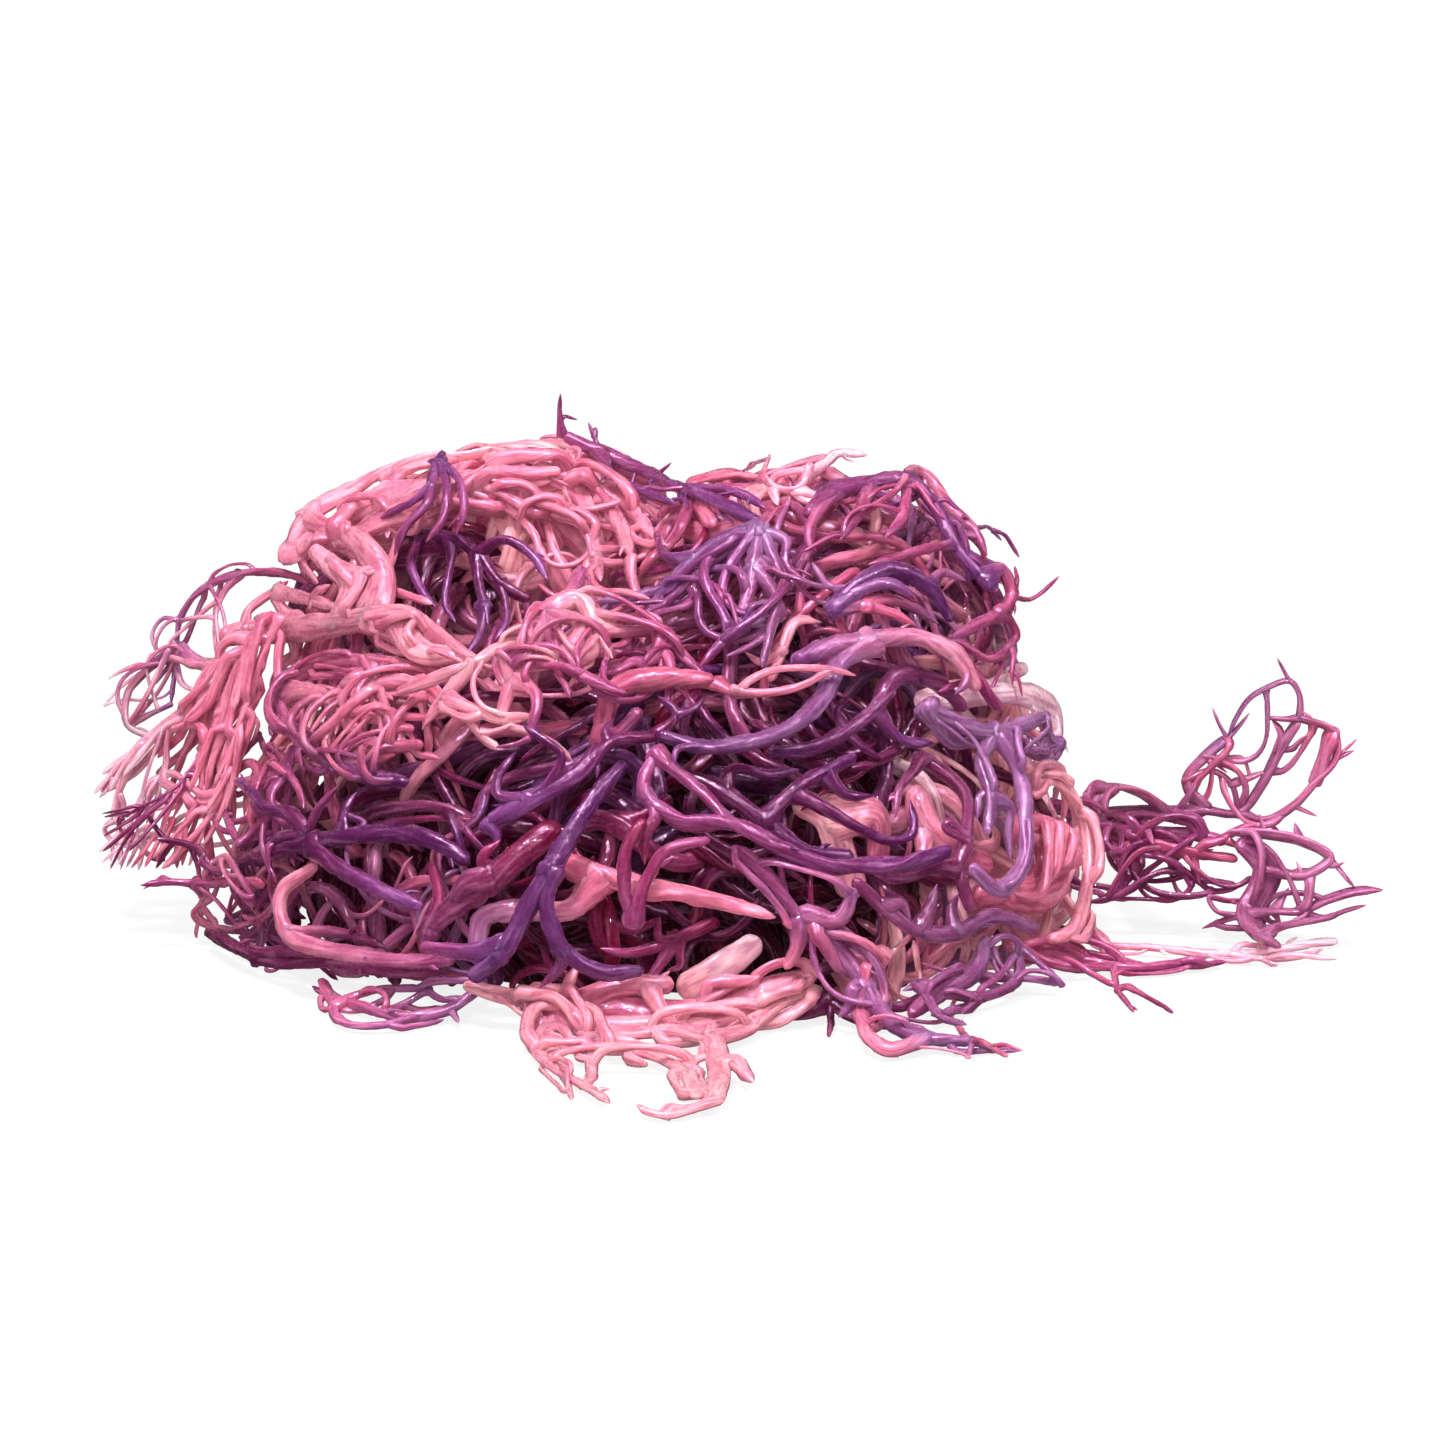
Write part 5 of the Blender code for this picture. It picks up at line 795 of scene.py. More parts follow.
        strand(2.4, 1.6, 7, [(18, 63.5), (24, 63.6), (29, 62), (34, 59.5)]),
        strand(2.6, 1.6, 5, [(24, 63.6), (29, 65), (34, 63), (38.5, 60)]),
        strand(2.2, 1.4, 5, [(20, 66), (16, 68), (13, 72.5)]),
        strand(2.2, 1.4, 4, [(34.5, 69.5), (40, 71), (44, 69)]),
    ]),
    "front_left_network": ("rose", [
        strand(3.2, 3.0, 6, [(-60, 51), (-70, 52.6), (-80, 53), (-87.5, 51.3), (-92, 47.5), (-93, 43),
            (-90.5, 38.5), (-86, 34.5), (-80, 31), (-74, 29.2), (-67.5, 28.4)]),
        strand(3.2, 2.2, 6, [(-91.5, 46.5), (-85.5, 46.5), (-80.5, 42.5), (-77.5, 38.5), (-72, 36.5),
            (-64, 37)]),
        strand(2.6, 1.8, 7, [(-77, 52.8), (-80, 48.5), (-80, 43.5), (-78, 39)]),
        strand(2.4, 1.6, 7, [(-78, 51.5), (-73.5, 48), (-72, 43.5), (-71, 39.5)]),
        strand(2.2, 1.6, 6, [(-73, 47.5), (-77, 46.5), (-77, 43), (-73, 41), (-67, 39.5)]),
        strand(2.6, 1.8, 5, [(-73, 49.5), (-67.5, 48.8), (-63.5, 46), (-60, 43.5)]),
        strand(2.4, 1.8, 5, [(-79, 33.5), (-76, 33), (-70, 34)]),
        strand(2.0, 1.5, 4, [(-81, 38.5), (-84, 36), (-82.5, 33.2)]),
    ]),
    "left_blunt_strand": ("salmon", [
        strand(2.6, 2.4, (9, 10, 6), [(-69, 45.6), (-64, 48), (-58, 49.3), (-52, 52.5), (-46, 56.5),
            (-40, 58), (-37, 61.5)]),
        strand(2.6, 1.8, (9, 8, 4), [(-54, 51), (-58.5, 46.5), (-61, 42), (-64, 38)]),
        strand(2.4, 1.8, (9, 7, 4), [(-57.5, 44.5), (-52, 42.3), (-46, 41.4), (-41, 42.5)]),
    ]),
    "pale_hub_frond": ("pale_pink", [
        strand(3.4, 2.4, (4, 8, 4), [(-33, 69), (-34.5, 64.5), (-39.3, 61), (-42, 54.5), (-45.5, 48.5),
            (-49, 43), (-50, 37.5)]),
        strand(3.6, 2.6, 7, [(-38.5, 61.5), (-34.5, 63), (-31, 59), (-30.5, 54), (-33.5, 50.3), (-38, 50)]),
        strand(3.0, 2.0, 8, [(-38.5, 61), (-34, 58), (-33, 54), (-36.5, 51.5)]),
        strand(2.8, 2.2, 7, [(-39.3, 60), (-38.5, 53), (-35, 48.5), (-29, 46.2), (-24, 44)]),
        strand(2.6, 1.8, 6, [(-45.5, 48.5), (-43, 44.5), (-42.5, 39.5), (-44, 34)]),
        strand(2.4, 1.8, 8, [(-53, 52.3), (-49.5, 51.5), (-46.3, 48.5)]),
        strand(3.0, 1.8, 5, [(-31, 58), (-26, 57.2), (-20, 58.7), (-16, 57.5), (-12, 53), (-7.5, 49.5)]),
        strand(2.4, 1.6, 6, [(-16, 57.5), (-17.5, 54), (-21, 50.6)]),
        strand(2.0, 1.5, 5, [(-29, 58), (-27.5, 54), (-28.5, 50)]),
    ]),
    "salmon_bar_frond": ("salmon", [
        strand(4.4, 4.2, (2, 8, 7), [(-29.5, 38), (-29, 43), (-25.5, 47), (-20, 48.8), (-13, 48.8),
            (-6, 48)]),
        strand(2.0, 1.4, 9, [(-7, 48), (-2, 46), (3, 49.5), (9, 50.3), (16, 50), (22, 48.6)]),
        strand(1.8, 1.3, 9, [(-1, 45.2), (5, 45.6), (11, 47), (17, 48.8)]),
        strand(3.2, 2.8, 7, [(-29, 41), (-27, 37.5), (-23.5, 40), (-21, 43)]),
    ]),
    "pale_bent_strand": ("pale_pink", [
        strand(2.2, 1.8, (3, 8, 4), [(5, 49), (7, 54), (9, 59), (11.5, 62), (15.5, 61)]),
        strand(1.8, 1.3, (5, 6, 4), [(7, 54), (4, 53), (0, 55)]),
    ]),
    "violet_frond": ("violet", [
        strand(3.8, 3.2, 6, [(8, 52), (14, 55), (22, 56.3), (28, 57), (34, 57), (39, 54), (43, 50.3),
            (44.5, 46)]),
        strand(3.6, 2.6, (6, 8, 5), [(22, 56.3), (18.5, 53), (16.5, 49), (14.5, 45), (9.5, 39.5), (2, 35.5),
            (-6, 33.2), (-14, 33.6), (-19.5, 35.5)]),
        strand(2.0, 1.4, 7, [(41, 52.5), (42.5, 48.5), (40, 45.5)]),
        strand(1.6, 1.2, 6, [(-14, 33.6), (-17, 31.8), (-16, 29)]),
    ]),
    "violet_knee_frond": ("violet", [
        strand(3.4, 2.6, 5, [(45, 44), (41, 48.5), (35.5, 51), (31, 50.5), (28.5, 47), (25.5, 43),
            (18.5, 38), (10, 34.5), (4.5, 34.8)]),
        strand(2.6, 1.8, 4, [(27, 45), (29.5, 40.5), (34, 36.5), (38.5, 37.5)]),
        strand(1.8, 1.3, 4, [(20, 39), (18.5, 43.5), (21, 46)]),
        strand(1.8, 1.3, 4, [(20.5, 39.5), (24, 35.5), (28, 33)]),
    ]),
    "mauve_centre_frond": ("violet", [
        strand(2.8, 3.6, 6, [(-17.5, 35.5), (-20.5, 32.5), (-19, 26.8), (-14.8, 22.3), (-9, 20.7),
            (-3.5, 20.7), (2, 18.3), (7.5, 14.7), (14.5, 11), (22.5, 10.3), (33, 11), (41, 13.5)]),
        strand(2.4, 2.0, 5, [(-10.4, 30.5), (-7.4, 26.5), (-3.5, 21.5)]),
        strand(2.4, 1.8, 7, [(-17.5, 25), (-17, 21), (-20.5, 17.5), (-19.5, 13)]),
    ]),
    "dark_centre_frond": ("deep_purple", [
        strand(3.2, 2.8, 3, [(-14, 30.5), (-8, 28.6), (-1, 24.2), (7, 18.2), (14, 13.8), (22, 13.5)]),
        strand(2.8, 2.0, 3, [(4.5, 23.5), (10, 26.8), (15, 29.8), (22.5, 33.8)]),
        strand(2.4, 1.8, 2, [(-8, 28.6), (-3, 31), (4, 30), (11, 31)]),
        strand(2.2, 1.6, 3, [(14, 29.5), (20, 26), (26, 25.5)]),
        strand(2.4, 1.6, 4, [(13, 22), (20, 20.8), (26.5, 17.5), (31.5, 16.5), (34, 20), (33, 25)]),
    ]),
    "centre_branched_frond": ("deep_purple", [
        strand(2.8, 3.4, (3, 6, 5), [(-17, 37), (-22, 35.8), (-26.5, 35.6), (-31, 31), (-38, 26), (-45, 23),
            (-51.5, 19.5)]),
        strand(1.8, 1.4, 6, [(-18, 37), (-14.5, 40), (-13, 43), (-17, 45.5)]),
        strand(1.5, 1.1, 6, [(-13.3, 42), (-9.5, 43.5), (-7.5, 46)]),
        strand(2.0, 1.4, 5, [(-28.5, 33.5), (-27.5, 37.5), (-25.5, 40.5)]),
        strand(1.8, 1.3, 6, [(-39, 26), (-36, 31), (-40, 35), (-44, 37.5)]),
        strand(2.4, 1.5, 6, [(-47, 22.5), (-51, 25.5), (-49, 29), (-45.5, 34)]),
        strand(2.0, 1.4, 5, [(-51, 20), (-49.5, 16.5), (-50.5, 13.5)]),
    ]),
    "blue_violet_frond": ("violet", [
        strand(3.0, 3.6, (3, 8, 5), [(-24, 34), (-27, 31), (-31.8, 24), (-36, 17), (-39.8, 10),
            (-43.5, 3.5), (-46, -2), (-50, -6.5), (-54.5, -10)]),
        strand(3.2, 2.8, (8, 8, 5), [(-39.8, 10), (-39.6, 4), (-37.5, -2.5), (-34.5, -6.5), (-28.5, -9.3),
            (-20, -9)]),
        strand(3.4, 2.4, 5, [(-46, -2), (-51.5, -4.5), (-58, -4), (-64, -3)]),
        strand(2.4, 1.8, 4, [(-36.5, -4), (-37, -8.5), (-41, -12.5)]),
    ]),
    "magenta_broad_frond": ("magenta", [
        strand(5.0, 3.4, (2, 6, 5), [(-37.5, 21), (-41.5, 18.5), (-46.5, 13.5), (-53, 8.6), (-59, 4.5),
            (-64, -1)]),
        strand(3.6, 2.2, 8, [(-53, 8.6), (-57, 9), (-60.5, 6)]),
        strand(2.4, 1.6, 5, [(-52, 10), (-52.5, 14.5), (-49, 18)]),
        strand(2.8, 2.0, 4, [(-61.5, 2), (-62, 7.5), (-63.5, 13)]),
    ]),
    "long_pale_frond": ("pale_pink", [
        strand(4.4, 1.8, (1, 4, 5), [(-37, 12.5), (-32, 10.8), (-26, 8.6), (-19, 7.2), (-11, 6), (-3, 4.2),
            (6, 1.6)]),
        strand(3.4, 3.2, (4, 3, 5), [(-26, 8), (-32, 4.8), (-38.5, 2.8), (-46, 2.6), (-51.5, 3),
            (-54.5, -2), (-54.5, -8)]),
    ]),
    "maroon_hanging_loop": ("magenta", [
        strand(2.6, 2.2, 9, [(-20, 21), (-22.8, 17), (-24.2, 10.5), (-23.6, 4), (-22.6, 0)]),
        strand(2.4, 2.2, 9, [(-22.8, 0.8), (-20.8, 2.8), (-20.2, 8), (-18.8, 13), (-14, 15.5), (-7, 17)]),
    ]),
    "left_dark_band": ("deep_purple", [
        strand(2.6, 3.6, (1, 6, 4), [(-103, 12.5), (-96, 14), (-89, 15.2), (-82, 16.6), (-75, 17.4),
            (-68, 17.2), (-60.5, 15.5), (-55, 11.5)]),
        strand(2.2, 1.6, 4, [(-99, 14), (-93.5, 17.2), (-86, 19), (-84.5, 24), (-81, 27.5)]),
        strand(2.4, 1.8, 5, [(-81, 17.2), (-80, 22), (-77.5, 26)]),
        strand(2.6, 1.8, 4, [(-86, 18.2), (-90, 22), (-94.5, 22.8), (-98, 27), (-101, 29)]),
        strand(3.4, 2.4, 6, [(-88, 15.2), (-84, 12.8), (-78, 8.8), (-71, 5.6), (-64, 2.8)]),
        strand(1.6, 1.2, 5, [(-77, 17.5), (-76, 20), (-79, 22)]),
    ]),
    "left_mauve_frond": ("mauve", [
        strand(2.4, 1.8, 3, [(-91, 36), (-93, 30), (-95.5, 26.5), (-94.5, 21.5), (-91.5, 19.5)]),
        strand(2.2, 1.6, 2, [(-93, 30), (-99, 29), (-104, 26), (-103, 20), (-101, 15.5)]),
        strand(1.8, 1.4, 3, [(-99, 29), (-98.5, 25), (-97.5, 21)]),
        strand(1.8, 1.3, 1, [(-92.5, 31), (-96, 34.5), (-98, 39)]),
        strand(1.8, 1.4, 3, [(-93.5, 28.5), (-90, 27), (-89, 23)]),
    ]),
    "left_pale_sticks": ("pale_pink", [
        strand(2.2, 1.3, 2, [(-96, 8), (-101, 8.6), (-108, 8, -16), (-115, 8.4, -18), (-120.8, 7.7, -20)]),
        strand(1.8, 1.3, 1, [(-104, 8, -12), (-107, 13, -12), (-110.5, 15.8, -14), (-117.5, 17.2, -16)]),
        strand(1.8, 1.4, 2, [(-106.5, 11, -12), (-102.5, 13.5), (-100, 10), (-97, 5.5)]),
        strand(1.6, 1.2, 1, [(-108, 8, -16), (-108, 4, -15), (-110.5, 1, -14), (-106, -0.8, -16),
            (-100, -2)]),
    ]),
    "left_pale_curve": ("pale_pink", [
        strand(2.6, 3.4, (2, 6, 3), [(-85.5, 12), (-90, 9.5), (-92.8, 4.5), (-92, -0.5), (-88, -4),
            (-81, -5.6), (-73, -7), (-65, -8), (-57, -7.5)]),
        strand(2.2, 1.6, 3, [(-91, -2), (-84, -1.5), (-77, -2.5), (-71, -5)]),
        strand(1.8, 1.4, 2, [(-92.6, 2), (-96.5, 1), (-100.5, 2)]),
    ]),
    "left_dark_foot": ("deep_purple", [
        strand(2.6, 2.4, 1.6, [(-107, -1.5), (-102, -4.5), (-96, -7.6), (-90, -8.7), (-83, -8.6),
            (-76, -10), (-69, -11), (-60, -11)]),
        strand(2.4, 1.8, 3, [(-98, -6.5), (-91, -5.6), (-84, -6.8)]),
    ]),
    "left_floor_loops": ("salmon", [
        strand(2.4, 2.2, 1.3, [(-84.5, -11), (-84, -13.5), (-80.6, -15.8), (-76, -17), (-71, -18.8),
            (-66, -19.6), (-61, -18.6), (-56.5, -16.4), (-52.5, -13)]),
        strand(1.6, 1.2, 1, [(-83, -14.5), (-86.4, -12.4)]),
        strand(1.9, 1.7, 1.1, [(-80.6, -16), (-81.6, -19), (-77.5, -21), (-72, -21), (-66.5, -19.8)]),
        strand(1.9, 1.6, 1.1, [(-80.6, -15.8), (-76, -13.6), (-70, -12.8), (-63, -12.6)]),
        strand(1.6, 1.4, 1, [(-70.5, -18.5), (-67, -15.5), (-64, -12.8)]),
        strand(1.2, 0.7, 0.8, [(-57.5, -17), (-57.2, -20.5)]),
    ]),
    "front_floor_frond": ("salmon", [
        strand(3.4, 3.2, 2.2, [(-36, -17.5), (-30, -16.5), (-22, -16.4), (-14, -17.4), (-6, -16.5),
            (1, -14), (8, -11.5), (14, -10)]),
        strand(3.2, 2.6, 3, [(-36, -17.5), (-33, -14.5), (-26, -12.8), (-20, -11), (-14, -12)]),
        strand(3.4, 2.6, 1.8, [(-36.5, -18), (-31, -19.3), (-22, -19.2), (-13, -19.8), (-6, -19.5),
            (0, -17), (6, -14)]),
        strand(3.2, 2.6, 1.6, [(-36.5, -20), (-31, -22.5), (-22, -22.2), (-14, -21.8), (-8, -22.5),
            (-5.5, -25.5), (-5, -31), (-5.5, -35.6)]),
        strand(2.6, 2.4, 1.4, [(-5.5, -24.5), (-1.5, -22.8), (4, -19.6), (9, -16.5), (15, -14)]),
        strand(2.2, 1.8, 1.2, [(-34, -24), (-28, -25.4), (-21, -26), (-15, -28), (-11, -31), (-9.5, -35)]),
        strand(1.8, 1.3, 1, [(-5.4, -35), (-11, -37.5), (-17, -38.9), (-21.5, -36.4)]),
        strand(2.4, 2.0, 2, [(-36, -17.5), (-43, -15.6), (-50, -14.2), (-56, -12.5)]),
        strand(1.2, 0.7, 1, [(-37, -18), (-41, -18), (-44.6, -20)]),
        strand(2.2, 1.4, 1.4, [(-37, -19.5), (-40.5, -22), (-41.4, -25), (-38.5, -28.5), (-34, -31.3),
            (-30.5, -32.8), (-27, -35.7)]),
        strand(1.8, 1.3, 1.1, [(-38.5, -21), (-38.3, -25), (-38.5, -28.5)]),
        strand(1.8, 1.3, 1.1, [(-31, -24.5), (-30.5, -29), (-30.5, -32.5)]),
        strand(1.1, 0.7, 0.8, [(-34.3, -31), (-34.4, -35)]),
        strand(2.0, 1.4, 1.2, [(-11, -31), (-11, -28.5), (-7.5, -26)]),
        strand(1.8, 1.2, (3, 6, 3), [(-36.5, -17), (-35, -11.5), (-33, -8)]),
    ]),
    "pale_floor_ribbon": ("pale_pink", [
        strand(4.2, 3.0, 2.2, [(-13.5, -13.8), (-9, -11), (-4.5, -8.4), (0.5, -6), (3, -3)]),
        strand(2.4, 1.8, 1.6, [(-9, -11), (-6, -13.5), (-8.5, -15.2)]),
    ]),
    "low_wine_frond": ("magenta", [
        strand(3.0, 2.0, (-3, 1, 2), [(-5, 0.5), (-9.5, -1), (-14, -4), (-17.5, -8), (-19, -11.6)]),
        strand(1.8, 1.3, 2, [(-14, -4), (-17.5, -2.5), (-17, 1.5)]),
        strand(2.0, 1.5, 2, [(-15, -5), (-22, -6), (-29, -5)]),
        strand(1.8, 1.4, 1, [(-12, -3), (-13.5, -7), (-12, -10), (-15.5, -9.5)]),
    ]),
    "right_violet_network": ("violet", [
        strand(3.4, 3.0, 6, [(35.5, 43.5), (38.5, 41.8), (44, 39.6), (50.5, 38.8), (55, 40.6), (59, 41.8)]),
        strand(2.2, 1.8, 5, [(57, 41.5), (59.5, 38), (63, 36), (58.5, 34.6), (54.5, 35)]),
        strand(3.4, 3.0, 6, [(50, 38.5), (52.5, 34), (54.3, 28), (55, 21.5), (54.8, 15), (53.5, 10),
            (50, 7.4), (45.5, 8.5), (43.5, 12)]),
        strand(3.0, 2.2, 5, [(47, 38.5), (46, 33), (46.5, 28), (48.8, 23), (47, 18)]),
        strand(3.0, 2.2, 4, [(37, 38.5), (40.5, 36.2), (46.5, 36.5)]),
        strand(2.4, 1.8, 4, [(50.5, 27), (52, 23), (51.5, 18), (52, 13)]),
    ]),
    "right_pale_loop": ("pale_pink", [
        strand(3.2, 3.4, (2, 5, 4), [(35, 44.5), (40, 45.5), (44.5, 46.6), (51, 46.8), (57.5, 46),
            (61.5, 43.5), (63, 39.5), (61.5, 35)]),
        strand(2.4, 1.8, 3, [(51, 46.8), (53.5, 50), (57, 51.8)]),
        strand(1.5, 1.0, 3, [(53, 49.5), (54, 52.4)]),
    ]),
    "maroon_cross_strand": ("magenta", [
        strand(2.4, 2.8, (3, 9, 5), [(43.5, 53), (46, 49.5), (48.5, 45.5), (51.3, 41.5)]),
        strand(1.6, 1.2, 7, [(45.5, 49.8), (42, 46.8), (38.5, 45.2)]),
    ]),
    "pale_finger_frond": ("pale_pink", [
        strand(4.4, 4.6, (0, 2, 0), [(10.5, 26), (15, 25.2), (18, 21), (19.5, 16), (21.5, 11), (23, 6)]),
        strand(4.4, 4.2, (1, 3, 0), [(15, 25.4), (21, 24), (26.5, 23), (28, 18), (27.5, 12.5)]),
    ]),
    "right_finger_strand": ("pale_pink", [
        strand(4.2, 4.2, (0, 4, 1), [(34.5, 28), (36.8, 24), (37.5, 19.5), (40.5, 15.5), (45, 13.5),
            (50, 12)]),
        strand(2.6, 2.0, 2, [(36.8, 19), (36.5, 14.5), (36.2, 9.5)]),
    ]),
    "dark_right_frond": ("deep_purple", [
        strand(3.0, 2.2, 3, [(36, 33), (40, 29.5), (44, 25.5), (43.5, 20.5), (44.6, 16.5)]),
        strand(2.2, 1.6, 4, [(38, 31.5), (33.5, 30), (30.5, 26), (29.9, 21)]),
        strand(2.2, 1.6, 5, [(43.5, 21), (39.5, 21.5), (41, 18), (45, 16)]),
        strand(2.4, 2.6, 5, [(44.6, 16.5), (43, 12), (43.5, 7), (45, 2)]),
        strand(2.4, 1.8, 4, [(44, 11), (40, 12), (36, 9.5), (30.5, 8.8), (25, 10)]),
    ]),
    "hot_pink_frond": ("rose", [
        strand(4.2, 2.8, 3, [(46, 4.5), (51, 5.2), (57, 6), (62, 8.5), (64.2, 13.5), (62, 18.5),
            (57.5, 19.8), (53, 19)]),
        strand(3.2, 2.0, 4, [(51, 5.2), (56, 3.4), (62, 4.2), (65, 7)]),
        strand(3.0, 2.0, 3, [(57, 6), (59, 10.5), (61, 15), (60, 19)]),
    ]),
    "right_outer_strand": ("rose", [
        strand(2.4, 3.2, (3, 4, 3), [(58, 33.5), (61, 30.5), (64.5, 26.5), (66.5, 20.5), (67.6, 14.5),
            (66.4, 8), (66, 2.5), (63, -1), (58.5, -2.5)]),
        strand(2.4, 1.6, 3, [(61, 30.5), (57.8, 30.5), (57, 26)]),
        strand(1.6, 1.2, 3, [(66.4, 5), (68.5, -1.5), (72, -4.5)]),
    ]),
    "bottom_right_frond": ("violet", [
        strand(2.6, 3.0, (4, 5, 2), [(-1.5, 16), (3, 12.3), (6.5, 8), (10, 3), (14, -1), (20, -6),
            (24.3, -12.5), (28, -18.5), (33, -22), (39, -23.4), (45.5, -23.2)]),
        strand(3.2, 2.6, 7, [(10.5, 2.4), (14, 1.8), (19, 2), (22.2, 4.6), (22, 8.5)]),
        strand(3.2, 2.4, 4, [(13, -0.2), (10.5, -4), (8, -8.5)]),
        strand(3.2, 2.8, 2, [(23.6, -11), (23.2, -16), (24, -21.5), (27.2, -25.6), (31.5, -26), (36, -24)]),
        strand(1.2, 0.7, 1, [(45, -23.2), (50, -24.7)]),
        strand(1.2, 0.7, 1, [(44, -23.3), (44.6, -26.3)]),
        strand(1.6, 0.8, 1.2, [(43, -23.2), (43, -20), (41, -16.5)]),
        strand(2.6, 1.8, 3, [(24, -11.5), (27, -8), (29.5, -6)]),
    ]),
    "right_low_mauve": ("mauve", [
        strand(2.8, 2.6, (2, 4, 3), [(22, 10), (25.5, 7), (29, 3.6), (33, 0.4), (39, -1.2), (45, -0.6),
            (49.5, 1.8), (54.5, 0), (59, -2)]),
        strand(2.6, 1.8, 4, [(27, 8.5), (31, 5.5), (33.5, 2)]),
        strand(2.8, 1.8, 3, [(36.5, 0), (37.3, 4.5), (39, 9.5)]),
        strand(2.4, 1.8, 3, [(42.5, -0.8), (42, 4), (43.5, 7)]),
    ]),
    "right_foot_frond": ("violet", [
        strand(3.8, 3.0, (3, 5, 2), [(49.3, -1), (48.5, -5.5), (45.5, -9.4), (41, -12), (37, -15),
            (33, -18)]),
        strand(2.4, 2.2, 3, [(43, -11), (44, -13.6), (49, -14.2), (53.3, -11.5), (55.5, -7), (54, -3.6)]),
        strand(1.8, 0.9, 2, [(44.3, -13.5), (45, -16), (43.3, -17.8)]),
        strand(2.6, 1.8, 3, [(38.5, -14), (36, -12.2), (31.5, -13.6)]),
        strand(2.2, 1.5, 2, [(37, -15), (38.5, -18.5), (41, -20.5), (44.5, -21.5)]),
        strand(2.0, 1.4, 3, [(46.5, -8.5), (50.5, -9.8), (57, -9.8), (63.8, -11.2)]),
    ]),
    "dark_low_right": ("deep_purple", [
        strand(2.8, 2.2, 2, [(16, -14.4), (21, -14.8), (27, -14.2), (31, -15.5), (35, -13)]),
        strand(2.6, 1.4, 1.3, [(18, -14.8), (12, -16.6), (7, -18)]),
        strand(1.4, 0.8, 1, [(15, -16), (16.2, -19), (15.8, -22)]),
        strand(2.2, 1.6, 1.2, [(19, -15), (22, -19), (29, -20.4), (35, -20.6)]),
    ]),
    "trailing_root": ("deep_purple", [
        strand(3.4, 2.6, 2, [(60, 25, 34), (66, 22.5, 42), (72, 19, 50), (78, 17), (85, 15.2), (92, 14.6),
            (99, 13.6)], 1),
        strand(2.6, 2.0, 2, [(68, 21.5, 45), (76, 19.5), (84, 18.8), (91, 18.4), (97, 17)]),
        strand(2.4, 1.6, 2, [(70, 20.5, 48), (74, 14.5), (76, 9.5), (73, 5.5), (68, 4.6)], 1),
        strand(2.2, 1.4, 2, [(76, 17.5), (77.5, 13), (78.5, 8.5), (74, 6)]),
        strand(2.0, 1.0, 1.5, [(84, 15), (87, 11.5), (89.6, 7.5), (89, 5.4), (86.6, 5.2)]),
        strand(1.8, 1.2, 1.5, [(86, 14.5), (90, 9.8), (94.5, 6.6), (98, 8), (101, 9.6)]),
    ]),
    "trailing_leaf": ("mauve", [
        strand(3.2, 2.8, 2.4, [(98, 16.4), (102, 14.5), (104, 11), (102.5, 6.5), (100, 1.5), (101, -2.5),
            (105.5, -5.6)]),
        strand(2.6, 1.6, 2, [(103.5, 10), (108, 10), (112.5, 9.3), (115.8, 11), (116.3, 14.3), (112, 16.2),
            (106, 17.3), (100.5, 18.4), (96.3, 18.2)], 3),
        strand(1.2, 0.7, 1, [(116.2, 14), (118.5, 10.8), (121.6, 7)]),
        strand(2.4, 1.4, 2, [(101.5, 4.5), (104.5, 2.2), (110, 2.2), (115.5, 4.6), (121, 6.4),
            (127.4, 6.8)], 1),
        strand(1.4, 1.0, 1, [(112.5, 2.8), (115, 1.2), (119.5, 2.4), (121.5, 4.2), (124, 3.8)]),
        strand(1.8, 0.9, 1.2, [(100, 1.8), (96, 0.6), (91, -1.3)]),
        strand(1.4, 1.0, 1, [(97, 1), (92.5, 3), (93, 5.4), (97.5, 4.4), (100.5, 5)]),
        strand(1.6, 0.9, 1.5, [(104.5, 2.2), (106.5, 4), (108.5, 7)]),
        strand(1.4, 0.8, 1.2, [(102, 5), (103.5, 1), (103.3, -1.8)]),
    ]),
    "trailing_high_loops": ("mauve", [
        strand(3.0, 2.4, 3, [(66, 21, 58), (74, 22.5, 66), (82, 22.4, 61), (89, 23.5, 63), (94.5, 22.3, 65),
            (98.5, 22.5, 65), (101.5, 24.5, 65), (103.5, 28.5, 65), (105.5, 33, 65), (108.5, 37.5, 65),
            (111, 41.5, 65)], 1),
        strand(2.4, 1.8, 3, [(96, 22, 65), (101, 20.8, 63), (106, 21.6, 61), (110, 24.2, 61),
            (113.5, 28, 61), (117, 32, 62), (119.3, 36, 63), (116.5, 40, 64), (112.3, 42.5, 65)], 3),
        strand(1.6, 1.2, 3, [(112, 43, 65), (111, 46.5, 65), (110, 49, 65), (105, 47.8, 66),
            (101, 45.5, 67), (98, 41, 67), (96.5, 37.5, 67)], 1),
        strand(2.4, 1.8, 3, [(88, 24, 63), (88.3, 28.5, 65), (90, 32.5, 67), (94, 35, 67),
            (97.3, 38, 67)], 1),
        strand(1.9, 1.5, 3, [(88.6, 29.5, 65), (92, 31, 65), (96, 30, 66), (97.8, 26.5, 66), (97, 23, 65)]),
        strand(2.0, 1.3, 3, [(97.8, 28.5, 66), (101, 29.6, 66), (104.6, 31, 65)]),
        strand(1.8, 0.8, 3, [(93, 34, 67), (97.5, 33.3, 66), (100.3, 33.3, 66), (102.3, 31.2, 66)]),
        strand(1.1, 0.7, 3, [(97, 39.5, 67), (94.5, 41, 67), (93.5, 43.6, 67)]),
        strand(1.1, 0.7, 3, [(98, 39, 67), (99.8, 41, 68), (101, 42.6, 68)]),
        strand(1.8, 1.0, 3, [(107.5, 36.5, 65), (107.2, 39.5, 65), (105.3, 41.5, 66)]),
        strand(1.6, 1.2, 3, [(111, 41.5, 65), (108, 41.3, 65), (105.3, 41.4, 66)]),
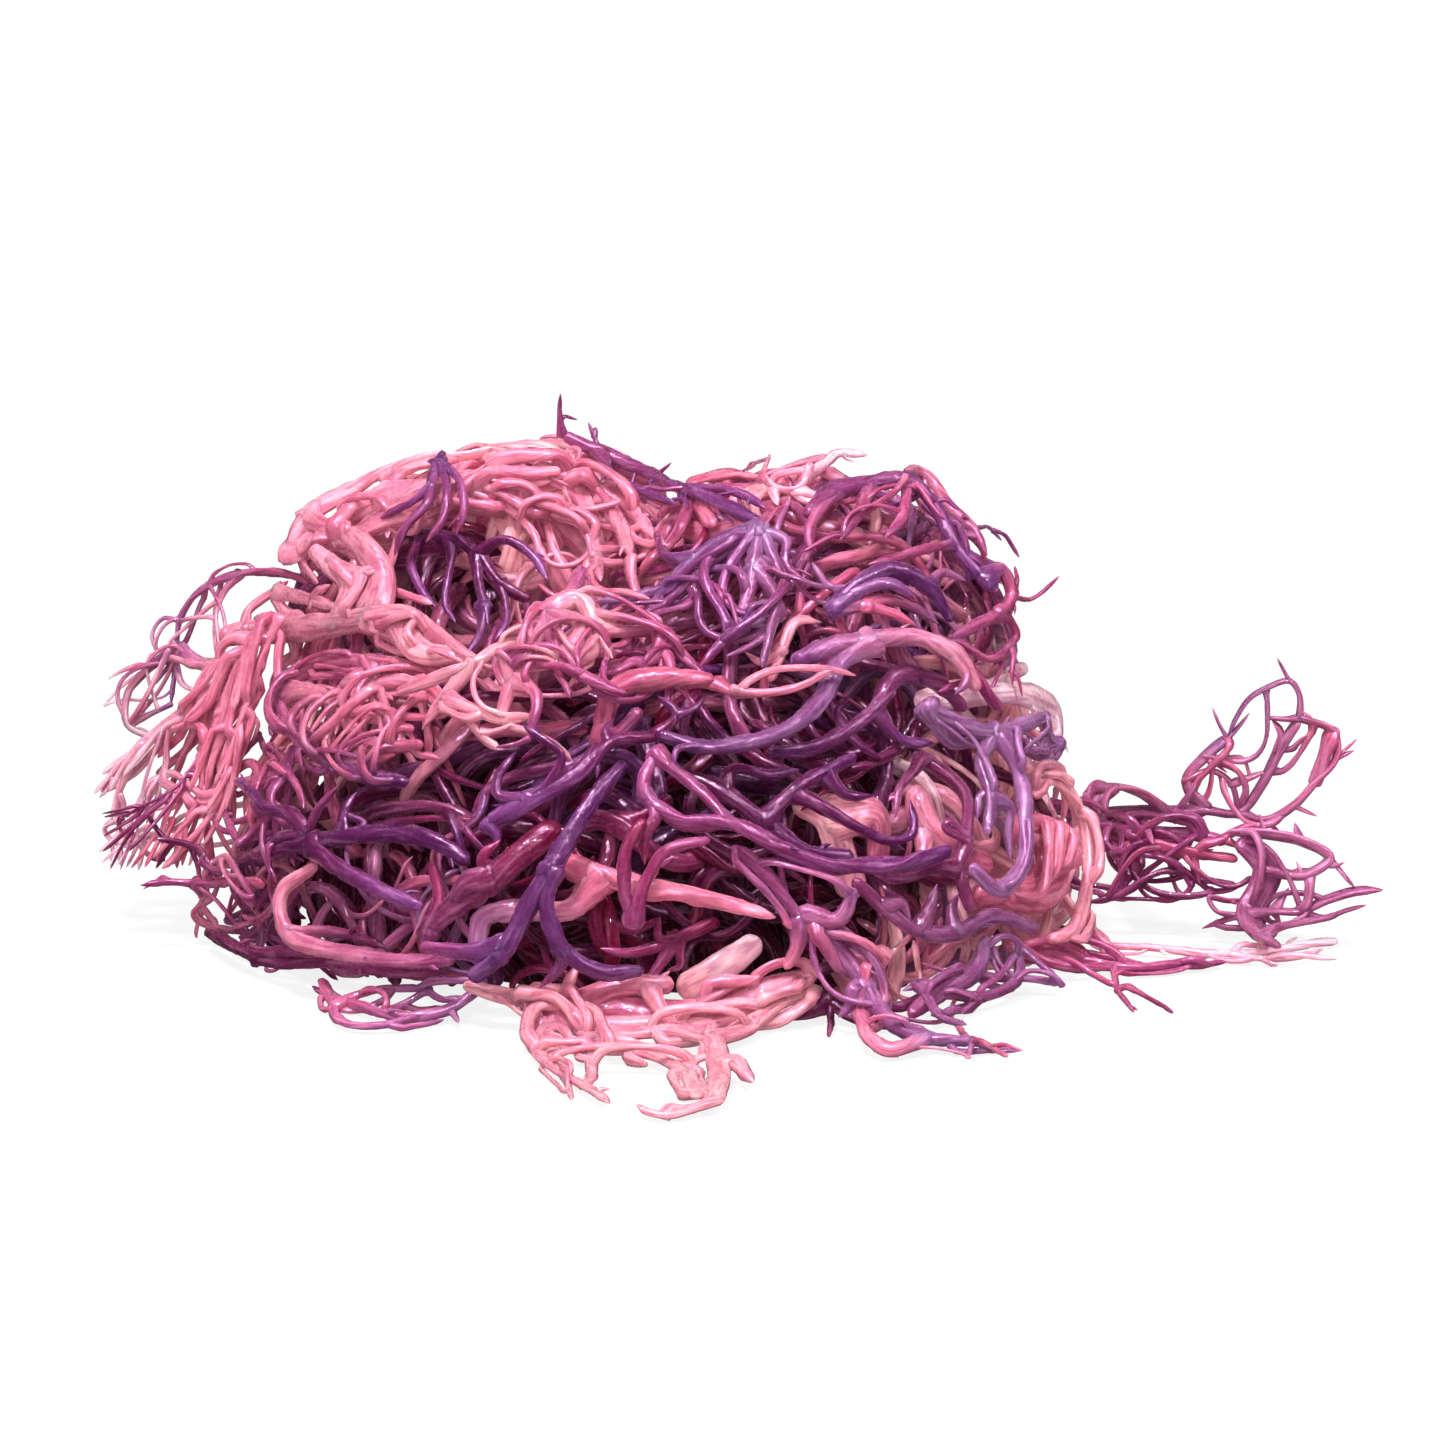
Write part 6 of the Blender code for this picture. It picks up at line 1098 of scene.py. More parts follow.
        strand(2.6, 1.8, 3, [(117, 36.5, 63), (115.3, 32.5, 62), (113.3, 29, 61)]),
        strand(1.0, 0.7, 3, [(119.2, 35.8, 63), (121, 36, 63), (122.5, 37.4, 63)]),
        strand(2.4, 1.8, 3, [(82, 22.4, 61), (79, 26.5, 61), (75, 28, 60), (71, 26.5, 58), (69, 23, 55)]),
    ]),
    "low_long_strands": ("rose", [
        strand(2.8, 1.8, 2, [(54, -3), (60, -4), (66, -5.6), (73, -8), (80, -8.4), (87, -7.3),
            (92.8, -6.3)]),
        strand(2.6, 1.8, 3, [(55, -3.2), (61, -6.5), (67, -8.2), (73, -8.2)]),
        strand(2.4, 1.4, 2, [(60, -3.6), (66, -4.2), (72, -5.5), (80, -7.2)]),
        strand(1.6, 0.9, 1.2, [(71.5, -8.4), (74.5, -12.5), (77.8, -17.3)]),
    ]),
    "low_pale_strand": ("pale_pink", [
        strand(1.8, 2.0, 1.3, [(68, -2.6), (74, -4.6), (82, -4.9), (90, -6), (98, -6.4), (106, -5.4),
            (113, -4), (118.5, -3.4)]),
        strand(1.8, 1.2, 1.2, [(96, -6.4), (103, -7.2), (110, -6.8), (115.5, -5)]),
    ]),
}

# Where the fronds at the back start, as degrees round the mound from +X and a share of its height
BACK_STARTS = (
    (74, 0.5),
    (65, 0.15),
    (100, 0.5),
    (130, 0.2),
    (165, 0.5),
)

# Spots of the mound are found from its centre outward, up to this reach
MOUND_CENTRE = np.array([-15.0, 4.0, 18.0])
MOUND_REACH = 120
GOLDEN_TURN = math.pi * (3 - math.sqrt(5))


# Where points and strands lie


def unit(vector):
    """A direction with a length of one."""
    return vector / np.linalg.norm(vector)


def units(vectors):
    """Directions with a length of one, one in each row."""
    return vectors / np.maximum(np.linalg.norm(vectors, axis=-1, keepdims=True), TINY)


def smooth_least(first, second, blend):
    """The smaller of two distances, rounded where they are nearly equal."""
    overlap = np.maximum(blend - np.abs(first - second), 0) / blend
    return np.minimum(first, second) - overlap**2 * blend / 4


def lobe_gap(points, centre, size):
    """About how far points lie outside one lobe."""
    offset = points - centre
    stretched = np.linalg.norm(offset / size, axis=-1)
    slope = np.linalg.norm(offset / size**2, axis=-1)
    return stretched * (stretched - 1) / np.maximum(slope, TINY)


def lobes_gap(points):
    """About how far points lie outside the nearest lobe."""
    gap = lobe_gap(points, *LOBES[0])
    for centre, size in LOBES[1:]:
        gap = smooth_least(gap, lobe_gap(points, centre, size), LOBE_BLEND)
    return gap


def mound_gap(points):
    """About how far points lie above the mound and the ground round it."""
    return smooth_least(lobes_gap(points), points[..., 2], FLOOR_BLEND)


def core_sizes():
    """Half sizes of the core's lobes, which lie well inside the mound's."""
    return LOBES[:, 1] - CORE_DEPTH


def core_gap(points):
    """About how far points lie outside the core."""
    gaps = [lobe_gap(points, centre, size) for centre, size in zip(LOBES[:, 0], core_sizes())]
    return np.minimum.reduce(gaps)


def slope_of(gap, points):
    """Unit vectors in which a gap grows fastest."""
    steps = SLOPE_REACH * np.eye(3)
    return units(np.stack([gap(points + step) - gap(points - step) for step in steps], axis=-1))


def sight_through(u, v):
    """Direction from the eye through a point of the drawing plane."""
    return unit(np.array([u, 0.0, 0.0]) + v * UP - EYE)


def on_mound(u, v, lift):
    """Where the line of sight comes within lift of the mound, or passes nearest to it."""
    heading = sight_through(u, v)
    reach = np.arange(CAST_NEAR, CAST_FAR, CAST_STEP)
    line = EYE + reach[:, None] * heading
    gaps = mound_gap(line) - lift
    beside = lobes_gap(line)
    met = np.nonzero(gaps < 0)[0]
    last = met[0] if len(met) else len(line) - 1
    nearest = int(np.argmin(beside[: last + 1]))
    if nearest < last - 2 or not len(met):
        return line[nearest]
    share = gaps[last - 1] / (gaps[last - 1] - gaps[last])
    return line[last - 1] + share * (line[last] - line[last - 1])


def aloft(u, v, depth):
    """The point at a given depth on the line of sight."""
    heading = sight_through(u, v)
    return EYE + heading * (depth - EYE[1]) / heading[1]


def placed(drawn):
    """The route of a drawn strand in space."""
    lifts = drawn["lift"] if isinstance(drawn["lift"], tuple) else (drawn["lift"],) * 3
    shares = np.linspace(0, 1, len(drawn["points"]))
    route = []
    for share, spot in zip(shares, drawn["points"]):
        lift = np.interp(share, ROOT_MIDDLE_TIP, lifts)
        route.append(aloft(*spot) if len(spot) == 3 else on_mound(*spot, lift))
    return np.array(route)


def rounded(route, parts=12):
    """A smooth curve through the points of a route."""
    ends = np.vstack([2 * route[0] - route[1], route, 2 * route[-1] - route[-2]])
    t = np.linspace(0, 1, parts, endpoint=False)[:, None]
    pieces = []
    for a, b, c, d in zip(ends, ends[1:], ends[2:], ends[3:]):
        bend = (2 * a - 5 * b + 4 * c - d) * t**2 + (3 * b - a - 3 * c + d) * t**3
        pieces.append((2 * b + (c - a) * t + bend) / 2)
    return np.vstack([*pieces, route[-1:]])


def length_along(curve):
    """How far each point lies along a curve."""
    return np.concatenate([[0], np.linalg.norm(np.diff(curve, axis=0), axis=1).cumsum()])


def points_at(stops, along, curve):
    """The points of a curve at some lengths along it."""
    return np.stack([np.interp(stops, along, curve[:, axis]) for axis in range(3)], axis=1)


def evenly(curve, step):
    """The same curve followed in even steps."""
    along = length_along(curve)
    count = max(3, round(along[-1] / step) + 1)
    return points_at(np.linspace(0, along[-1], count), along, curve)


def calm_depth(route):
    """Evens out how deep a route lies, and keeps its drawn shape."""
    depth = route @ SIGHT
    for _ in range(2):
        depth[1:-1] = (depth[:-2] + 2 * depth[1:-1] + depth[2:]) / 4
    return route + (depth - route @ SIGHT)[:, None] * SIGHT


# The fronds and their main strands


class Tangle:
    """All strands, as chains of points that branches share with what they grow from."""

    def __init__(self):
        self.points = []
        self.fronds = []
        self.chains = []

    def nearest(self, frond, spot):
        """The frond's point that looks nearest to a spot along the line of sight, and how near."""
        found = [k for k, owner in enumerate(self.fronds) if owner == frond]
        if not found:
            return None, math.inf
        offset = np.array([self.points[k] for k in found]) - spot
        offset -= JOIN_DEPTH_SHARE * (offset @ SIGHT)[:, None] * SIGHT
        apart = np.linalg.norm(offset, axis=1)
        best = int(np.argmin(apart))
        return found[best], apart[best]

    def grow(self, frond, route, root, tip, start=None):
        """Adds one strand. A branch starts at a point of its frond, and may end at another."""
        if start is None:
            start, _ = self.nearest(frond, route[0])
        if start is not None:
            route = np.vstack([self.points[start], route[1:]])
        step = min(max(STEP_SHARE * (root + tip) / 2, STEP_LEAST), STEP_MOST)
        route = calm_depth(evenly(rounded(route), step))
        end, apart = self.nearest(frond, route[-1])
        joins = end is not None and end != start and apart < JOIN_REACH
        chain = []
        for k, spot in enumerate(route):
            if k == 0 and start is not None:
                chain.append(start)
            elif k == len(route) - 1 and joins:
                chain.append(end)
            else:
                chain.append(len(self.points))
                self.points.append(spot)
                self.fronds.append(frond)
        radii = np.linspace(root, tip, len(chain)) / 2
        if start is not None:
            radii[0] *= FLARE
        self.add_chain(frond, chain, radii)
        return chain

    def add_chain(self, frond, chain, radii):
        """Keeps a chain of points, with its sides and the radii of its corners."""
        thickness = 2 * float(np.mean(radii))
        sides = next(sides for most, sides in SIDES_BY_THICKNESS if thickness < most)
        corners = radii * CORNER_SHARE[sides]
        self.chains.append({"frond": frond, "chain": chain, "radii": corners, "sides": sides})

    def add_barbs(self, frond, chain, count, draw):
        """Short spines that lean towards the tip of their strand."""
        for k in sorted(draw.sample(range(1, len(chain) - 1), min(count, len(chain) - 2))):
            foot = np.array(self.points[chain[k]])
            along = unit(np.array(self.points[chain[k + 1]]) - foot)
            side = np.cross(along, SIGHT) * draw.choice((-1, 1))
            side /= max(np.linalg.norm(side), LEAST_LENGTH)
            lean = side + draw.uniform(*BARB_LEAN) * along - draw.uniform(*BARB_FORWARD) * SIGHT
            lean *= draw.uniform(*BARB_LENGTH) / np.linalg.norm(lean)
            self.points.append(foot + lean)
            self.fronds.append(frond)
            self.add_chain(frond, [chain[k], len(self.points) - 1], BARB_RADII)


def wander(draw, start, heading, length, lifts, curl, step):
    """A route that meanders over the mound, with its height at the root, the middle and the tip."""
    count = max(WANDER_LEAST, round(length / step))
    sway = draw.uniform(0, 2 * math.pi)
    spin = draw.uniform(-curl, curl)
    spot = np.array(start)
    route = []
    for k in range(count + 1):
        share = k / count
        lift = np.interp(share, ROOT_MIDDLE_TIP, lifts)
        for _ in range(WANDER_FITS):
            spot = spot - slope_of(mound_gap, spot) * (mound_gap(spot) - lift)
        route.append(spot)
        out = slope_of(mound_gap, spot)
        stray = max(lobes_gap(spot) - lift, 0)
        heading = heading - HOMING * stray * slope_of(lobes_gap, spot)
        heading = unit(heading - out * (heading @ out))
        turn = spin + curl * math.sin(sway + WANDER_BENDS * share)
        heading = heading * math.cos(turn) + np.cross(out, heading) * math.sin(turn)
        spot = spot + heading * length / count
    return np.array(route)


def spot_on_mound(angle, height, lift):
    """A point of the mound, from its angle round the centre and a share of its height."""
    flat = math.sqrt(1 - height**2)
    direction = np.array([math.cos(angle) * flat, math.sin(angle) * flat, height])
    line = MOUND_CENTRE + np.arange(0, MOUND_REACH, 0.5)[:, None] * direction
    return line[int(np.argmax(mound_gap(line) > lift))]


def any_heading(draw):
    """A direction at random, of any length."""
    return np.array([draw.gauss(0, 1) for _ in range(3)])


def add_drawn_fronds(tangle, draw):
    """The fronds whose routes are drawn."""
    for frond, (_, strands) in FRONDS.items():
        for drawn in strands:
            chain = tangle.grow(frond, placed(drawn), drawn["root"], drawn["tip"])
            if drawn["barbs"]:
                tangle.add_barbs(frond, chain, drawn["barbs"], draw)


def add_back_fronds(tangle, draw):
    """The fronds over the back: a stem that wanders, with branches to both sides."""
    for number, (degrees, height) in enumerate(BACK_STARTS, 1):
        frond = f"back_frond_{number}"
        start = spot_on_mound(math.radians(degrees), height, BACK_START_LIFT)
        heading = any_heading(draw)
        route = wander(draw, start, heading, BACK_LENGTH, BACK_LIFTS, BACK_CURL, BACK_STEP)
        stem = tangle.grow(frond, route, *BACK_WIDTH)
        for branch in range(BRANCHES):
            k = 1 + (len(stem) - 3) * branch // BRANCHES
            foot = np.array(tangle.points[stem[k]])
            along = np.array(tangle.points[stem[k + 1]]) - foot
            out = slope_of(mound_gap, foot)
            side = np.cross(out, along) * (-1) ** branch
            heading = along + BRANCH_SIDEWAYS * side
            length = BRANCH_LENGTH * draw.uniform(*BRANCH_SPREAD)
            route = wander(draw, foot, heading, length, BRANCH_LIFTS, BRANCH_CURL, BACK_STEP)
            tangle.grow(frond, route, *BRANCH_WIDTH, stem[k])


def add_inner_strands(tangle, draw):
    """Arches that rise from the core on every side. They are joined to it, not to one another."""
    for k in range(INNER_STRANDS):
        height = np.interp(((k + 0.5) / INNER_STRANDS) ** INNER_CROWDING, (0, 1), INNER_HEIGHTS)
        crest = draw.uniform(*INNER_CREST)
        start = spot_on_mound(k * GOLDEN_TURN, height, crest)
        length = draw.uniform(*INNER_LENGTH)
        lifts = (crest,) * 3
        route = wander(draw, start, any_heading(draw), length, lifts, INNER_CURL, INNER_STEP)
        shares = np.abs(np.linspace(-1, 1, len(route))) ** INNER_SINK_POWER
        depths = shares[:, None] * (INNER_SUNK - crest)
        route = route + slope_of(mound_gap, route) * depths
        width = draw.uniform(*INNER_WIDTH)
        chain = [len(tangle.points) + n for n in range(len(route))]
        tangle.points.extend(route)
        tangle.fronds.extend(["inner_tangle"] * len(route))
        tangle.add_chain("inner_tangle", chain, np.full(len(route), width / 2))


# Moving main strands apart


def closest_shares(start_a, end_a, start_b, end_b):
    """How far along each of two sets of straight pieces they come closest."""
    along_a = end_a - start_a
    along_b = end_b - start_b
    between = start_a - start_b
    aa = np.sum(along_a * along_a, axis=1)
    bb = np.sum(along_b * along_b, axis=1)
    ab = np.sum(along_a * along_b, axis=1)
    a_between = np.sum(along_a * between, axis=1)
    b_between = np.sum(along_b * between, axis=1)
    spread = np.maximum(aa * bb - ab * ab, TINY)
    share_a = np.clip((ab * b_between - a_between * bb) / spread, 0, 1)
    share_b = np.clip((ab * share_a + b_between) / bb, 0, 1)
    share_a = np.clip((ab * share_b - a_between) / aa, 0, 1)
    return share_a, share_b


class Spacing:
    """Moves strands of different fronds apart until each pair has a clear gap."""

    def __init__(self, tangle):
        self.points = np.array(tangle.points)
        names = sorted(set(tangle.fronds))
        self.owner = np.array([names.index(name) for name in tangle.fronds])
        self.inner = np.array([name == "inner_tangle" for name in tangle.fronds])
        first, second, radii = [], [], []
        self.thickness = np.zeros(len(self.points))
        for strand_made in tangle.chains:
            chain, sizes = strand_made["chain"], strand_made["radii"]
            first += chain[:-1]
            second += chain[1:]
            radii += [max(pair) for pair in zip(sizes, sizes[1:])]
            np.maximum.at(self.thickness, chain, sizes)
        self.first = np.array(first)
        self.second = np.array(second)
        self.radii = np.array(radii)
        self.drawn = self.points.copy()

    def near_pairs(self, reach):
        """Pairs of pieces of different fronds that might touch."""
        middle = (self.points[self.first] + self.points[self.second]) / 2
        half = np.linalg.norm(self.points[self.first] - self.points[self.second], axis=1) / 2
        size = half + self.radii
        apart = np.linalg.norm(middle[:, None] - middle[None], axis=2)
        near = apart < size[:, None] + size[None] + reach
        near &= self.owner[self.first][:, None] != self.owner[self.first][None]
        return np.nonzero(np.triu(near))

    def gaps(self, one, other):
        """Closest points of the pairs, and how far the pieces' surfaces are apart there."""
        share_a, share_b = closest_shares(
            self.points[self.first[one]],
            self.points[self.second[one]],
            self.points[self.first[other]],
            self.points[self.second[other]],
        )
        spot_a = self.points[self.first[one]] * (1 - share_a)[:, None]
        spot_a += self.points[self.second[one]] * share_a[:, None]
        spot_b = self.points[self.first[other]] * (1 - share_b)[:, None]
        spot_b += self.points[self.second[other]] * share_b[:, None]
        between = spot_a - spot_b
        apart = np.linalg.norm(between, axis=1)
        return share_a, share_b, between, apart, apart - self.radii[one] - self.radii[other]

    def push_apart(self, one, other):
        """Moves the pieces of each pair that is too close away from one another."""
        share_a, share_b, between, apart, gap = self.gaps(one, other)
        tight = gap < GAP
        one, other, share_a, share_b = one[tight], other[tight], share_a[tight], share_b[tight]
        between = between[tight] / np.maximum(apart[tight], LEAST_LENGTH)[:, None]
        sign = np.where(between @ SIGHT < 0, -1, 1)[:, None]
        push = between + (DEPTH_BIAS - 1) * sign * SIGHT
        push *= ((GAP - gap[tight]) / np.linalg.norm(push, axis=1))[:, None] * SPREAD_SHARE
        moves = np.zeros_like(self.points)
        counts = np.full(len(self.points), TINY)
        for ends, share, way in (
            (self.first[one], 1 - share_a, 1),
            (self.second[one], share_a, 1),
            (self.first[other], 1 - share_b, -1),
            (self.second[other], share_b, -1),
        ):
            weight = np.maximum(share, LEAST_WEIGHT)
            np.add.at(moves, ends, way * push * weight[:, None])
            np.add.at(counts, ends, weight)
        self.points += moves / np.maximum(counts, 1)[:, None]

    def ease(self):
        """Spreads each move along its strand, so that it bends and doesn't kink."""
        moved = self.points - self.drawn
        total = np.zeros_like(moved)
        counts = np.zeros(len(moved))
        for here, there in ((self.first, self.second), (self.second, self.first)):
            np.add.at(total, here, moved[there])
            np.add.at(counts, here, 1)
        average = total / np.maximum(counts, 1)[:, None]
        self.points = self.drawn + (1 - KNIT) * moved + KNIT * average

    def keep_off_core_and_ground(self):
        """Moves points up off the ground, and those of other fronds out of the core."""
        floor = self.thickness + FLOOR_GAP
        self.points[:, 2] = np.maximum(self.points[:, 2], floor)
        outer = ~self.inner
        gap = core_gap(self.points[outer]) - self.thickness[outer] - CORE_CLEARANCE
        shift = slope_of(core_gap, self.points[outer]) * np.minimum(gap, 0)[:, None]
        self.points[outer] -= shift

    def run(self):
        """Takes all the turns, and gives where the points end."""
        for turn in range(SPREAD_TURNS):
            if turn % PAIR_TURNS == 0:
                one, other = self.near_pairs(PAIR_REACH)
            self.push_apart(one, other)
            if turn < SPREAD_SMOOTH_TURNS:
                self.ease()
            self.keep_off_core_and_ground()
        return self.points


def slimmed(spacing):
    """How much thinner each point has to be, where pieces are still too close."""
    one, other = spacing.near_pairs(LEFT_REACH)
    _, _, _, apart, gap = spacing.gaps(one, other)
    slim = np.ones(len(spacing.points))
    for a, b, distance, clear in zip(one, other, apart, gap):
        if clear < GAP * LEFT_SHARE:
            share = max(distance - GAP, LEAST_THICKNESS) / (spacing.radii[a] + spacing.radii[b])
            for k in (spacing.first[a], spacing.second[a], spacing.first[b], spacing.second[b]):
                slim[k] = min(slim[k], share)
    return slim


# What the main strands look like


def centring(points):
    """The move along the ground that puts the middle of the mound's box over the origin."""
    middle = (points.min(axis=0) + points.max(axis=0)) / 2
    return np.array([-middle[0], -middle[1], 0.0])


def linear(colour):
    """A colour of the palette as the shader takes it."""
    share = np.array(colour) / 255
    return np.where(share <= 0.04045, share / 12.92, ((share + 0.055) / 1.055) ** 2.4)


def tint_pair(words):
    """The root and tip colours of two words."""
    return tuple(linear(PALETTE[word]) for word in words)


def varied(draw, tints):
    """The same colours a little lighter or darker, as strands differ."""
    change = draw.uniform(*TINT_CHANGE)
    return tuple(tint * change for tint in tints)


def main_strands(looks_draw):
    """The solids' strands with round thicknesses, what they are joined to, and the move that centres them."""
    draw = random.Random(SEED)
    tangle = Tangle()
    add_drawn_fronds(tangle, draw)
    add_back_fronds(tangle, draw)
    add_inner_strands(tangle, draw)
    spacing = Spacing(tangle)
    points = spacing.run()
    slim = slimmed(spacing)
    joints = {}
    numbers = {}
    strands = []
    for made in tangle.chains:
        chain, frond = made["chain"], made["frond"]
        is_barb = len(chain) == 2
        if not is_barb:
            numbers[frond] = numbers.get(frond, -1) + 1
        choices = TINTS[frond]
        words = choices[min(numbers[frond], len(choices) - 1)].split()
        tints = varied(looks_draw, tint_pair(words))
        radii = made["radii"] * slim[chain] / CORNER_SHARE[made["sides"]] * FULLER.get(frond, 1)
        strands.append(
            {
                "frond": frond,
                "is_barb": is_barb,
                "words": words,
                "tints": tints,
                "route": points[chain],
                "radii": radii,
                "root_joint": joints.get(chain[0]),
                "tip_joint": joints.get(chain[-1]),
            }
        )
        slopes = np.gradient(points[chain], axis=0)
        shares = np.linspace(0, 1, len(chain))
        for point, slope, radius, share in zip(chain, slopes, radii, shares):
            tint = tints[0] * (1 - share) + tints[1] * share
            joints.setdefault(point, (unit(slope), radius, tint))
    return strands, centring(points)


# Skinning a strand


def followed(route, radii, step, free_root, free_tip):
    """A strand's curve in fine steps, closer together at free ends, with its radii and length so far."""
    curve = rounded(route)
    length = length_along(curve)
    whole = length[-1]
    at_points = length[np.round(np.linspace(0, len(curve) - 1, len(route))).astype(int)]
    pieces = units(np.diff(curve, axis=0))
    bend = np.concatenate([[0], np.linalg.norm(np.diff(pieces, axis=0), axis=1), [0]])
    need = (length + (BEND_RINGS * bend).cumsum()) / step
    stops = np.interp(np.linspace(0, need[-1], max(4, round(need[-1]) + 1)), need, length)
    ends = []
    if free_tip:
        ends.append(whole - radii[-1] * END_STEPS)
    if free_root:
        ends.append(radii[0] * END_STEPS)
    if ends:
        ends = np.concatenate(ends)
        stops = np.unique(np.concatenate([stops, ends[(ends > 0) & (ends < whole)]]))
        apart = np.concatenate([[True], np.diff(stops) > LEAST_STEP])
        stops = stops[apart]
    return points_at(stops, length, curve), np.interp(stops, at_points, radii), stops


def end_shape(from_end, radius, point):
    """How much of its thickness a strand keeps near a free end."""
    if radius < POINTED_BELOW:
        left = np.clip(from_end / (radius * point), 0, 1)
        return np.maximum(left**POINT_POWER, LEAST_POINT)
    left = np.clip(from_end / radius, 0, 1)
    narrow = np.clip(from_end / (radius * BLUNT_REACH), 0, 1) ** BLUNT_POWER
    round_end = np.maximum(np.sqrt(1 - (1 - left) ** 2), LEAST_BLUNT)
    return round_end * (BLUNT_SHARE + (1 - BLUNT_SHARE) * narrow)


def joined_end(spots, sizes, along):
    """Goes on past the last point, into what the strand is joined to, and closes there."""
    ahead = unit(spots[-1] - spots[-2])
    size = sizes[-1]
    reaches = np.array([reach for reach, _ in JOINT_RINGS[::-1]]) * size
    shares = np.array([share for _, share in JOINT_RINGS[::-1]])
    return (
        np.concatenate([spots, spots[-1] + reaches[:, None] * ahead]),
        np.concatenate([sizes, size * shares]),
        np.concatenate([along, along[-1] + reaches]),
    )


def sides_for(radii):
    """How many sides a strand has, by its thickness."""
    thickness = float(np.mean(radii))
    return next(sides for most, sides in SIDES_BY_RADIUS if thickness < most)


def sized_to_joint(sizes, from_joint, joint_radius):
    """Narrows a strand towards something thinner that it is joined to."""
    allowed = JOINT_SIZE * joint_radius + np.maximum(from_joint, 0) / SIZE_REACH
    return np.minimum(sizes, allowed)


def carried_frames(spots, side):
    """Two directions across a curve at each of its points, that turn as little as they can."""
    along = units(np.gradient(spots, axis=0))
    across = np.empty_like(spots)
    for k, heading in enumerate(along):
        side = side - heading * (side @ heading)
        side = side / max(math.sqrt(side @ side), TINY)
        across[k] = side
    return along, across, np.cross(along, across)


class Skin:
    """The tubes of one piece, collected for one mesh."""

    def __init__(self):
        self.spots = []
        self.grains = []
        self.tints = []
        self.faces = []
        self.count = 0

    def add_rings(self, spots, grains, tints, gloss):
        """A closed tube from rings of points."""
        rings, sides = spots.shape[:2]
        turn = np.arange(sides)
        near = self.count + np.arange(rings - 1)[:, None] * sides
        here, there = near + turn, near + np.roll(turn, -1)
        quads = np.stack([here, there, there + sides, here + sides], axis=-1)
        self.faces.extend(quads.reshape(-1, 4).tolist())
        self.faces.append((self.count + turn[::-1]).tolist())
        self.faces.append((self.count + (rings - 1) * sides + turn).tolist())
        self.spots.append(spots.reshape(-1, 3))
        self.grains.append(grains.reshape(-1, 3))
        self.tints.append(np.repeat(np.column_stack([tints, np.full(rings, gloss)]), sides, axis=0))
        self.count += rings * sides

    def mesh(self, name):
        """One mesh of all the tubes, with what the material needs at each point."""
        mesh = bpy.data.meshes.new(name)
        mesh.from_pydata(np.concatenate(self.spots) * MM, [], self.faces)
        grain = mesh.attributes.new("grain", "FLOAT_VECTOR", "POINT")
        grain.data.foreach_set("vector", np.concatenate(self.grains).astype(np.float32).ravel())
        tint = mesh.color_attributes.new("tint", "FLOAT_COLOR", "POINT")
        tint.data.foreach_set("color", np.concatenate(self.tints).astype(np.float32).ravel())
        mesh.shade_smooth()
        return mesh


def waves(draw, along, turn, tries, longest):
    """A smooth uneven surface: a few waves round and along a strand, between -1 and 1."""
    total = 0
    for _ in range(tries):
        round_count = draw.choice((0, 1, 2, 3))
        pitch = 2 * math.pi / draw.uniform(longest / 4, longest)
        total = total + np.sin(round_count * turn + pitch * along + draw.uniform(0, 2 * math.pi))
    return total / tries


def shaped_line(strand_shape):
    """A strand's points, radii and lengths, with its ends shaped or carried on, and its whole length."""
    radii, point = strand_shape["radii"], strand_shape.get("point", POINT_REACH)
    root_joint, tip_joint = strand_shape["root_joint"], strand_shape["tip_joint"]
    free_root, free_tip = root_joint is None, tip_joint is None
    spots, sizes, along = followed(strand_shape["route"], radii, strand_shape["ring"], free_root, free_tip)
    if free_tip:
        sizes = sizes * end_shape(along[-1] - along, radii[-1], point)
    else:
        sizes = sized_to_joint(sizes, along[-1] - along, tip_joint[1])
        spots, sizes, along = joined_end(spots, sizes, along)
    if free_root:
        sizes = sizes * end_shape(along, radii[0], point)
    else:
        sizes = sized_to_joint(sizes, along, root_joint[1])
        spots, sizes, along = joined_end(spots[::-1], sizes[::-1], -along[::-1])
        spots, sizes, along = spots[::-1], sizes[::-1], -along[::-1]
    whole = along[-1] if free_tip else along[-1] - JOINT_RINGS[0][0] * radii[-1]
    return spots, sizes, along, whole


def cross_sections(draw, strand_shape, sizes, along, turn):
    """How far a strand's surface stands out in two directions across it, as it twists and is uneven."""
    along = along[:, None]
    uneven = strand_shape.get("uneven", 1)
    ridge_turn = draw.uniform(-1, 1) * RIDGE_TWIST * along + draw.uniform(0, 2 * math.pi)
    ridges = np.cos(draw.choice(RIDGE_COUNTS) * (turn + ridge_turn))
    lumps = waves(draw, along, turn, LUMP_WAVES, LUMP_LENGTH)
    pits = np.random.default_rng(draw.getrandbits(32)).normal(0, PITTING, lumps.shape)
    girth = sizes[:, None] * (1 + uneven * (RIDGE_HEIGHT * ridges + LUMP_HEIGHT * lumps + pits))
    changes = FLAT_CHANGE * waves(draw, along, 0 * turn, SLOW_WAVES, FLAT_LENGTH)
    flat = strand_shape["flatness"] * (1 + changes)
    twist = uneven * TWIST * waves(draw, along, 0 * turn, SLOW_WAVES, TWIST_LENGTH)
    wide = girth * np.cos(turn) / np.sqrt(flat)
    thin = girth * np.sin(turn) * np.sqrt(flat)
    return wide * np.cos(twist) - thin * np.sin(twist), wide * np.sin(twist) + thin * np.cos(twist)


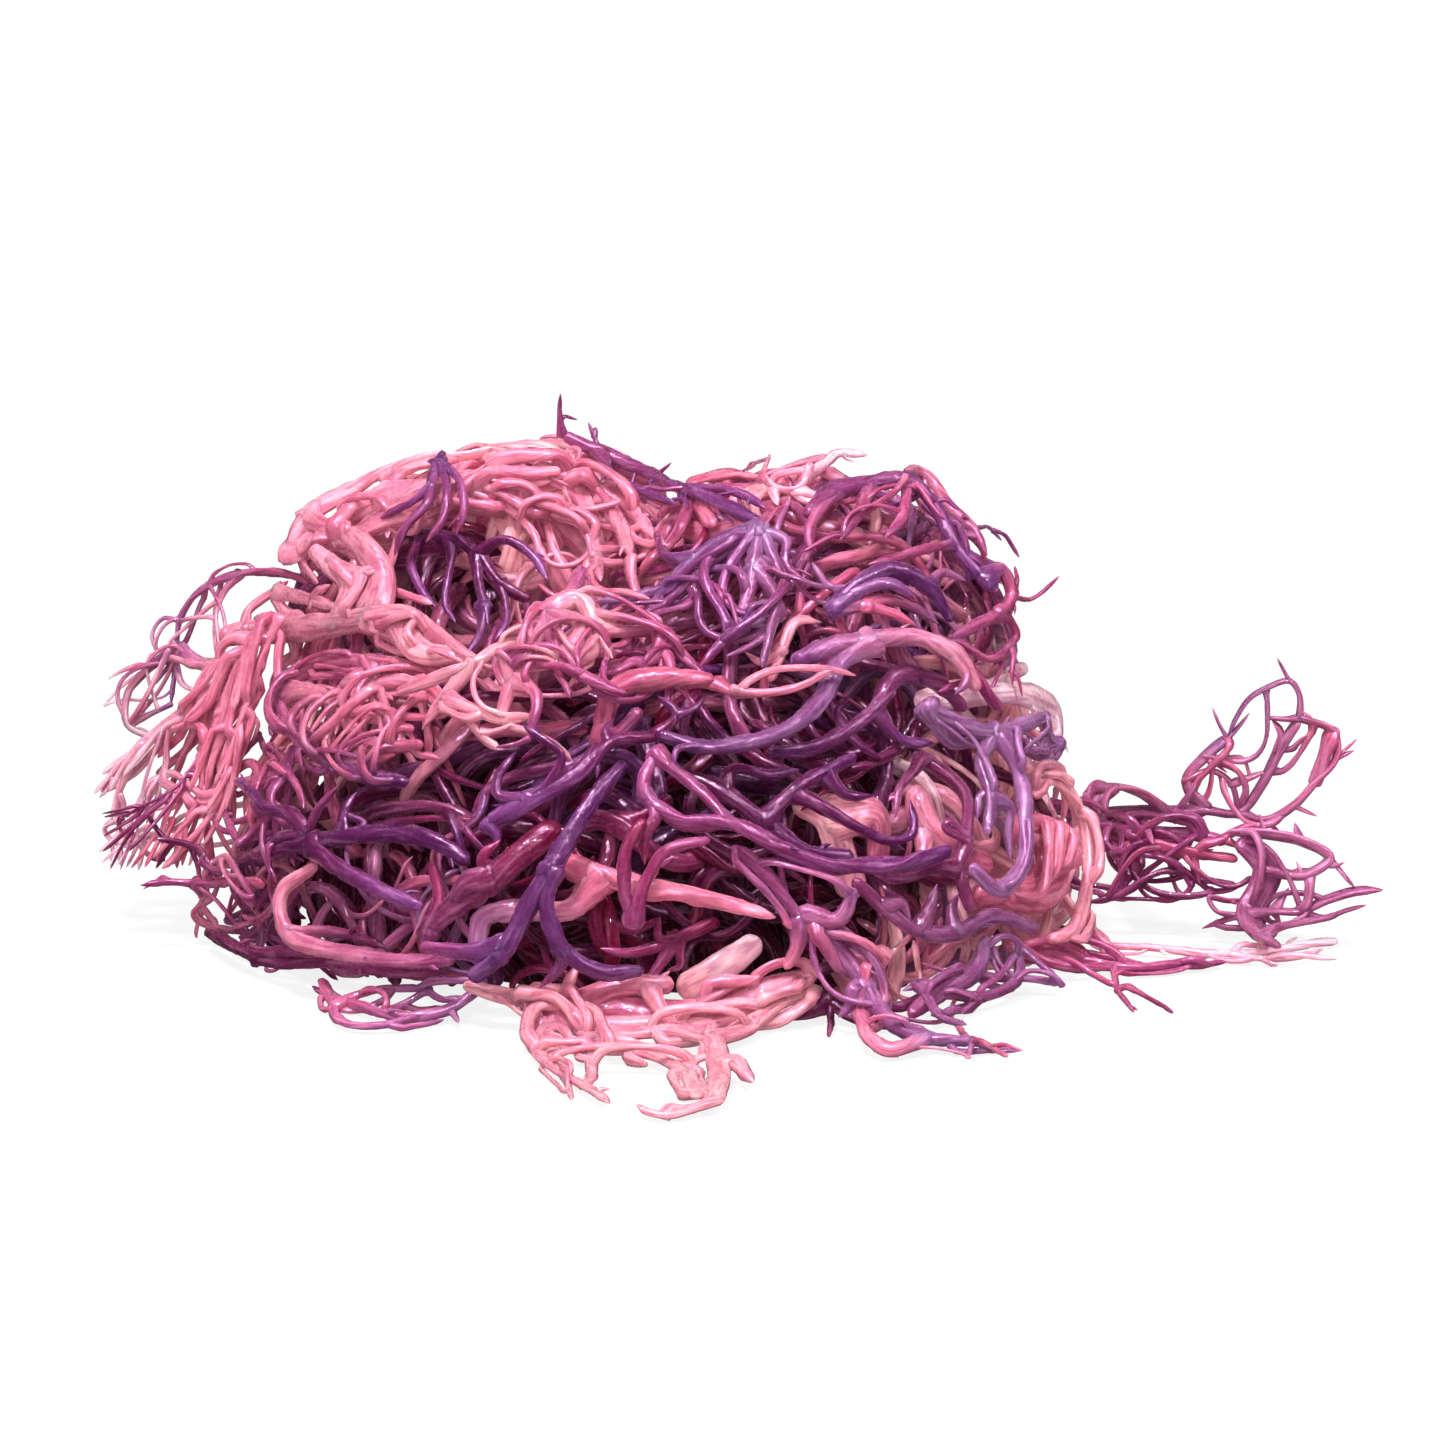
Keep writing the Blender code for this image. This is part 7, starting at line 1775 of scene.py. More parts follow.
def fitted_to_joint(joint, from_joint, own, strand_shape, offset, tints):
    """Webs and tints near a joint, as the strand takes on what it is joined to."""
    towards, _, tint = joint
    near = np.exp(-((from_joint / TINT_REACH) ** 2))[:, None]
    tints = tints * (1 - near) + tint * near
    web = towards - own * (towards @ own)
    size = np.linalg.norm(web)
    if size > LEAST_WEB:
        web /= size
        reach = WEB_REACH * float(np.mean(strand_shape["radii"]))
        spread = WEB_SPREAD * strand_shape.get("web", 1) * np.exp(-((from_joint / reach) ** 2))
        offset = offset + spread[:, None, None] * (offset @ web)[..., None] * web
    return offset, tints


def add_strand(skin, draw, strand_shape):
    """Skins one strand: its ridges, lumps, ends and the webs where it is joined."""
    spots, sizes, along, whole = shaped_line(strand_shape)
    out = slope_of(mound_gap, spots[len(spots) // 2])
    heading, across, up = carried_frames(spots, np.cross(out, spots[-1] - spots[0]))
    turn = np.linspace(0, 2 * math.pi, strand_shape["sides"], endpoint=False)[None, :]
    to_side, to_top = cross_sections(draw, strand_shape, sizes, along, turn)
    offset = to_side[..., None] * across[:, None]
    offset = offset + to_top[..., None] * up[:, None]
    share = np.clip(along / whole, 0, 1)[:, None]
    root_tint, tip_tint = strand_shape["tints"]
    tints = root_tint * (1 - share) + tip_tint * share
    for joint, from_joint, own in (
        (strand_shape["root_joint"], np.maximum(along, 0), heading[0]),
        (strand_shape["tip_joint"], np.maximum(whole - along, 0), heading[-1]),
    ):
        if joint is not None:
            offset, tints = fitted_to_joint(joint, from_joint, own, strand_shape, offset, tints)
    grain = np.stack(
        np.broadcast_arrays(
            sizes[:, None] * np.cos(turn),
            sizes[:, None] * np.sin(turn),
            along[:, None] + strand_shape["grain_start"],
        ),
        axis=-1,
    )
    surface = spots[:, None] + offset + strand_shape["shift"]
    surface[..., 2] = np.maximum(surface[..., 2], FLOOR_LEAST)
    skin.add_rings(surface, grain, tints, strand_shape["gloss"])
    return spots, sizes, heading, across, up


def add_spines(skin, draw, strand_shape, made):
    """Short curved spines that lean to the tip of their strand."""
    spots, sizes, heading, across, up = made
    length = length_along(spots)
    place = draw.uniform(*SPINE_SPACING)
    while place < length[-1] - SPINE_END_MARGIN:
        k = int(np.searchsorted(length, place))
        place += draw.uniform(*SPINE_SPACING)
        angle = draw.choice((0, math.pi)) + draw.gauss(0, SPINE_STRAY)
        side = math.cos(angle) * across[k] + math.sin(angle) * up[k]
        reach = draw.uniform(*SPINE_LENGTH)
        lean = draw.uniform(*SPINE_LEAN)
        bend = draw.uniform(*SPINE_BEND)
        foot = spots[k] + side * sizes[k] * SPINE_SUNK
        middle = foot + (side + 0.5 * lean * heading[k]) * (reach + sizes[k]) * 0.5
        tip = foot + (side * (1 - SPINE_FOLD * bend) + (lean + bend) * heading[k]) * (reach + sizes[k])
        thick = min(SPINE_THICKNESS, 0.5 * sizes[k]) * draw.uniform(*SPINE_SIZES)
        tint = strand_shape["tints"][1] * draw.uniform(*SPINE_TINTS)
        spine = {
            **strand_shape,
            "route": np.array([foot, middle, tip]),
            "radii": thick * SPINE_TAPER,
            "root_joint": (heading[k], sizes[k], tint),
            "tip_joint": None,
            "sides": SPINE_SIDES,
            "ring": SPINE_RING,
            "flatness": SPINE_FLATNESS,
            "tints": (tint, tint),
        }
        add_strand(skin, draw, spine)


# The thin strands between the main ones


def starts_round_mound(count, lift, rng):
    """Starting points spread evenly over the mound, by a golden spiral."""
    k = np.arange(count) + 0.5
    height = np.interp(k / count, (0, 1), START_HEIGHTS)
    angle = k * GOLDEN_TURN + rng.uniform(-START_STRAY, START_STRAY, count)
    flat = np.sqrt(1 - height**2)
    direction = np.stack([np.cos(angle) * flat, np.sin(angle) * flat, height], axis=1)
    line = MOUND_CENTRE + np.arange(0, MOUND_REACH, 1.0)[:, None, None] * direction
    met = np.argmax(mound_gap(line) > lift, axis=0)
    return line[met, np.arange(count)]


def flow(rng, start, heading, lifts, count, curl, shares, both_ends):
    """Routes that meander side by side over the mound, one from each start, and dip at their ends."""
    many = len(start)
    spot = start.copy()
    rise = rng.uniform(0, 1, (many, 1)) * THIN_WAVE
    phase = rng.uniform(0, 2 * math.pi, (2, many, 1))
    pace = rng.uniform(*THIN_PACE, (2, many, 1))
    spin = np.clip(rng.normal(0, 1, (many, 1)), -MOST_CURL, MOST_CURL) * THIN_CURL * curl
    sway = rng.uniform(*THIN_SWAYS, (many, 1)) * THIN_SWAY * curl
    routes = []
    for k in range(count + 1):
        share = k / count
        lift = lifts[:, None] + rise * np.sin(phase[0] + pace[0] * share)
        own = share / shares[:, None]
        dip = np.clip((own - 1 + DIP_SHARE) / DIP_SHARE, 0, 1)
        if both_ends:
            dip = dip + np.clip((DIP_SHARE - own) / DIP_SHARE, 0, 1)
        lift = lift - END_DIP * dip**2
        for _ in range(THIN_FITS):
            spot = spot - slope_of(mound_gap, spot) * (mound_gap(spot)[:, None] - lift)
        routes.append(spot)
        out = slope_of(mound_gap, spot)
        stray = np.maximum(lobes_gap(spot)[:, None] - lift, 0)
        heading = heading - HOMING * stray * slope_of(lobes_gap, spot)
        heading = units(heading - out * np.sum(heading * out, axis=1, keepdims=True))
        turn = spin + sway * np.sin(phase[1] + pace[1] * share)
        heading = heading * np.cos(turn) + np.cross(out, heading) * np.sin(turn)
        spot = spot + heading * THIN_STEP
    return np.stack(routes, axis=1)


def inside_outline(seen):
    """Whether spots of the drawing plane lie inside the heap's outline."""
    across, up = seen[:, 0], seen[:, 1]
    inside = np.zeros(len(seen), bool)
    for (x, y), (next_x, next_y) in zip(OUTLINE, OUTLINE[1:] + OUTLINE[:1]):
        if y != next_y:
            meets = (next_x - x) * (up - y) / (next_y - y) + x
            inside ^= ((y > up) != (next_y > up)) & (across < meets)
    return inside


def longest_inside(route):
    """The longest part of a route that keeps inside the outline."""
    edges = np.flatnonzero(np.diff(np.concatenate([[0], inside_outline(seen_at(route)), [0]])))
    if not len(edges):
        return route[:0]
    starts, ends = edges[::2], edges[1::2]
    best = int(np.argmax(ends - starts))
    return route[starts[best] : ends[best]]


def first_inside(route):
    """A branch up to where it leaves the outline."""
    outside = np.flatnonzero(~inside_outline(seen_at(route)))
    return route[: outside[0]] if len(outside) else route


def back_of_main(spots, radii):
    """How deep the nearest main strand goes in each cell of the drawing plane."""
    seen = seen_at(spots)
    depth = (spots - EYE) @ SIGHT
    low = np.floor(seen.min(axis=0) / CELL).astype(int) - EDGE_CELLS
    size = np.ceil(seen.max(axis=0) / CELL).astype(int) - low + EDGE_CELLS + 1
    front = np.full(size, np.inf)
    back = np.full(size, -np.inf)
    reach = math.ceil((radii.max() + MARGIN) / CELL)
    cells = np.floor(seen / CELL).astype(int) - low
    steps = range(-reach, reach + 1)
    around = [(across, up) for across in steps for up in steps]
    for writes_front in (True, False):
        for step in around:
            cell = cells + step
            offset = (cell + low + 0.5) * CELL - seen
            near = np.linalg.norm(offset, axis=1) < radii + MARGIN
            own = tuple(cell[near].T)
            if writes_front:
                np.minimum.at(front, own, depth[near])
            else:
                first = depth[near] < front[own] + SAME_DEPTH
                own = tuple(cell[near][first].T)
                np.maximum.at(back, own, (depth + radii)[near][first])
    return front, back, low


def passed_behind(route, radii, front, back, low):
    """Moves a thin strand along the line of sight, behind the main strands that it would hide."""
    cells = np.floor(seen_at(route) / CELL).astype(int) - low
    inside = np.all((cells >= 0) & (cells < front.shape), axis=1)
    cells = tuple(np.where(inside[:, None], cells, 0).T)
    depth = (route - EYE) @ SIGHT
    lack = back[cells] + radii + MARGIN - depth
    hides = inside & (lack > 0) & (depth > front[cells] - IN_FRONT)
    move = np.where(hides, lack, 0)
    for _ in range(EASE_STEPS):
        padded = np.pad(move, 1, mode="edge")
        move = np.maximum(move, EASE_SHARE * np.maximum(padded[:-2], padded[2:]))
    padded = np.pad(move, 1, mode="edge")
    move = (padded[:-2] + 2 * padded[1:-1] + padded[2:]) / 4
    return EYE + (route - EYE) * ((depth + move) / depth)[:, None]


# Fine growth of the fronds themselves


def curling(rng, spot, heading, count, radius, growing):
    """A short route that curls square to the line of sight, and hugs the mound or keeps to a frond's box."""
    bounds, curl = growing["bounds"], growing["curl"]
    ceiling = float(mound_gap(spot)) + SHOOT_LIFT
    phase, pace = rng.uniform(0, 2 * math.pi), rng.uniform(*SHOOT_PACE)
    spin = rng.normal(0, SHOOT_CURL) * curl
    sway = rng.uniform(0, SHOOT_SWAY) * curl
    drift = rng.normal(0, SHOOT_DRIFT)
    route = [spot]
    for k in range(count):
        turn = spin + sway * math.sin(phase + pace * k / count)
        heading = heading * math.cos(turn) + np.cross(SIGHT, heading) * math.sin(turn)
        heading = heading + drift * SIGHT * DRIFT_SHARE
        heading = heading / math.sqrt(heading @ heading)
        spot = spot + heading * SHOOT_STEP
        if bounds is None:
            spot = spot - slope_of(mound_gap, spot) * max(float(mound_gap(spot)) - ceiling, 0)
        spot = np.array([spot[0], spot[1], max(spot[2], radius + FLOOR_GAP)])
        route.append(spot)
    route = np.array(route)
    if bounds is not None:
        seen = seen_at(route)
        beyond = np.flatnonzero(((seen < bounds[0]) | (seen > bounds[1])).any(axis=1))
        return route[: beyond[0]] if len(beyond) else route
    kept = first_inside(route)
    return kept if len(kept) else route


def frond_lines(strands, wanted):
    """The main strands of each wanted frond, followed finely: spots, headings, radii, tints and colours."""
    lines = {}
    for made in strands:
        if made["frond"] not in wanted or made["is_barb"]:
            continue
        fine, radii, along = followed(made["route"], made["radii"], SHOOT_STEP, False, False)
        share = (along / along[-1])[:, None]
        tints = made["tints"][0] * (1 - share) + made["tints"][1] * share
        line = (fine, units(np.gradient(fine, axis=0)), radii, tints, made["words"])
        lines.setdefault(made["frond"], []).append(line)
    return lines


def in_one_row(lines):
    """The points of all of a frond's strands: spots, headings, radii and tints."""
    return [np.concatenate(parts) for parts in zip(*(line[:-1] for line in lines))]


def joint_at(parts, k):
    """What fine growth is joined to at one point of a frond."""
    return tuple(part[k] for part in parts)


def curve_between(root, tip, bow):
    """A curve that leaves one joint and meets another nearly along their strands, and its waist."""
    first, last = root[0], tip[0]
    reach = math.dist(first, last)
    straight = (last - first) / reach
    leaves, meets = (heading * np.sign(heading @ straight) for heading in (root[1], tip[1]))
    controls = (
        first,
        first + (LEAVE_ALONG * leaves + LEAVE_STRAIGHT * straight) * reach * LEAVE_REACH + bow,
        last - (LEAVE_ALONG * meets + LEAVE_STRAIGHT * straight) * reach * LEAVE_REACH + bow,
        last,
    )
    t = np.linspace(0, 1, max(LEAST_BRIDGE, round(reach * BRIDGE_SLACK / SHOOT_STEP)))[:, None]
    weights = ((1 - t) ** 3, 3 * t * (1 - t) ** 2, 3 * t**2 * (1 - t), t**3)
    waist = 1 - WAIST * np.sin(math.pi * t[:, 0])
    return sum(weight * control for weight, control in zip(weights, controls)), waist


def nearest_pairs(near, far, count):
    """The pairs of spots of two fronds that are nearest, no two of them side by side."""
    apart = np.linalg.norm(near[:, None] - far[None], axis=2)
    picked = []
    for flat in np.argsort(apart, axis=None):
        first, last = divmod(int(flat), len(far))
        if all(abs(first - a) > 1 and abs(last - b) > 1 for a, b in picked):
            picked.append((first, last))
        if len(picked) == count:
            break
    return picked


def ties(strands, rng):
    """Strands that tie a frond to its neighbour where the two come nearest."""
    made = []
    for one, other, count, widths in TIES:
        lines = frond_lines(strands, (one, other))
        near, far = in_one_row(lines[one]), in_one_row(lines[other])
        *_, words = lines[one][0]
        for first, last in nearest_pairs(near[0], far[0], count):
            root, tip = joint_at(near, first), joint_at(far, last)
            bow = np.cross(SIGHT, tip[0] - root[0]) * rng.uniform(-TIE_BOW, TIE_BOW)
            route, waist = curve_between(root, tip, bow)
            width = rng.uniform(*widths)
            made.append((route, width / 2 * waist, words, root, tip))
    return made


def growing_frond(frond, lines):
    """What fine growth starts from: a frond's points, their colours, the box it keeps to and its curl."""
    parts = in_one_row(lines)
    bounds = None
    if frond in HANGING:
        seen = seen_at(parts[0])
        bounds = seen.min(axis=0) - HANGING_MARGIN, seen.max(axis=0) + HANGING_MARGIN
    words = [own for fine, *_, own in lines for _ in fine]
    return {"parts": parts, "words": words, "bounds": bounds, "curl": STRAIGHT.get(frond, 1)}


def bridge(growing, widths, rng):
    """A strand between two places of a frond, or nothing where none fits."""
    spots, _, radii, _ = growing["parts"]
    first = rng.integers(len(spots))
    apart = np.linalg.norm(spots - spots[first], axis=1)
    far = np.abs(np.arange(len(spots)) - first) > LEAST_ALONG
    found = np.flatnonzero((apart > BRIDGE_REACH[0]) & (apart < BRIDGE_REACH[1]) & far)
    if not len(found):
        return []
    last = found[rng.integers(len(found))]
    root, tip = (joint_at(growing["parts"], k) for k in (first, last))
    bow = np.cross(SIGHT, tip[0] - root[0]) * np.clip(rng.normal(), -MOST_BOW, MOST_BOW) * BRIDGE_BOW
    bow = bow - SIGHT * rng.uniform(*BRIDGE_SETBACK) * apart[last]
    route, waist = curve_between(root, tip, bow)
    seen = seen_at(route)
    inside = inside_outline(seen)
    over = growing["bounds"] is None and (~inside & (seen[:, 1] > HIGH_ABOVE)).any()
    if over or (inside[0] and inside[-1] and not inside.all()):
        return []
    width = min(rng.uniform(*widths), BRIDGE_MOST[0] * radii[first], BRIDGE_MOST[1] * radii[last])
    return [(route, width / 2 * waist, growing["words"][first], root, tip)]


def offshoot(growing, widths, lengths, rng):
    """A strand that grows out of a frond, at times with a fork, or nothing where there is no room."""
    spots, headings, radii, tints = growing["parts"]
    first = rng.integers(len(spots))
    side = unit(np.cross(SIGHT, headings[first]) * rng.choice((-1, 1)) + rng.normal(0, SHOOT_TILT, 3))
    angle = rng.uniform(*SHOOT_ANGLE) * growing["curl"]
    heading = headings[first] * math.cos(angle) + side * math.sin(angle)
    count = max(LEAST_SHOOT, round(rng.uniform(*lengths) / SHOOT_STEP))
    width = min(rng.uniform(*widths), SHOOT_MOST * radii[first])
    route = curling(rng, spots[first], heading, count, width / 2, growing)
    if len(route) < LEAST_SHOOT:
        return []
    size = width / 2 * np.linspace(1, rng.uniform(*SHOOT_TAPER), len(route))
    words = growing["words"][first]
    made = [(route, size, words, joint_at(growing["parts"], first), None)]
    if rng.uniform() < FORK_SHARE and len(route) > FORK_FROM:
        k = len(route) // 2
        ahead = (route[k + 1] - route[k]) / SHOOT_STEP
        turn = rng.uniform(*FORK_ANGLE) * rng.choice((-1, 1)) * growing["curl"]
        heading = ahead * math.cos(turn) + np.cross(SIGHT, ahead) * math.sin(turn)
        fork = curling(rng, route[k], heading, len(route) - k, width / 2, growing)
        if len(fork) >= LEAST_SHOOT:
            own = (route[k], ahead, size[k], tints[first])
            made.append((fork, size[k] * np.linspace(*FORK_TAPER, len(fork)), words, own, None))
    return made


def fine_growth(strands, rng):
    """Bridges, offshoots and ties: routes, radii, colour words, and what each end is joined to."""
    made = []
    for frond, lines in frond_lines(strands, FINE_GROWTH).items():
        bridge_count, shoot_count, widths, lengths = FINE_GROWTH[frond]
        growing = growing_frond(frond, lines)
        whole = len(growing["words"]) * SHOOT_STEP / GROWTH_LENGTH
        for _ in range(round(bridge_count * whole)):
            made += bridge(growing, widths, rng)
        for _ in range(round(shoot_count * whole)):
            made += offshoot(growing, widths, lengths, rng)
    return made + ties(strands, rng)


# The layers of thin strands


def swept(start, heading):
    """Headings that run round the sweeps' spots, and how much each strand curls."""
    heading = heading.copy()
    curl = np.ones((len(start), 1))
    seen = seen_at(start)
    for spot, reach, calm, stray in SWEEPS:
        offset = seen - spot
        own = (np.linalg.norm(offset, axis=1) < reach) & (start[:, 1] < BEHIND_FROM) & (curl[:, 0] == 1)
        round_spot = units(np.stack([-offset[:, 1], 0 * offset[:, 0], offset[:, 0]], axis=1))
        heading[own] = (round_spot + stray * heading)[own]
        curl[own] = calm
    return heading, curl


def branches_of(rng, strands, calms, steps):
    """Branches of some of a layer's thin strands."""
    picked = np.nonzero(rng.uniform(0, 1, len(strands)) < THIN_BRANCH_SHARE)[0]
    foot = np.array([rng.integers(2, len(strands[k][0]) - 2) for k in picked])
    at = np.array([strands[k][0][f] for k, f in zip(picked, foot)])
    ahead = np.array([strands[k][0][f + 1] for k, f in zip(picked, foot)]) - at
    out = slope_of(mound_gap, at)
    angle = rng.uniform(*TWIG_ANGLE, (len(picked), 1)) * rng.choice([-1, 1], (len(picked), 1))
    calms = np.array(calms)[picked, None]
    angle = angle * (TWIG_ANGLE_CALM + (1 - TWIG_ANGLE_CALM) * calms)
    aside = ahead * np.cos(angle) + np.cross(out, ahead) * np.sin(angle)
    shares = rng.uniform(*TWIG_SHARES, len(picked))
    routes = flow(rng, at, aside, mound_gap(at), steps // 2, TWIG_CURL * calms, shares, False)
    branches = []
    for k, f, route, share in zip(picked, foot, routes, shares):
        kept = first_inside(route[: max(THIN_LEAST, round(share * len(route)))])
        if len(kept) >= LEAST_INSIDE:
            size = strands[k][1][f] * rng.uniform(*TWIG_SIZE)
            branches.append((kept, size * np.linspace(1, TWIG_TIP, len(kept)), (k, f)))
    return branches


def thin_layer(rng, form, behind_only):
    """The thin strands of one layer, with branches, as routes, radii and what each grows from."""
    count, lift_range, width_range, length = form
    lifts = rng.uniform(*lift_range, count)
    start = starts_round_mound(count, float(np.mean(lift_range)), rng)
    heading, curl = swept(start, rng.normal(0, 1, (count, 3)))
    steps = round(length / THIN_STEP)
    shares = rng.uniform(*THIN_SHARES, count)
    routes = flow(rng, start, heading, lifts, steps, curl, shares, True)
    widths = rng.uniform(*width_range, count)
    kept = np.full(count, True)
    if behind_only:
        kept = routes[:, 0, 1] > BEHIND_FROM
    elif lift_range[0] > THINNED_ABOVE:
        middles = routes[:, len(routes[0]) // 2]
        density = zone_shares(middles) @ np.array(ZONE_DENSITY)
        kept = (rng.uniform(0, 1, count) < density) | (middles[:, 1] > BEHIND_FROM)
    strands = []
    calms = []
    for route, width, share, calm in zip(routes[kept], widths[kept], shares[kept], curl[kept, 0]):
        seen_part = longest_inside(route[: max(THIN_LEAST, round(share * len(route)))])
        if len(seen_part) >= LEAST_INSIDE:
            taper = np.linspace(1, rng.uniform(*THIN_TAPER), len(seen_part))
            strands.append((seen_part, width / 2 * taper, None))
            calms.append(calm)
    return strands + branches_of(rng, strands, calms, steps)


# The cells that a cell is compared with: itself and those after it, so that no pair comes up twice
HALF_ROUND = [step for step in product((-1, 0, 1), repeat=3) if step >= (0, 0, 0)]


def neighbours(spots, reach):
    """Pairs of points that may be closer than the reach, found by a grid of cells."""
    cell = np.floor((spots - spots.min(axis=0)) / reach).astype(np.int64) + 1
    size = cell.max(axis=0) + 2
    key = (cell[:, 0] * size[1] + cell[:, 1]) * size[2] + cell[:, 2]
    order = np.argsort(key, kind="stable")
    in_order = key[order]
    firsts, seconds = [], []
    for dx, dy, dz in HALF_ROUND:
        wanted = key + (dx * size[1] + dy) * size[2] + dz
        low = np.searchsorted(in_order, wanted, "left")
        high = np.searchsorted(in_order, wanted, "right")
        counts = high - low
        first = np.repeat(np.arange(len(spots)), counts)
        inside = np.arange(counts.sum()) - np.repeat(counts.cumsum() - counts, counts)
        second = order[np.repeat(low, counts) + inside]
        if (dx, dy, dz) == (0, 0, 0):
            keep = first < second
            first, second = first[keep], second[keep]
        firsts.append(first)
        seconds.append(second)
    return np.concatenate(firsts), np.concatenate(seconds)


def pushes(spots, radii, one, other, free):
    """How far points move away from those that they are too close to. The first ones are free to move."""
    between = spots[one] - spots[other]
    apart = np.linalg.norm(between, axis=1)
    wanted = radii[one] + radii[other] + THIN_GAP
    tight = apart < wanted
    a, b = one[tight], other[tight]
    push = between[tight] / np.maximum(apart[tight], LEAST_APART)[:, None]
    push *= ((wanted - apart)[tight] * THIN_PUSH)[:, None]
    both_free = ((a < free) & (b < free))[:, None]
    push = np.where(both_free, push, FIXED_PUSH * push)
    moves = np.zeros_like(spots)
    hits = np.zeros(len(spots))
    for ends, way in ((a, 1), (b, -1)):
        np.add.at(moves, ends, way * push)
        np.add.at(hits, ends, 1)
    return (moves / np.maximum(hits, 1)[:, None])[:free]


def spread_thin(strands, fixed_spots, fixed_radii):
    """Moves thin strands off the main ones and off one another."""
    spots = np.concatenate([route for route, _, _ in strands])
    radii = np.concatenate([sizes for _, sizes, _ in strands])
    counts = [len(route) for route, _, _ in strands]
    starts = np.concatenate([[0], np.cumsum(counts)])
    owner = np.repeat(np.arange(len(strands)), counts)
    family = np.arange(len(strands))
    tied = []
    for k, (_, _, parent) in enumerate(strands):
        if parent is not None:
            family[k] = parent[0]
            tied.append((starts[k], starts[parent[0]] + parent[1]))
    roots, feet = np.array(tied).T
    group = np.concatenate([family[owner], np.full(len(fixed_spots), -1)])
    free = len(spots)
    drawn = spots.copy()
    here = np.flatnonzero(owner[:-1] == owner[1:])
    sizes = np.concatenate([radii, fixed_radii])
    for turn in range(THIN_TURNS):
        everything = np.concatenate([spots, fixed_spots])
        if turn % THIN_PAIR_TURNS == 0:
            one, other = neighbours(everything, NEAR_REACH)
            kept = (group[one] != group[other]) & ((one < free) | (other < free))
            one, other = one[kept], other[kept]
        moved = spots + pushes(everything, sizes, one, other, free) - drawn
        eased = moved.copy()
        eased[here] += 0.5 * (moved[here + 1] - moved[here])
        eased[here + 1] += 0.5 * (moved[here] - moved[here + 1])
        spots = drawn + 0.5 * moved + 0.5 * eased
        spots[roots] = spots[feet]
        spots[:, 2] = np.maximum(spots[:, 2], radii + FLOOR_GAP)
    return [
        (spots[starts[k] : starts[k + 1]], sizes_here, parent)
        for k, (_, sizes_here, parent) in enumerate(strands)
    ]


def seen_at(spots):
    """Where points of space appear in the drawing plane."""
    line = spots - EYE
    reach = EYE_DISTANCE / (line @ SIGHT)
    on_plane = EYE + line * reach[:, None]
    return np.stack([on_plane[:, 0], on_plane @ UP], axis=1)


def zone_shares(spots):
    """How much each zone has to do with each spot."""
    places = np.array(ZONE_SPOTS, dtype=float)
    apart = np.linalg.norm(seen_at(spots)[:, None] - places[None], axis=2) / ZONE_REACHES
    closeness = np.exp(-(apart**2) * ZONE_FALL) + TINY
    return closeness / closeness.sum(axis=1, keepdims=True)


def zone_tints(rng, spots):
    """For each spot, two colours drawn from the zones that reach it, and how much painted shade its depths
    take.
    """
    closeness = zone_shares(spots)
    tints = []
    for row in closeness:
        pair = []
        for _ in range(2):
            names = ZONE_COLOURS[rng.choice(len(ZONES), p=row)].split()
            pair.append(names[rng.integers(len(names))])
        tints.append(pair)
    return tints, closeness @ np.array(ZONE_PAINTED_SHADE)


# The wet surface


def feed(tree, socket, value):
    """Gives a socket its value, or links another socket to it."""
    if isinstance(value, bpy.types.NodeSocket):
        tree.links.new(value, socket)
    else:
        socket.default_value = value


def add_node(tree, kind, inputs, **settings):
    """Adds a node with its settings and what goes into its sockets."""
    node = tree.nodes.new("ShaderNode" + kind)
    for name, value in settings.items():
        setattr(node, name, value)
    for key, value in inputs.items():
        feed(tree, node.inputs[key], value)
    return node


def new_material(name):
    """A material, its node tree and its shader."""
    material = bpy.data.materials.new(name)
    material.use_nodes = True
    return material, material.node_tree, material.node_tree.nodes["Principled BSDF"]


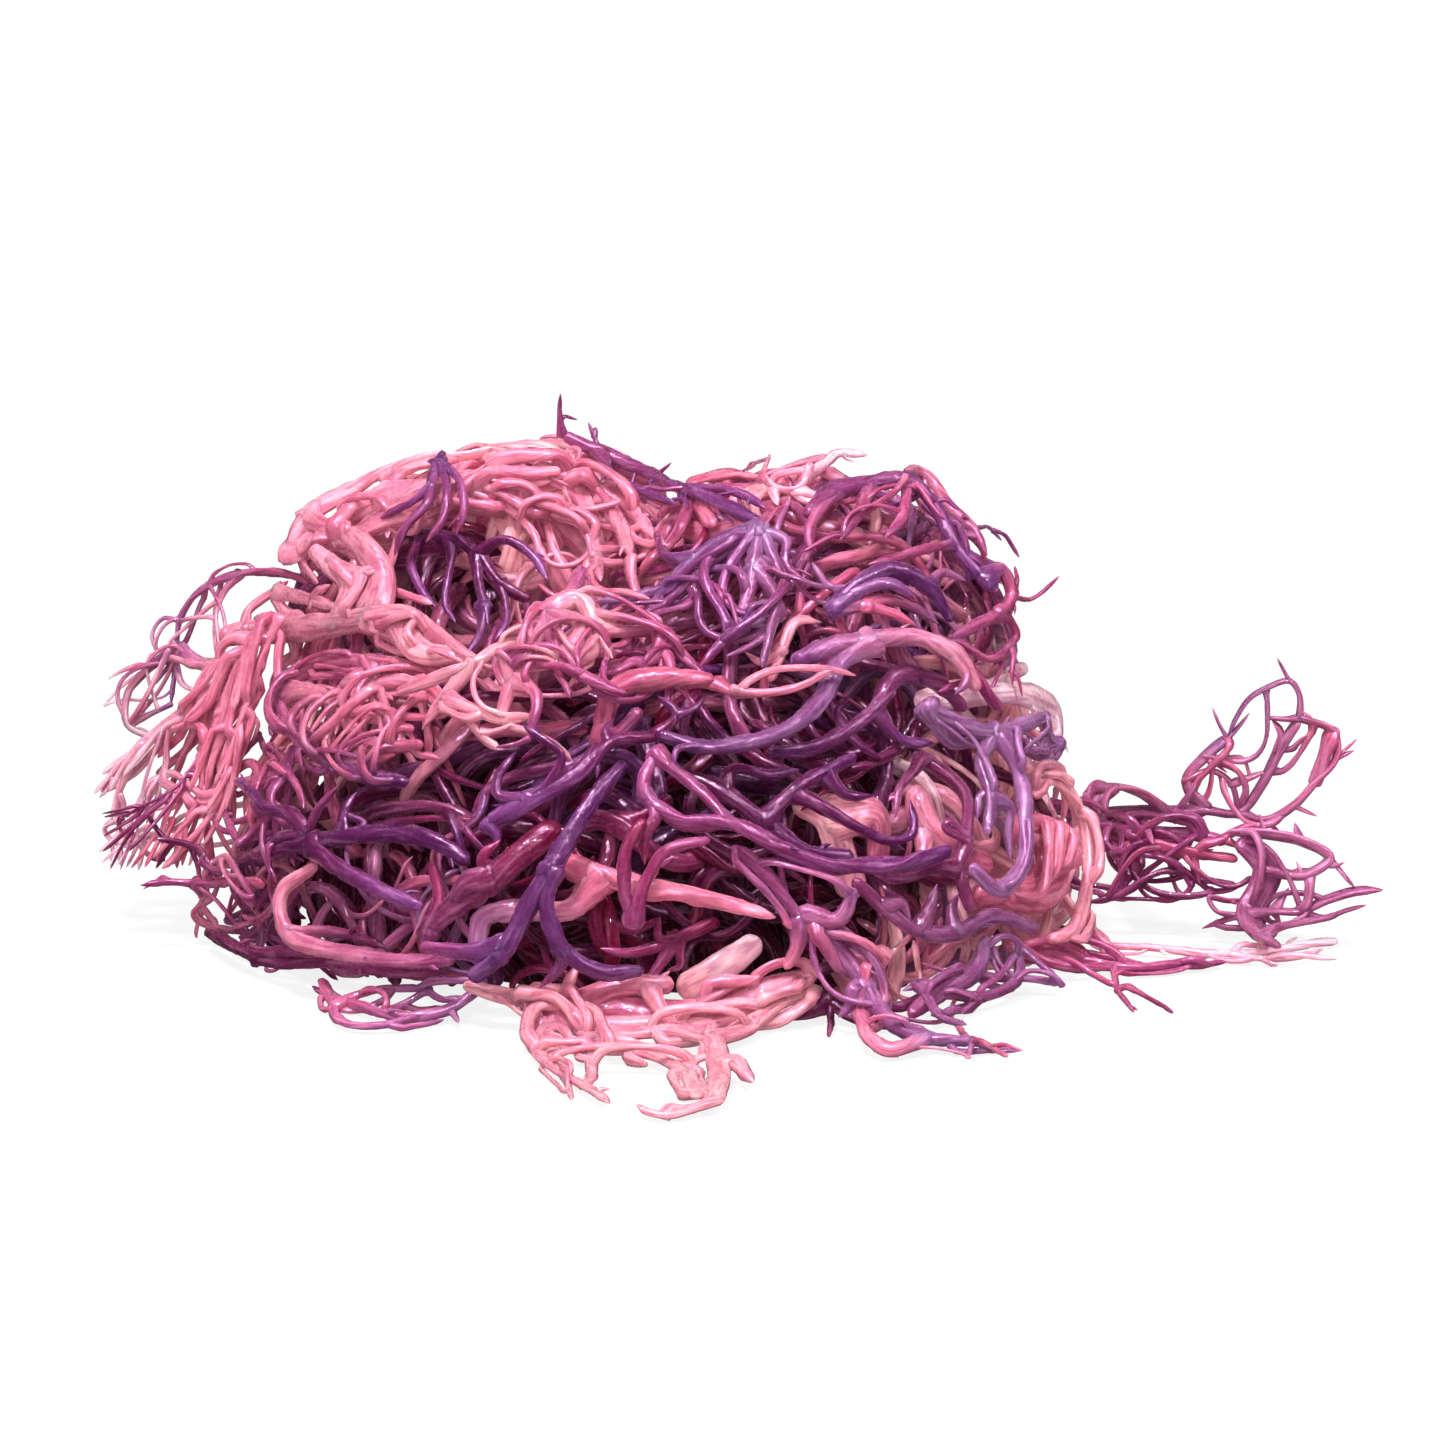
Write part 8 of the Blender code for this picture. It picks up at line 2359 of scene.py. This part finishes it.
def wet_material(name):
    """Wet seaweed: streaks along the strand in colour and relief under a clear gloss, with painted shade in
    the grooves, a painted highlight on the ridges, a painted sheen at the rims and a faint glow of painted
    light.
    """
    material, tree, shader = new_material(name)
    grain = add_node(tree, "Attribute", {}, attribute_name="grain")
    tint = add_node(tree, "Attribute", {}, attribute_name="tint")
    colour = tint.outputs["Color"]

    def noise(scale):
        """Noise over the strand, with its own scale across and along it."""
        mapping = add_node(tree, "Mapping", {"Vector": grain.outputs["Vector"], "Scale": scale})
        inputs = {"Vector": mapping.outputs["Vector"], "Scale": 1, "Detail": NOISE_DETAIL}
        return add_node(tree, "TexNoise", inputs).outputs["Fac"]

    def ranged(source, low, high, to_low=0, to_high=1):
        """Eases a value from one range to another."""
        ranges = {"From Min": low, "From Max": high, "To Min": to_low, "To Max": to_high}
        made = add_node(tree, "MapRange", {"Value": source, **ranges}, interpolation_type="SMOOTHSTEP")
        return made.outputs["Result"]

    def mixed(kind, factor, first, second):
        """Mixes two colours."""
        made = add_node(tree, "Mix", {"Factor": factor}, data_type="RGBA", blend_type=kind)
        colours = [socket for socket in made.inputs if socket.type == "RGBA"]
        for socket, value in zip(colours, (first, second)):
            feed(tree, socket, value)
        return next(socket for socket in made.outputs if socket.type == "RGBA")

    def bumped(source, relief, **over):
        """Relief of so many mm, over other relief if there is any."""
        made = add_node(tree, "Bump", {"Height": source, "Distance": relief * MM, **over})
        return made.outputs["Normal"]

    streaks, specks, blotches = (noise(scale) for scale in (STREAK_SCALE, SPECK_SCALE, BLOTCH_SCALE))
    # Painted shade in the grooves, a darker copy of the colour that also serves the blotches as their own
    # tone
    groove_shade_and_blotch = mixed("MULTIPLY", 1, colour, GROOVE_SHADE_AND_BLOTCH_TINT)
    # Painted highlight: a lighter copy of the colour, for the ridges and the rims
    painted_highlight = mixed("MULTIPLY", 1, colour, PAINTED_HIGHLIGHT_TINT)
    base = mixed("MIX", ranged(streaks, *GROOVE_BAND), groove_shade_and_blotch, colour)
    # Ridges take the painted highlight with a share of milky film
    base = mixed("MIX", ranged(streaks, *RIDGE_BAND), base, mixed("MIX", FILM_SHARE, painted_highlight, FILM_TINT))
    base = mixed("MIX", ranged(blotches, *BLOTCH_BAND), base, groove_shade_and_blotch)
    # Painted sheen along the edges that turn from the eye
    rim_sheen = add_node(tree, "LayerWeight", {"Blend": RIM_BLEND}).outputs["Facing"]
    base = mixed("MIX", ranged(rim_sheen, *RIM_BAND), base, mixed("MIX", RIM_SHEEN_SHARE, painted_highlight, RIM_SHEEN_TINT))
    streaked = bumped(streaks, STREAK_RELIEF)
    made = {
        "Base Color": base,
        # The glow is painted light in the strand's own colour
        "Emission Color": base,
        "Coat Weight": tint.outputs["Alpha"],
        "Roughness": ranged(specks, *SPECK_BAND, *ROUGHNESS),
        "Normal": bumped(specks, SPECK_RELIEF, Normal=streaked),
        "Coat Normal": bumped(specks, GLOSS_RELIEF, Normal=streaked),
    }
    for key, value in {**made, **SURFACE}.items():
        feed(tree, shader.inputs[key], value)
    return material


# The pieces


def put(name, skin, material):
    """Makes a piece of the collected tubes."""
    mesh = skin.mesh(name)
    mesh.materials.append(material)
    piece = bpy.data.objects.new(name, mesh)
    bpy.context.scene.collection.objects.link(piece)
    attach(piece, "root")
    return piece


def make_fronds(strands, shift, draw):
    """Skins for the fronds that stand for the solids, one for each."""
    skins = {}
    rings = ((MAIN_RING, SPINE_RING), (INNER_RING, SPINE_RING))
    for made in strands:
        frond, is_barb = made["frond"], made["is_barb"]
        is_inner = frond == "inner_tangle"
        skin = skins.setdefault(frond, Skin())
        shape = {
            **made,
            "shift": shift,
            "sides": SPINE_SIDES if is_barb else sides_for(made["radii"]),
            "ring": rings[is_inner][is_barb],
            "flatness": FLATNESS.get(frond, USUAL_FLATNESS),
            "uneven": SMOOTH_SHARE if frond in FULLER else 1,
            "web": SMOOTH_WEB if frond in FULLER else 1,
            "gloss": DEEP_GLOSS if is_inner else 1,
            "grain_start": draw.uniform(0, GRAIN_SPREAD),
        }
        form = add_strand(skin, draw, shape)
        if not is_barb and not is_inner:
            add_spines(skin, draw, shape, form)
    return skins


def middles_of(strands):
    """The middle point of each thin strand."""
    return np.array([route[len(route) // 2] for route, _, _ in strands])


def thin_strands(strands, rng):
    """All the thin strands, moved clear of the main ones, and how each is finished."""
    spots, sizes, drawn = [], [], []
    for main_strand in strands:
        fine, radii, _ = followed(main_strand["route"], main_strand["radii"], FIXED_STEP, False, False)
        spots.append(fine)
        sizes.append(radii)
        drawn += [main_strand["frond"] in FRONDS] * len(fine)
    spots, sizes, drawn = np.concatenate(spots), np.concatenate(sizes), np.array(drawn)
    cover = back_of_main(spots[drawn], sizes[drawn])
    made, finish = [], []
    for layer in (*LAYERS, BACK_LAYER):
        *form, ring = layer
        new = thin_layer(rng, form, layer == BACK_LAYER)
        offset = len(made)
        wider = zone_shares(middles_of(new)) @ np.array(ZONE_WIDTHS)
        for (route, radii, parent), width in zip(new, wider):
            radii = radii * width
            flatness = BROAD_FLATNESS if width > BROAD_FROM else 1
            if rng.uniform() > OVER_SHARE:
                route = passed_behind(route, radii, *cover)
            made.append((route, radii, None if parent is None else (parent[0] + offset, parent[1])))
            finish.append((ring, flatness, None, None, None))
    for route, radii, words, root, tip in fine_growth(strands, rng):
        last = len(route) if tip is None else -1
        made.append((route[1:last], radii[1:last], None))
        finish.append((FINE_RING, 1, words, root, tip))
    return spread_thin(made, spots, sizes), finish


def thin_tints(draw, words, own, depth, painted_shade):
    """The colour words and tints of a thin strand, with painted shade in the depths unless it grows from a
    frond.
    """
    words = own or words
    # Painted shade: deep strands are darkened, and the deepest take the dark colours of painted shade
    shade = 1 - painted_shade * (1 - float(np.interp(depth, PAINTED_SHADE_DEPTHS, PAINTED_SHADES)))
    tints = varied(draw, tint_pair(words))
    if depth < SHADE_COLOURS_BELOW and painted_shade > DEEP_PARTS and not own:
        words = SHADE_COLOURS
        tints = varied(draw, tint_pair(words))
    return words, tuple(tint * shade for tint in tints)


def make_thin_strands(strands, finish, shift, rng, draw):
    """Skins for the thin strands, one for each slot."""
    zone_words, painted_shade = zone_tints(rng, middles_of(strands))
    skins = {}
    pairs = []
    outside = [float(np.mean(~inside_outline(seen_at(route)))) > MOST_OUTSIDE for route, _, _ in strands]
    for k, (route, radii, parent) in enumerate(strands):
        ring, flatness, own, root, tip = finish[k]
        depth = float(np.mean(mound_gap(route)))
        words, pair = thin_tints(draw, zone_words[k], own, depth, painted_shade[k])
        pairs.append(pair)
        if not own and (outside[k] or (parent and outside[parent[0]])):
            continue
        skin = skins.setdefault(SLOT_OF[words[0]], Skin())
        root_joint = tip_joint = None
        if root is not None:
            route, radii = np.vstack([root[0], route]), np.concatenate([radii[:1], radii])
            root_joint = root[1:]
        if tip is not None:
            route, radii = np.vstack([route, tip[0]]), np.concatenate([radii, radii[-1:]])
            tip_joint = tip[1:]
        if parent is not None:
            stem, stem_radii, _ = strands[parent[0]]
            ahead = unit(stem[parent[1] + 1] - stem[parent[1]])
            root_joint = (ahead, stem_radii[parent[1]], pairs[parent[0]][0])
        shape = {
            "route": route,
            "radii": radii,
            "root_joint": root_joint,
            "tip_joint": tip_joint,
            "point": THIN_POINT,
            "sides": sides_for(radii),
            "ring": ring,
            "flatness": draw.uniform(*THIN_FLATNESS) * flatness,
            "gloss": float(np.interp(depth, GLOSS_DEPTHS, (DEEP_GLOSS, 1))),
            "grain_start": draw.uniform(0, GRAIN_SPREAD),
            "tints": pair,
            "shift": shift,
        }
        add_strand(skin, draw, shape)
    return skins


def core_lobes(skin, shift):
    """The dense inside, as knotted lumps in black_wine: a dark mass of painted shade."""
    turn = np.linspace(0, 2 * math.pi, CORE_AROUND, endpoint=False)[None, :]
    rise = np.linspace(-0.5, 0.5, CORE_UP)[:, None] * math.pi * CORE_CLOSES
    tints = np.repeat(linear(PALETTE["black_wine"])[None], CORE_UP, axis=0)
    for number, (centre, size) in enumerate(zip(LOBES[:, 0], core_sizes())):
        wide_knots = np.sin(KNOTS_ROUND[0] * turn + KNOTS_UP[0] * rise)
        tall_knots = np.cos(KNOTS_UP[1] * rise - KNOTS_ROUND[1] * turn + number)
        knots = 1 + KNOT_HEIGHT * wide_knots * tall_knots
        flat = np.cos(rise) * knots
        parts = np.broadcast_arrays(flat * np.cos(turn), flat * np.sin(turn), np.sin(rise) * knots)
        spots = centre + np.stack(parts, axis=-1) * size
        spots[..., 2] = np.maximum(spots[..., 2], FLOOR_GAP)
        skin.add_rings(spots + shift, spots, tints, 0)


# The studio


def turned_to(made, place, aim):
    """Puts a light or the camera in its place, turned to what it looks at."""
    made.location = place
    made.rotation_euler = (Vector(aim) - Vector(place)).to_track_quat("-Z", "Y").to_euler()
    bpy.context.scene.collection.objects.link(made)


def light(name, place, aim, size, power, mirrored, lights):
    """A round soft light that wet surfaces mirror, or that lights them."""
    lamp = bpy.data.lights.new(name, "AREA")
    lamp.shape = "DISK"
    lamp.size = size
    lamp.energy = power
    if not lights:
        lamp.color = GLINT_COLOUR
    made = bpy.data.objects.new(name, lamp)
    turned_to(made, place, aim)
    made.visible_glossy = mirrored
    made.visible_diffuse = lights
    made.visible_transmission = lights


def make_surround():
    """A white surround: one strength to light by, one for mirrored rays and one for the camera."""
    world = bpy.data.worlds.new("surround")
    bpy.context.scene.world = world
    world.use_nodes = True
    tree = world.node_tree
    ray = add_node(tree, "LightPath", {})
    strength = SURROUND_LIGHT
    for kind, own in (("Is Glossy Ray", SURROUND_MIRRORED), ("Is Camera Ray", SURROUND_SEEN)):
        mix = add_node(tree, "Mix", {"Factor": ray.outputs[kind], "A": strength, "B": own})
        strength = mix.outputs["Result"]
    background = tree.nodes["Background"]
    background.inputs["Color"].default_value = (1, 1, 1, 1)
    feed(tree, background.inputs["Strength"], strength)


def make_table():
    """A large white table that fades into the surround away from the heap."""
    half = TABLE_SIZE / 2
    mesh = bpy.data.meshes.new("table")
    corners = [(-half, -half, 0), (half, -half, 0), (half, half, 0), (-half, half, 0)]
    mesh.from_pydata(corners, [], [(0, 1, 2, 3)])
    table = bpy.data.objects.new("table", mesh)
    table.location.z = TABLE_TOP
    bpy.context.scene.collection.objects.link(table)
    material, tree, shader = new_material("table_white")
    shader.inputs["Base Color"].default_value = TABLE_COLOUR
    shader.inputs["Roughness"].default_value = TABLE_ROUGHNESS
    place = add_node(tree, "TexCoord", {}).outputs["Object"]
    length = add_node(tree, "VectorMath", {0: place}, operation="LENGTH").outputs["Value"]
    ranges = {"From Min": TABLE_FADE[0], "From Max": TABLE_FADE[1], "To Min": TABLE_GLOW}
    fade = add_node(tree, "MapRange", {"Value": length, **ranges})
    ray = add_node(tree, "LightPath", {})
    seen = add_node(tree, "MapRange", {"Value": ray.outputs["Is Camera Ray"], "To Min": TABLE_LIGHTS})
    glow = add_node(tree, "Emission", {"Strength": seen.outputs["Result"]})
    parts = {"Fac": fade.outputs["Result"], 1: shader.outputs["BSDF"], 2: glow.outputs["Emission"]}
    both = add_node(tree, "MixShader", parts)
    parts = {0: ray.outputs["Is Glossy Ray"], 1: TABLE_UNMIRRORED}
    mirrored = add_node(tree, "Math", parts, operation="MULTIPLY")
    unmirrored = add_node(tree, "MixShader", {"Fac": mirrored.outputs["Value"], 1: both.outputs["Shader"]})
    feed(tree, tree.nodes["Material Output"].inputs["Surface"], unmirrored.outputs["Shader"])
    mesh.materials.append(material)


def make_camera(shift):
    """The camera at the photograph's angle."""
    lens = bpy.data.cameras.new("camera")
    lens.sensor_width = SENSOR
    lens.lens = SENSOR * EYE_DISTANCE / FRAME_WIDTH
    lens.clip_start, lens.clip_end = CLIP
    camera = bpy.data.objects.new("camera", lens)
    middle = np.array([FRAME_MIDDLE[0], 0, 0]) + FRAME_MIDDLE[1] * UP
    turned_to(camera, (EYE + shift) * MM, (middle + shift) * MM)
    bpy.context.scene.camera = camera


def make_studio(shift):
    """A white table and surround, soft lights and the camera."""
    make_surround()
    make_table()
    for lamp in LIGHTS:
        light(*lamp)
    make_camera(shift)
    bpy.context.scene.view_settings.view_transform = "Standard"


def main():
    """Makes every piece and the studio."""
    draw = random.Random(SEED + 1)
    rng = np.random.default_rng(SEED)
    strands, shift = main_strands(draw)
    material = wet_material("wet_sea_moss")
    skins = make_fronds(strands, shift, draw)
    core_lobes(skins["inner_tangle"], shift)
    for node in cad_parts:
        slot = FRONDS[node][0] if node in FRONDS else UNDRAWN_SLOTS.get(node, "mauve")
        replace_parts(put("moss_" + node, skins[node], material), node)
    thin, finish = thin_strands(strands, rng)
    for slot, skin in make_thin_strands(thin, finish, shift, rng, draw).items():
        put("thin_strands_" + slot, skin, material)
    make_studio(shift)


main()
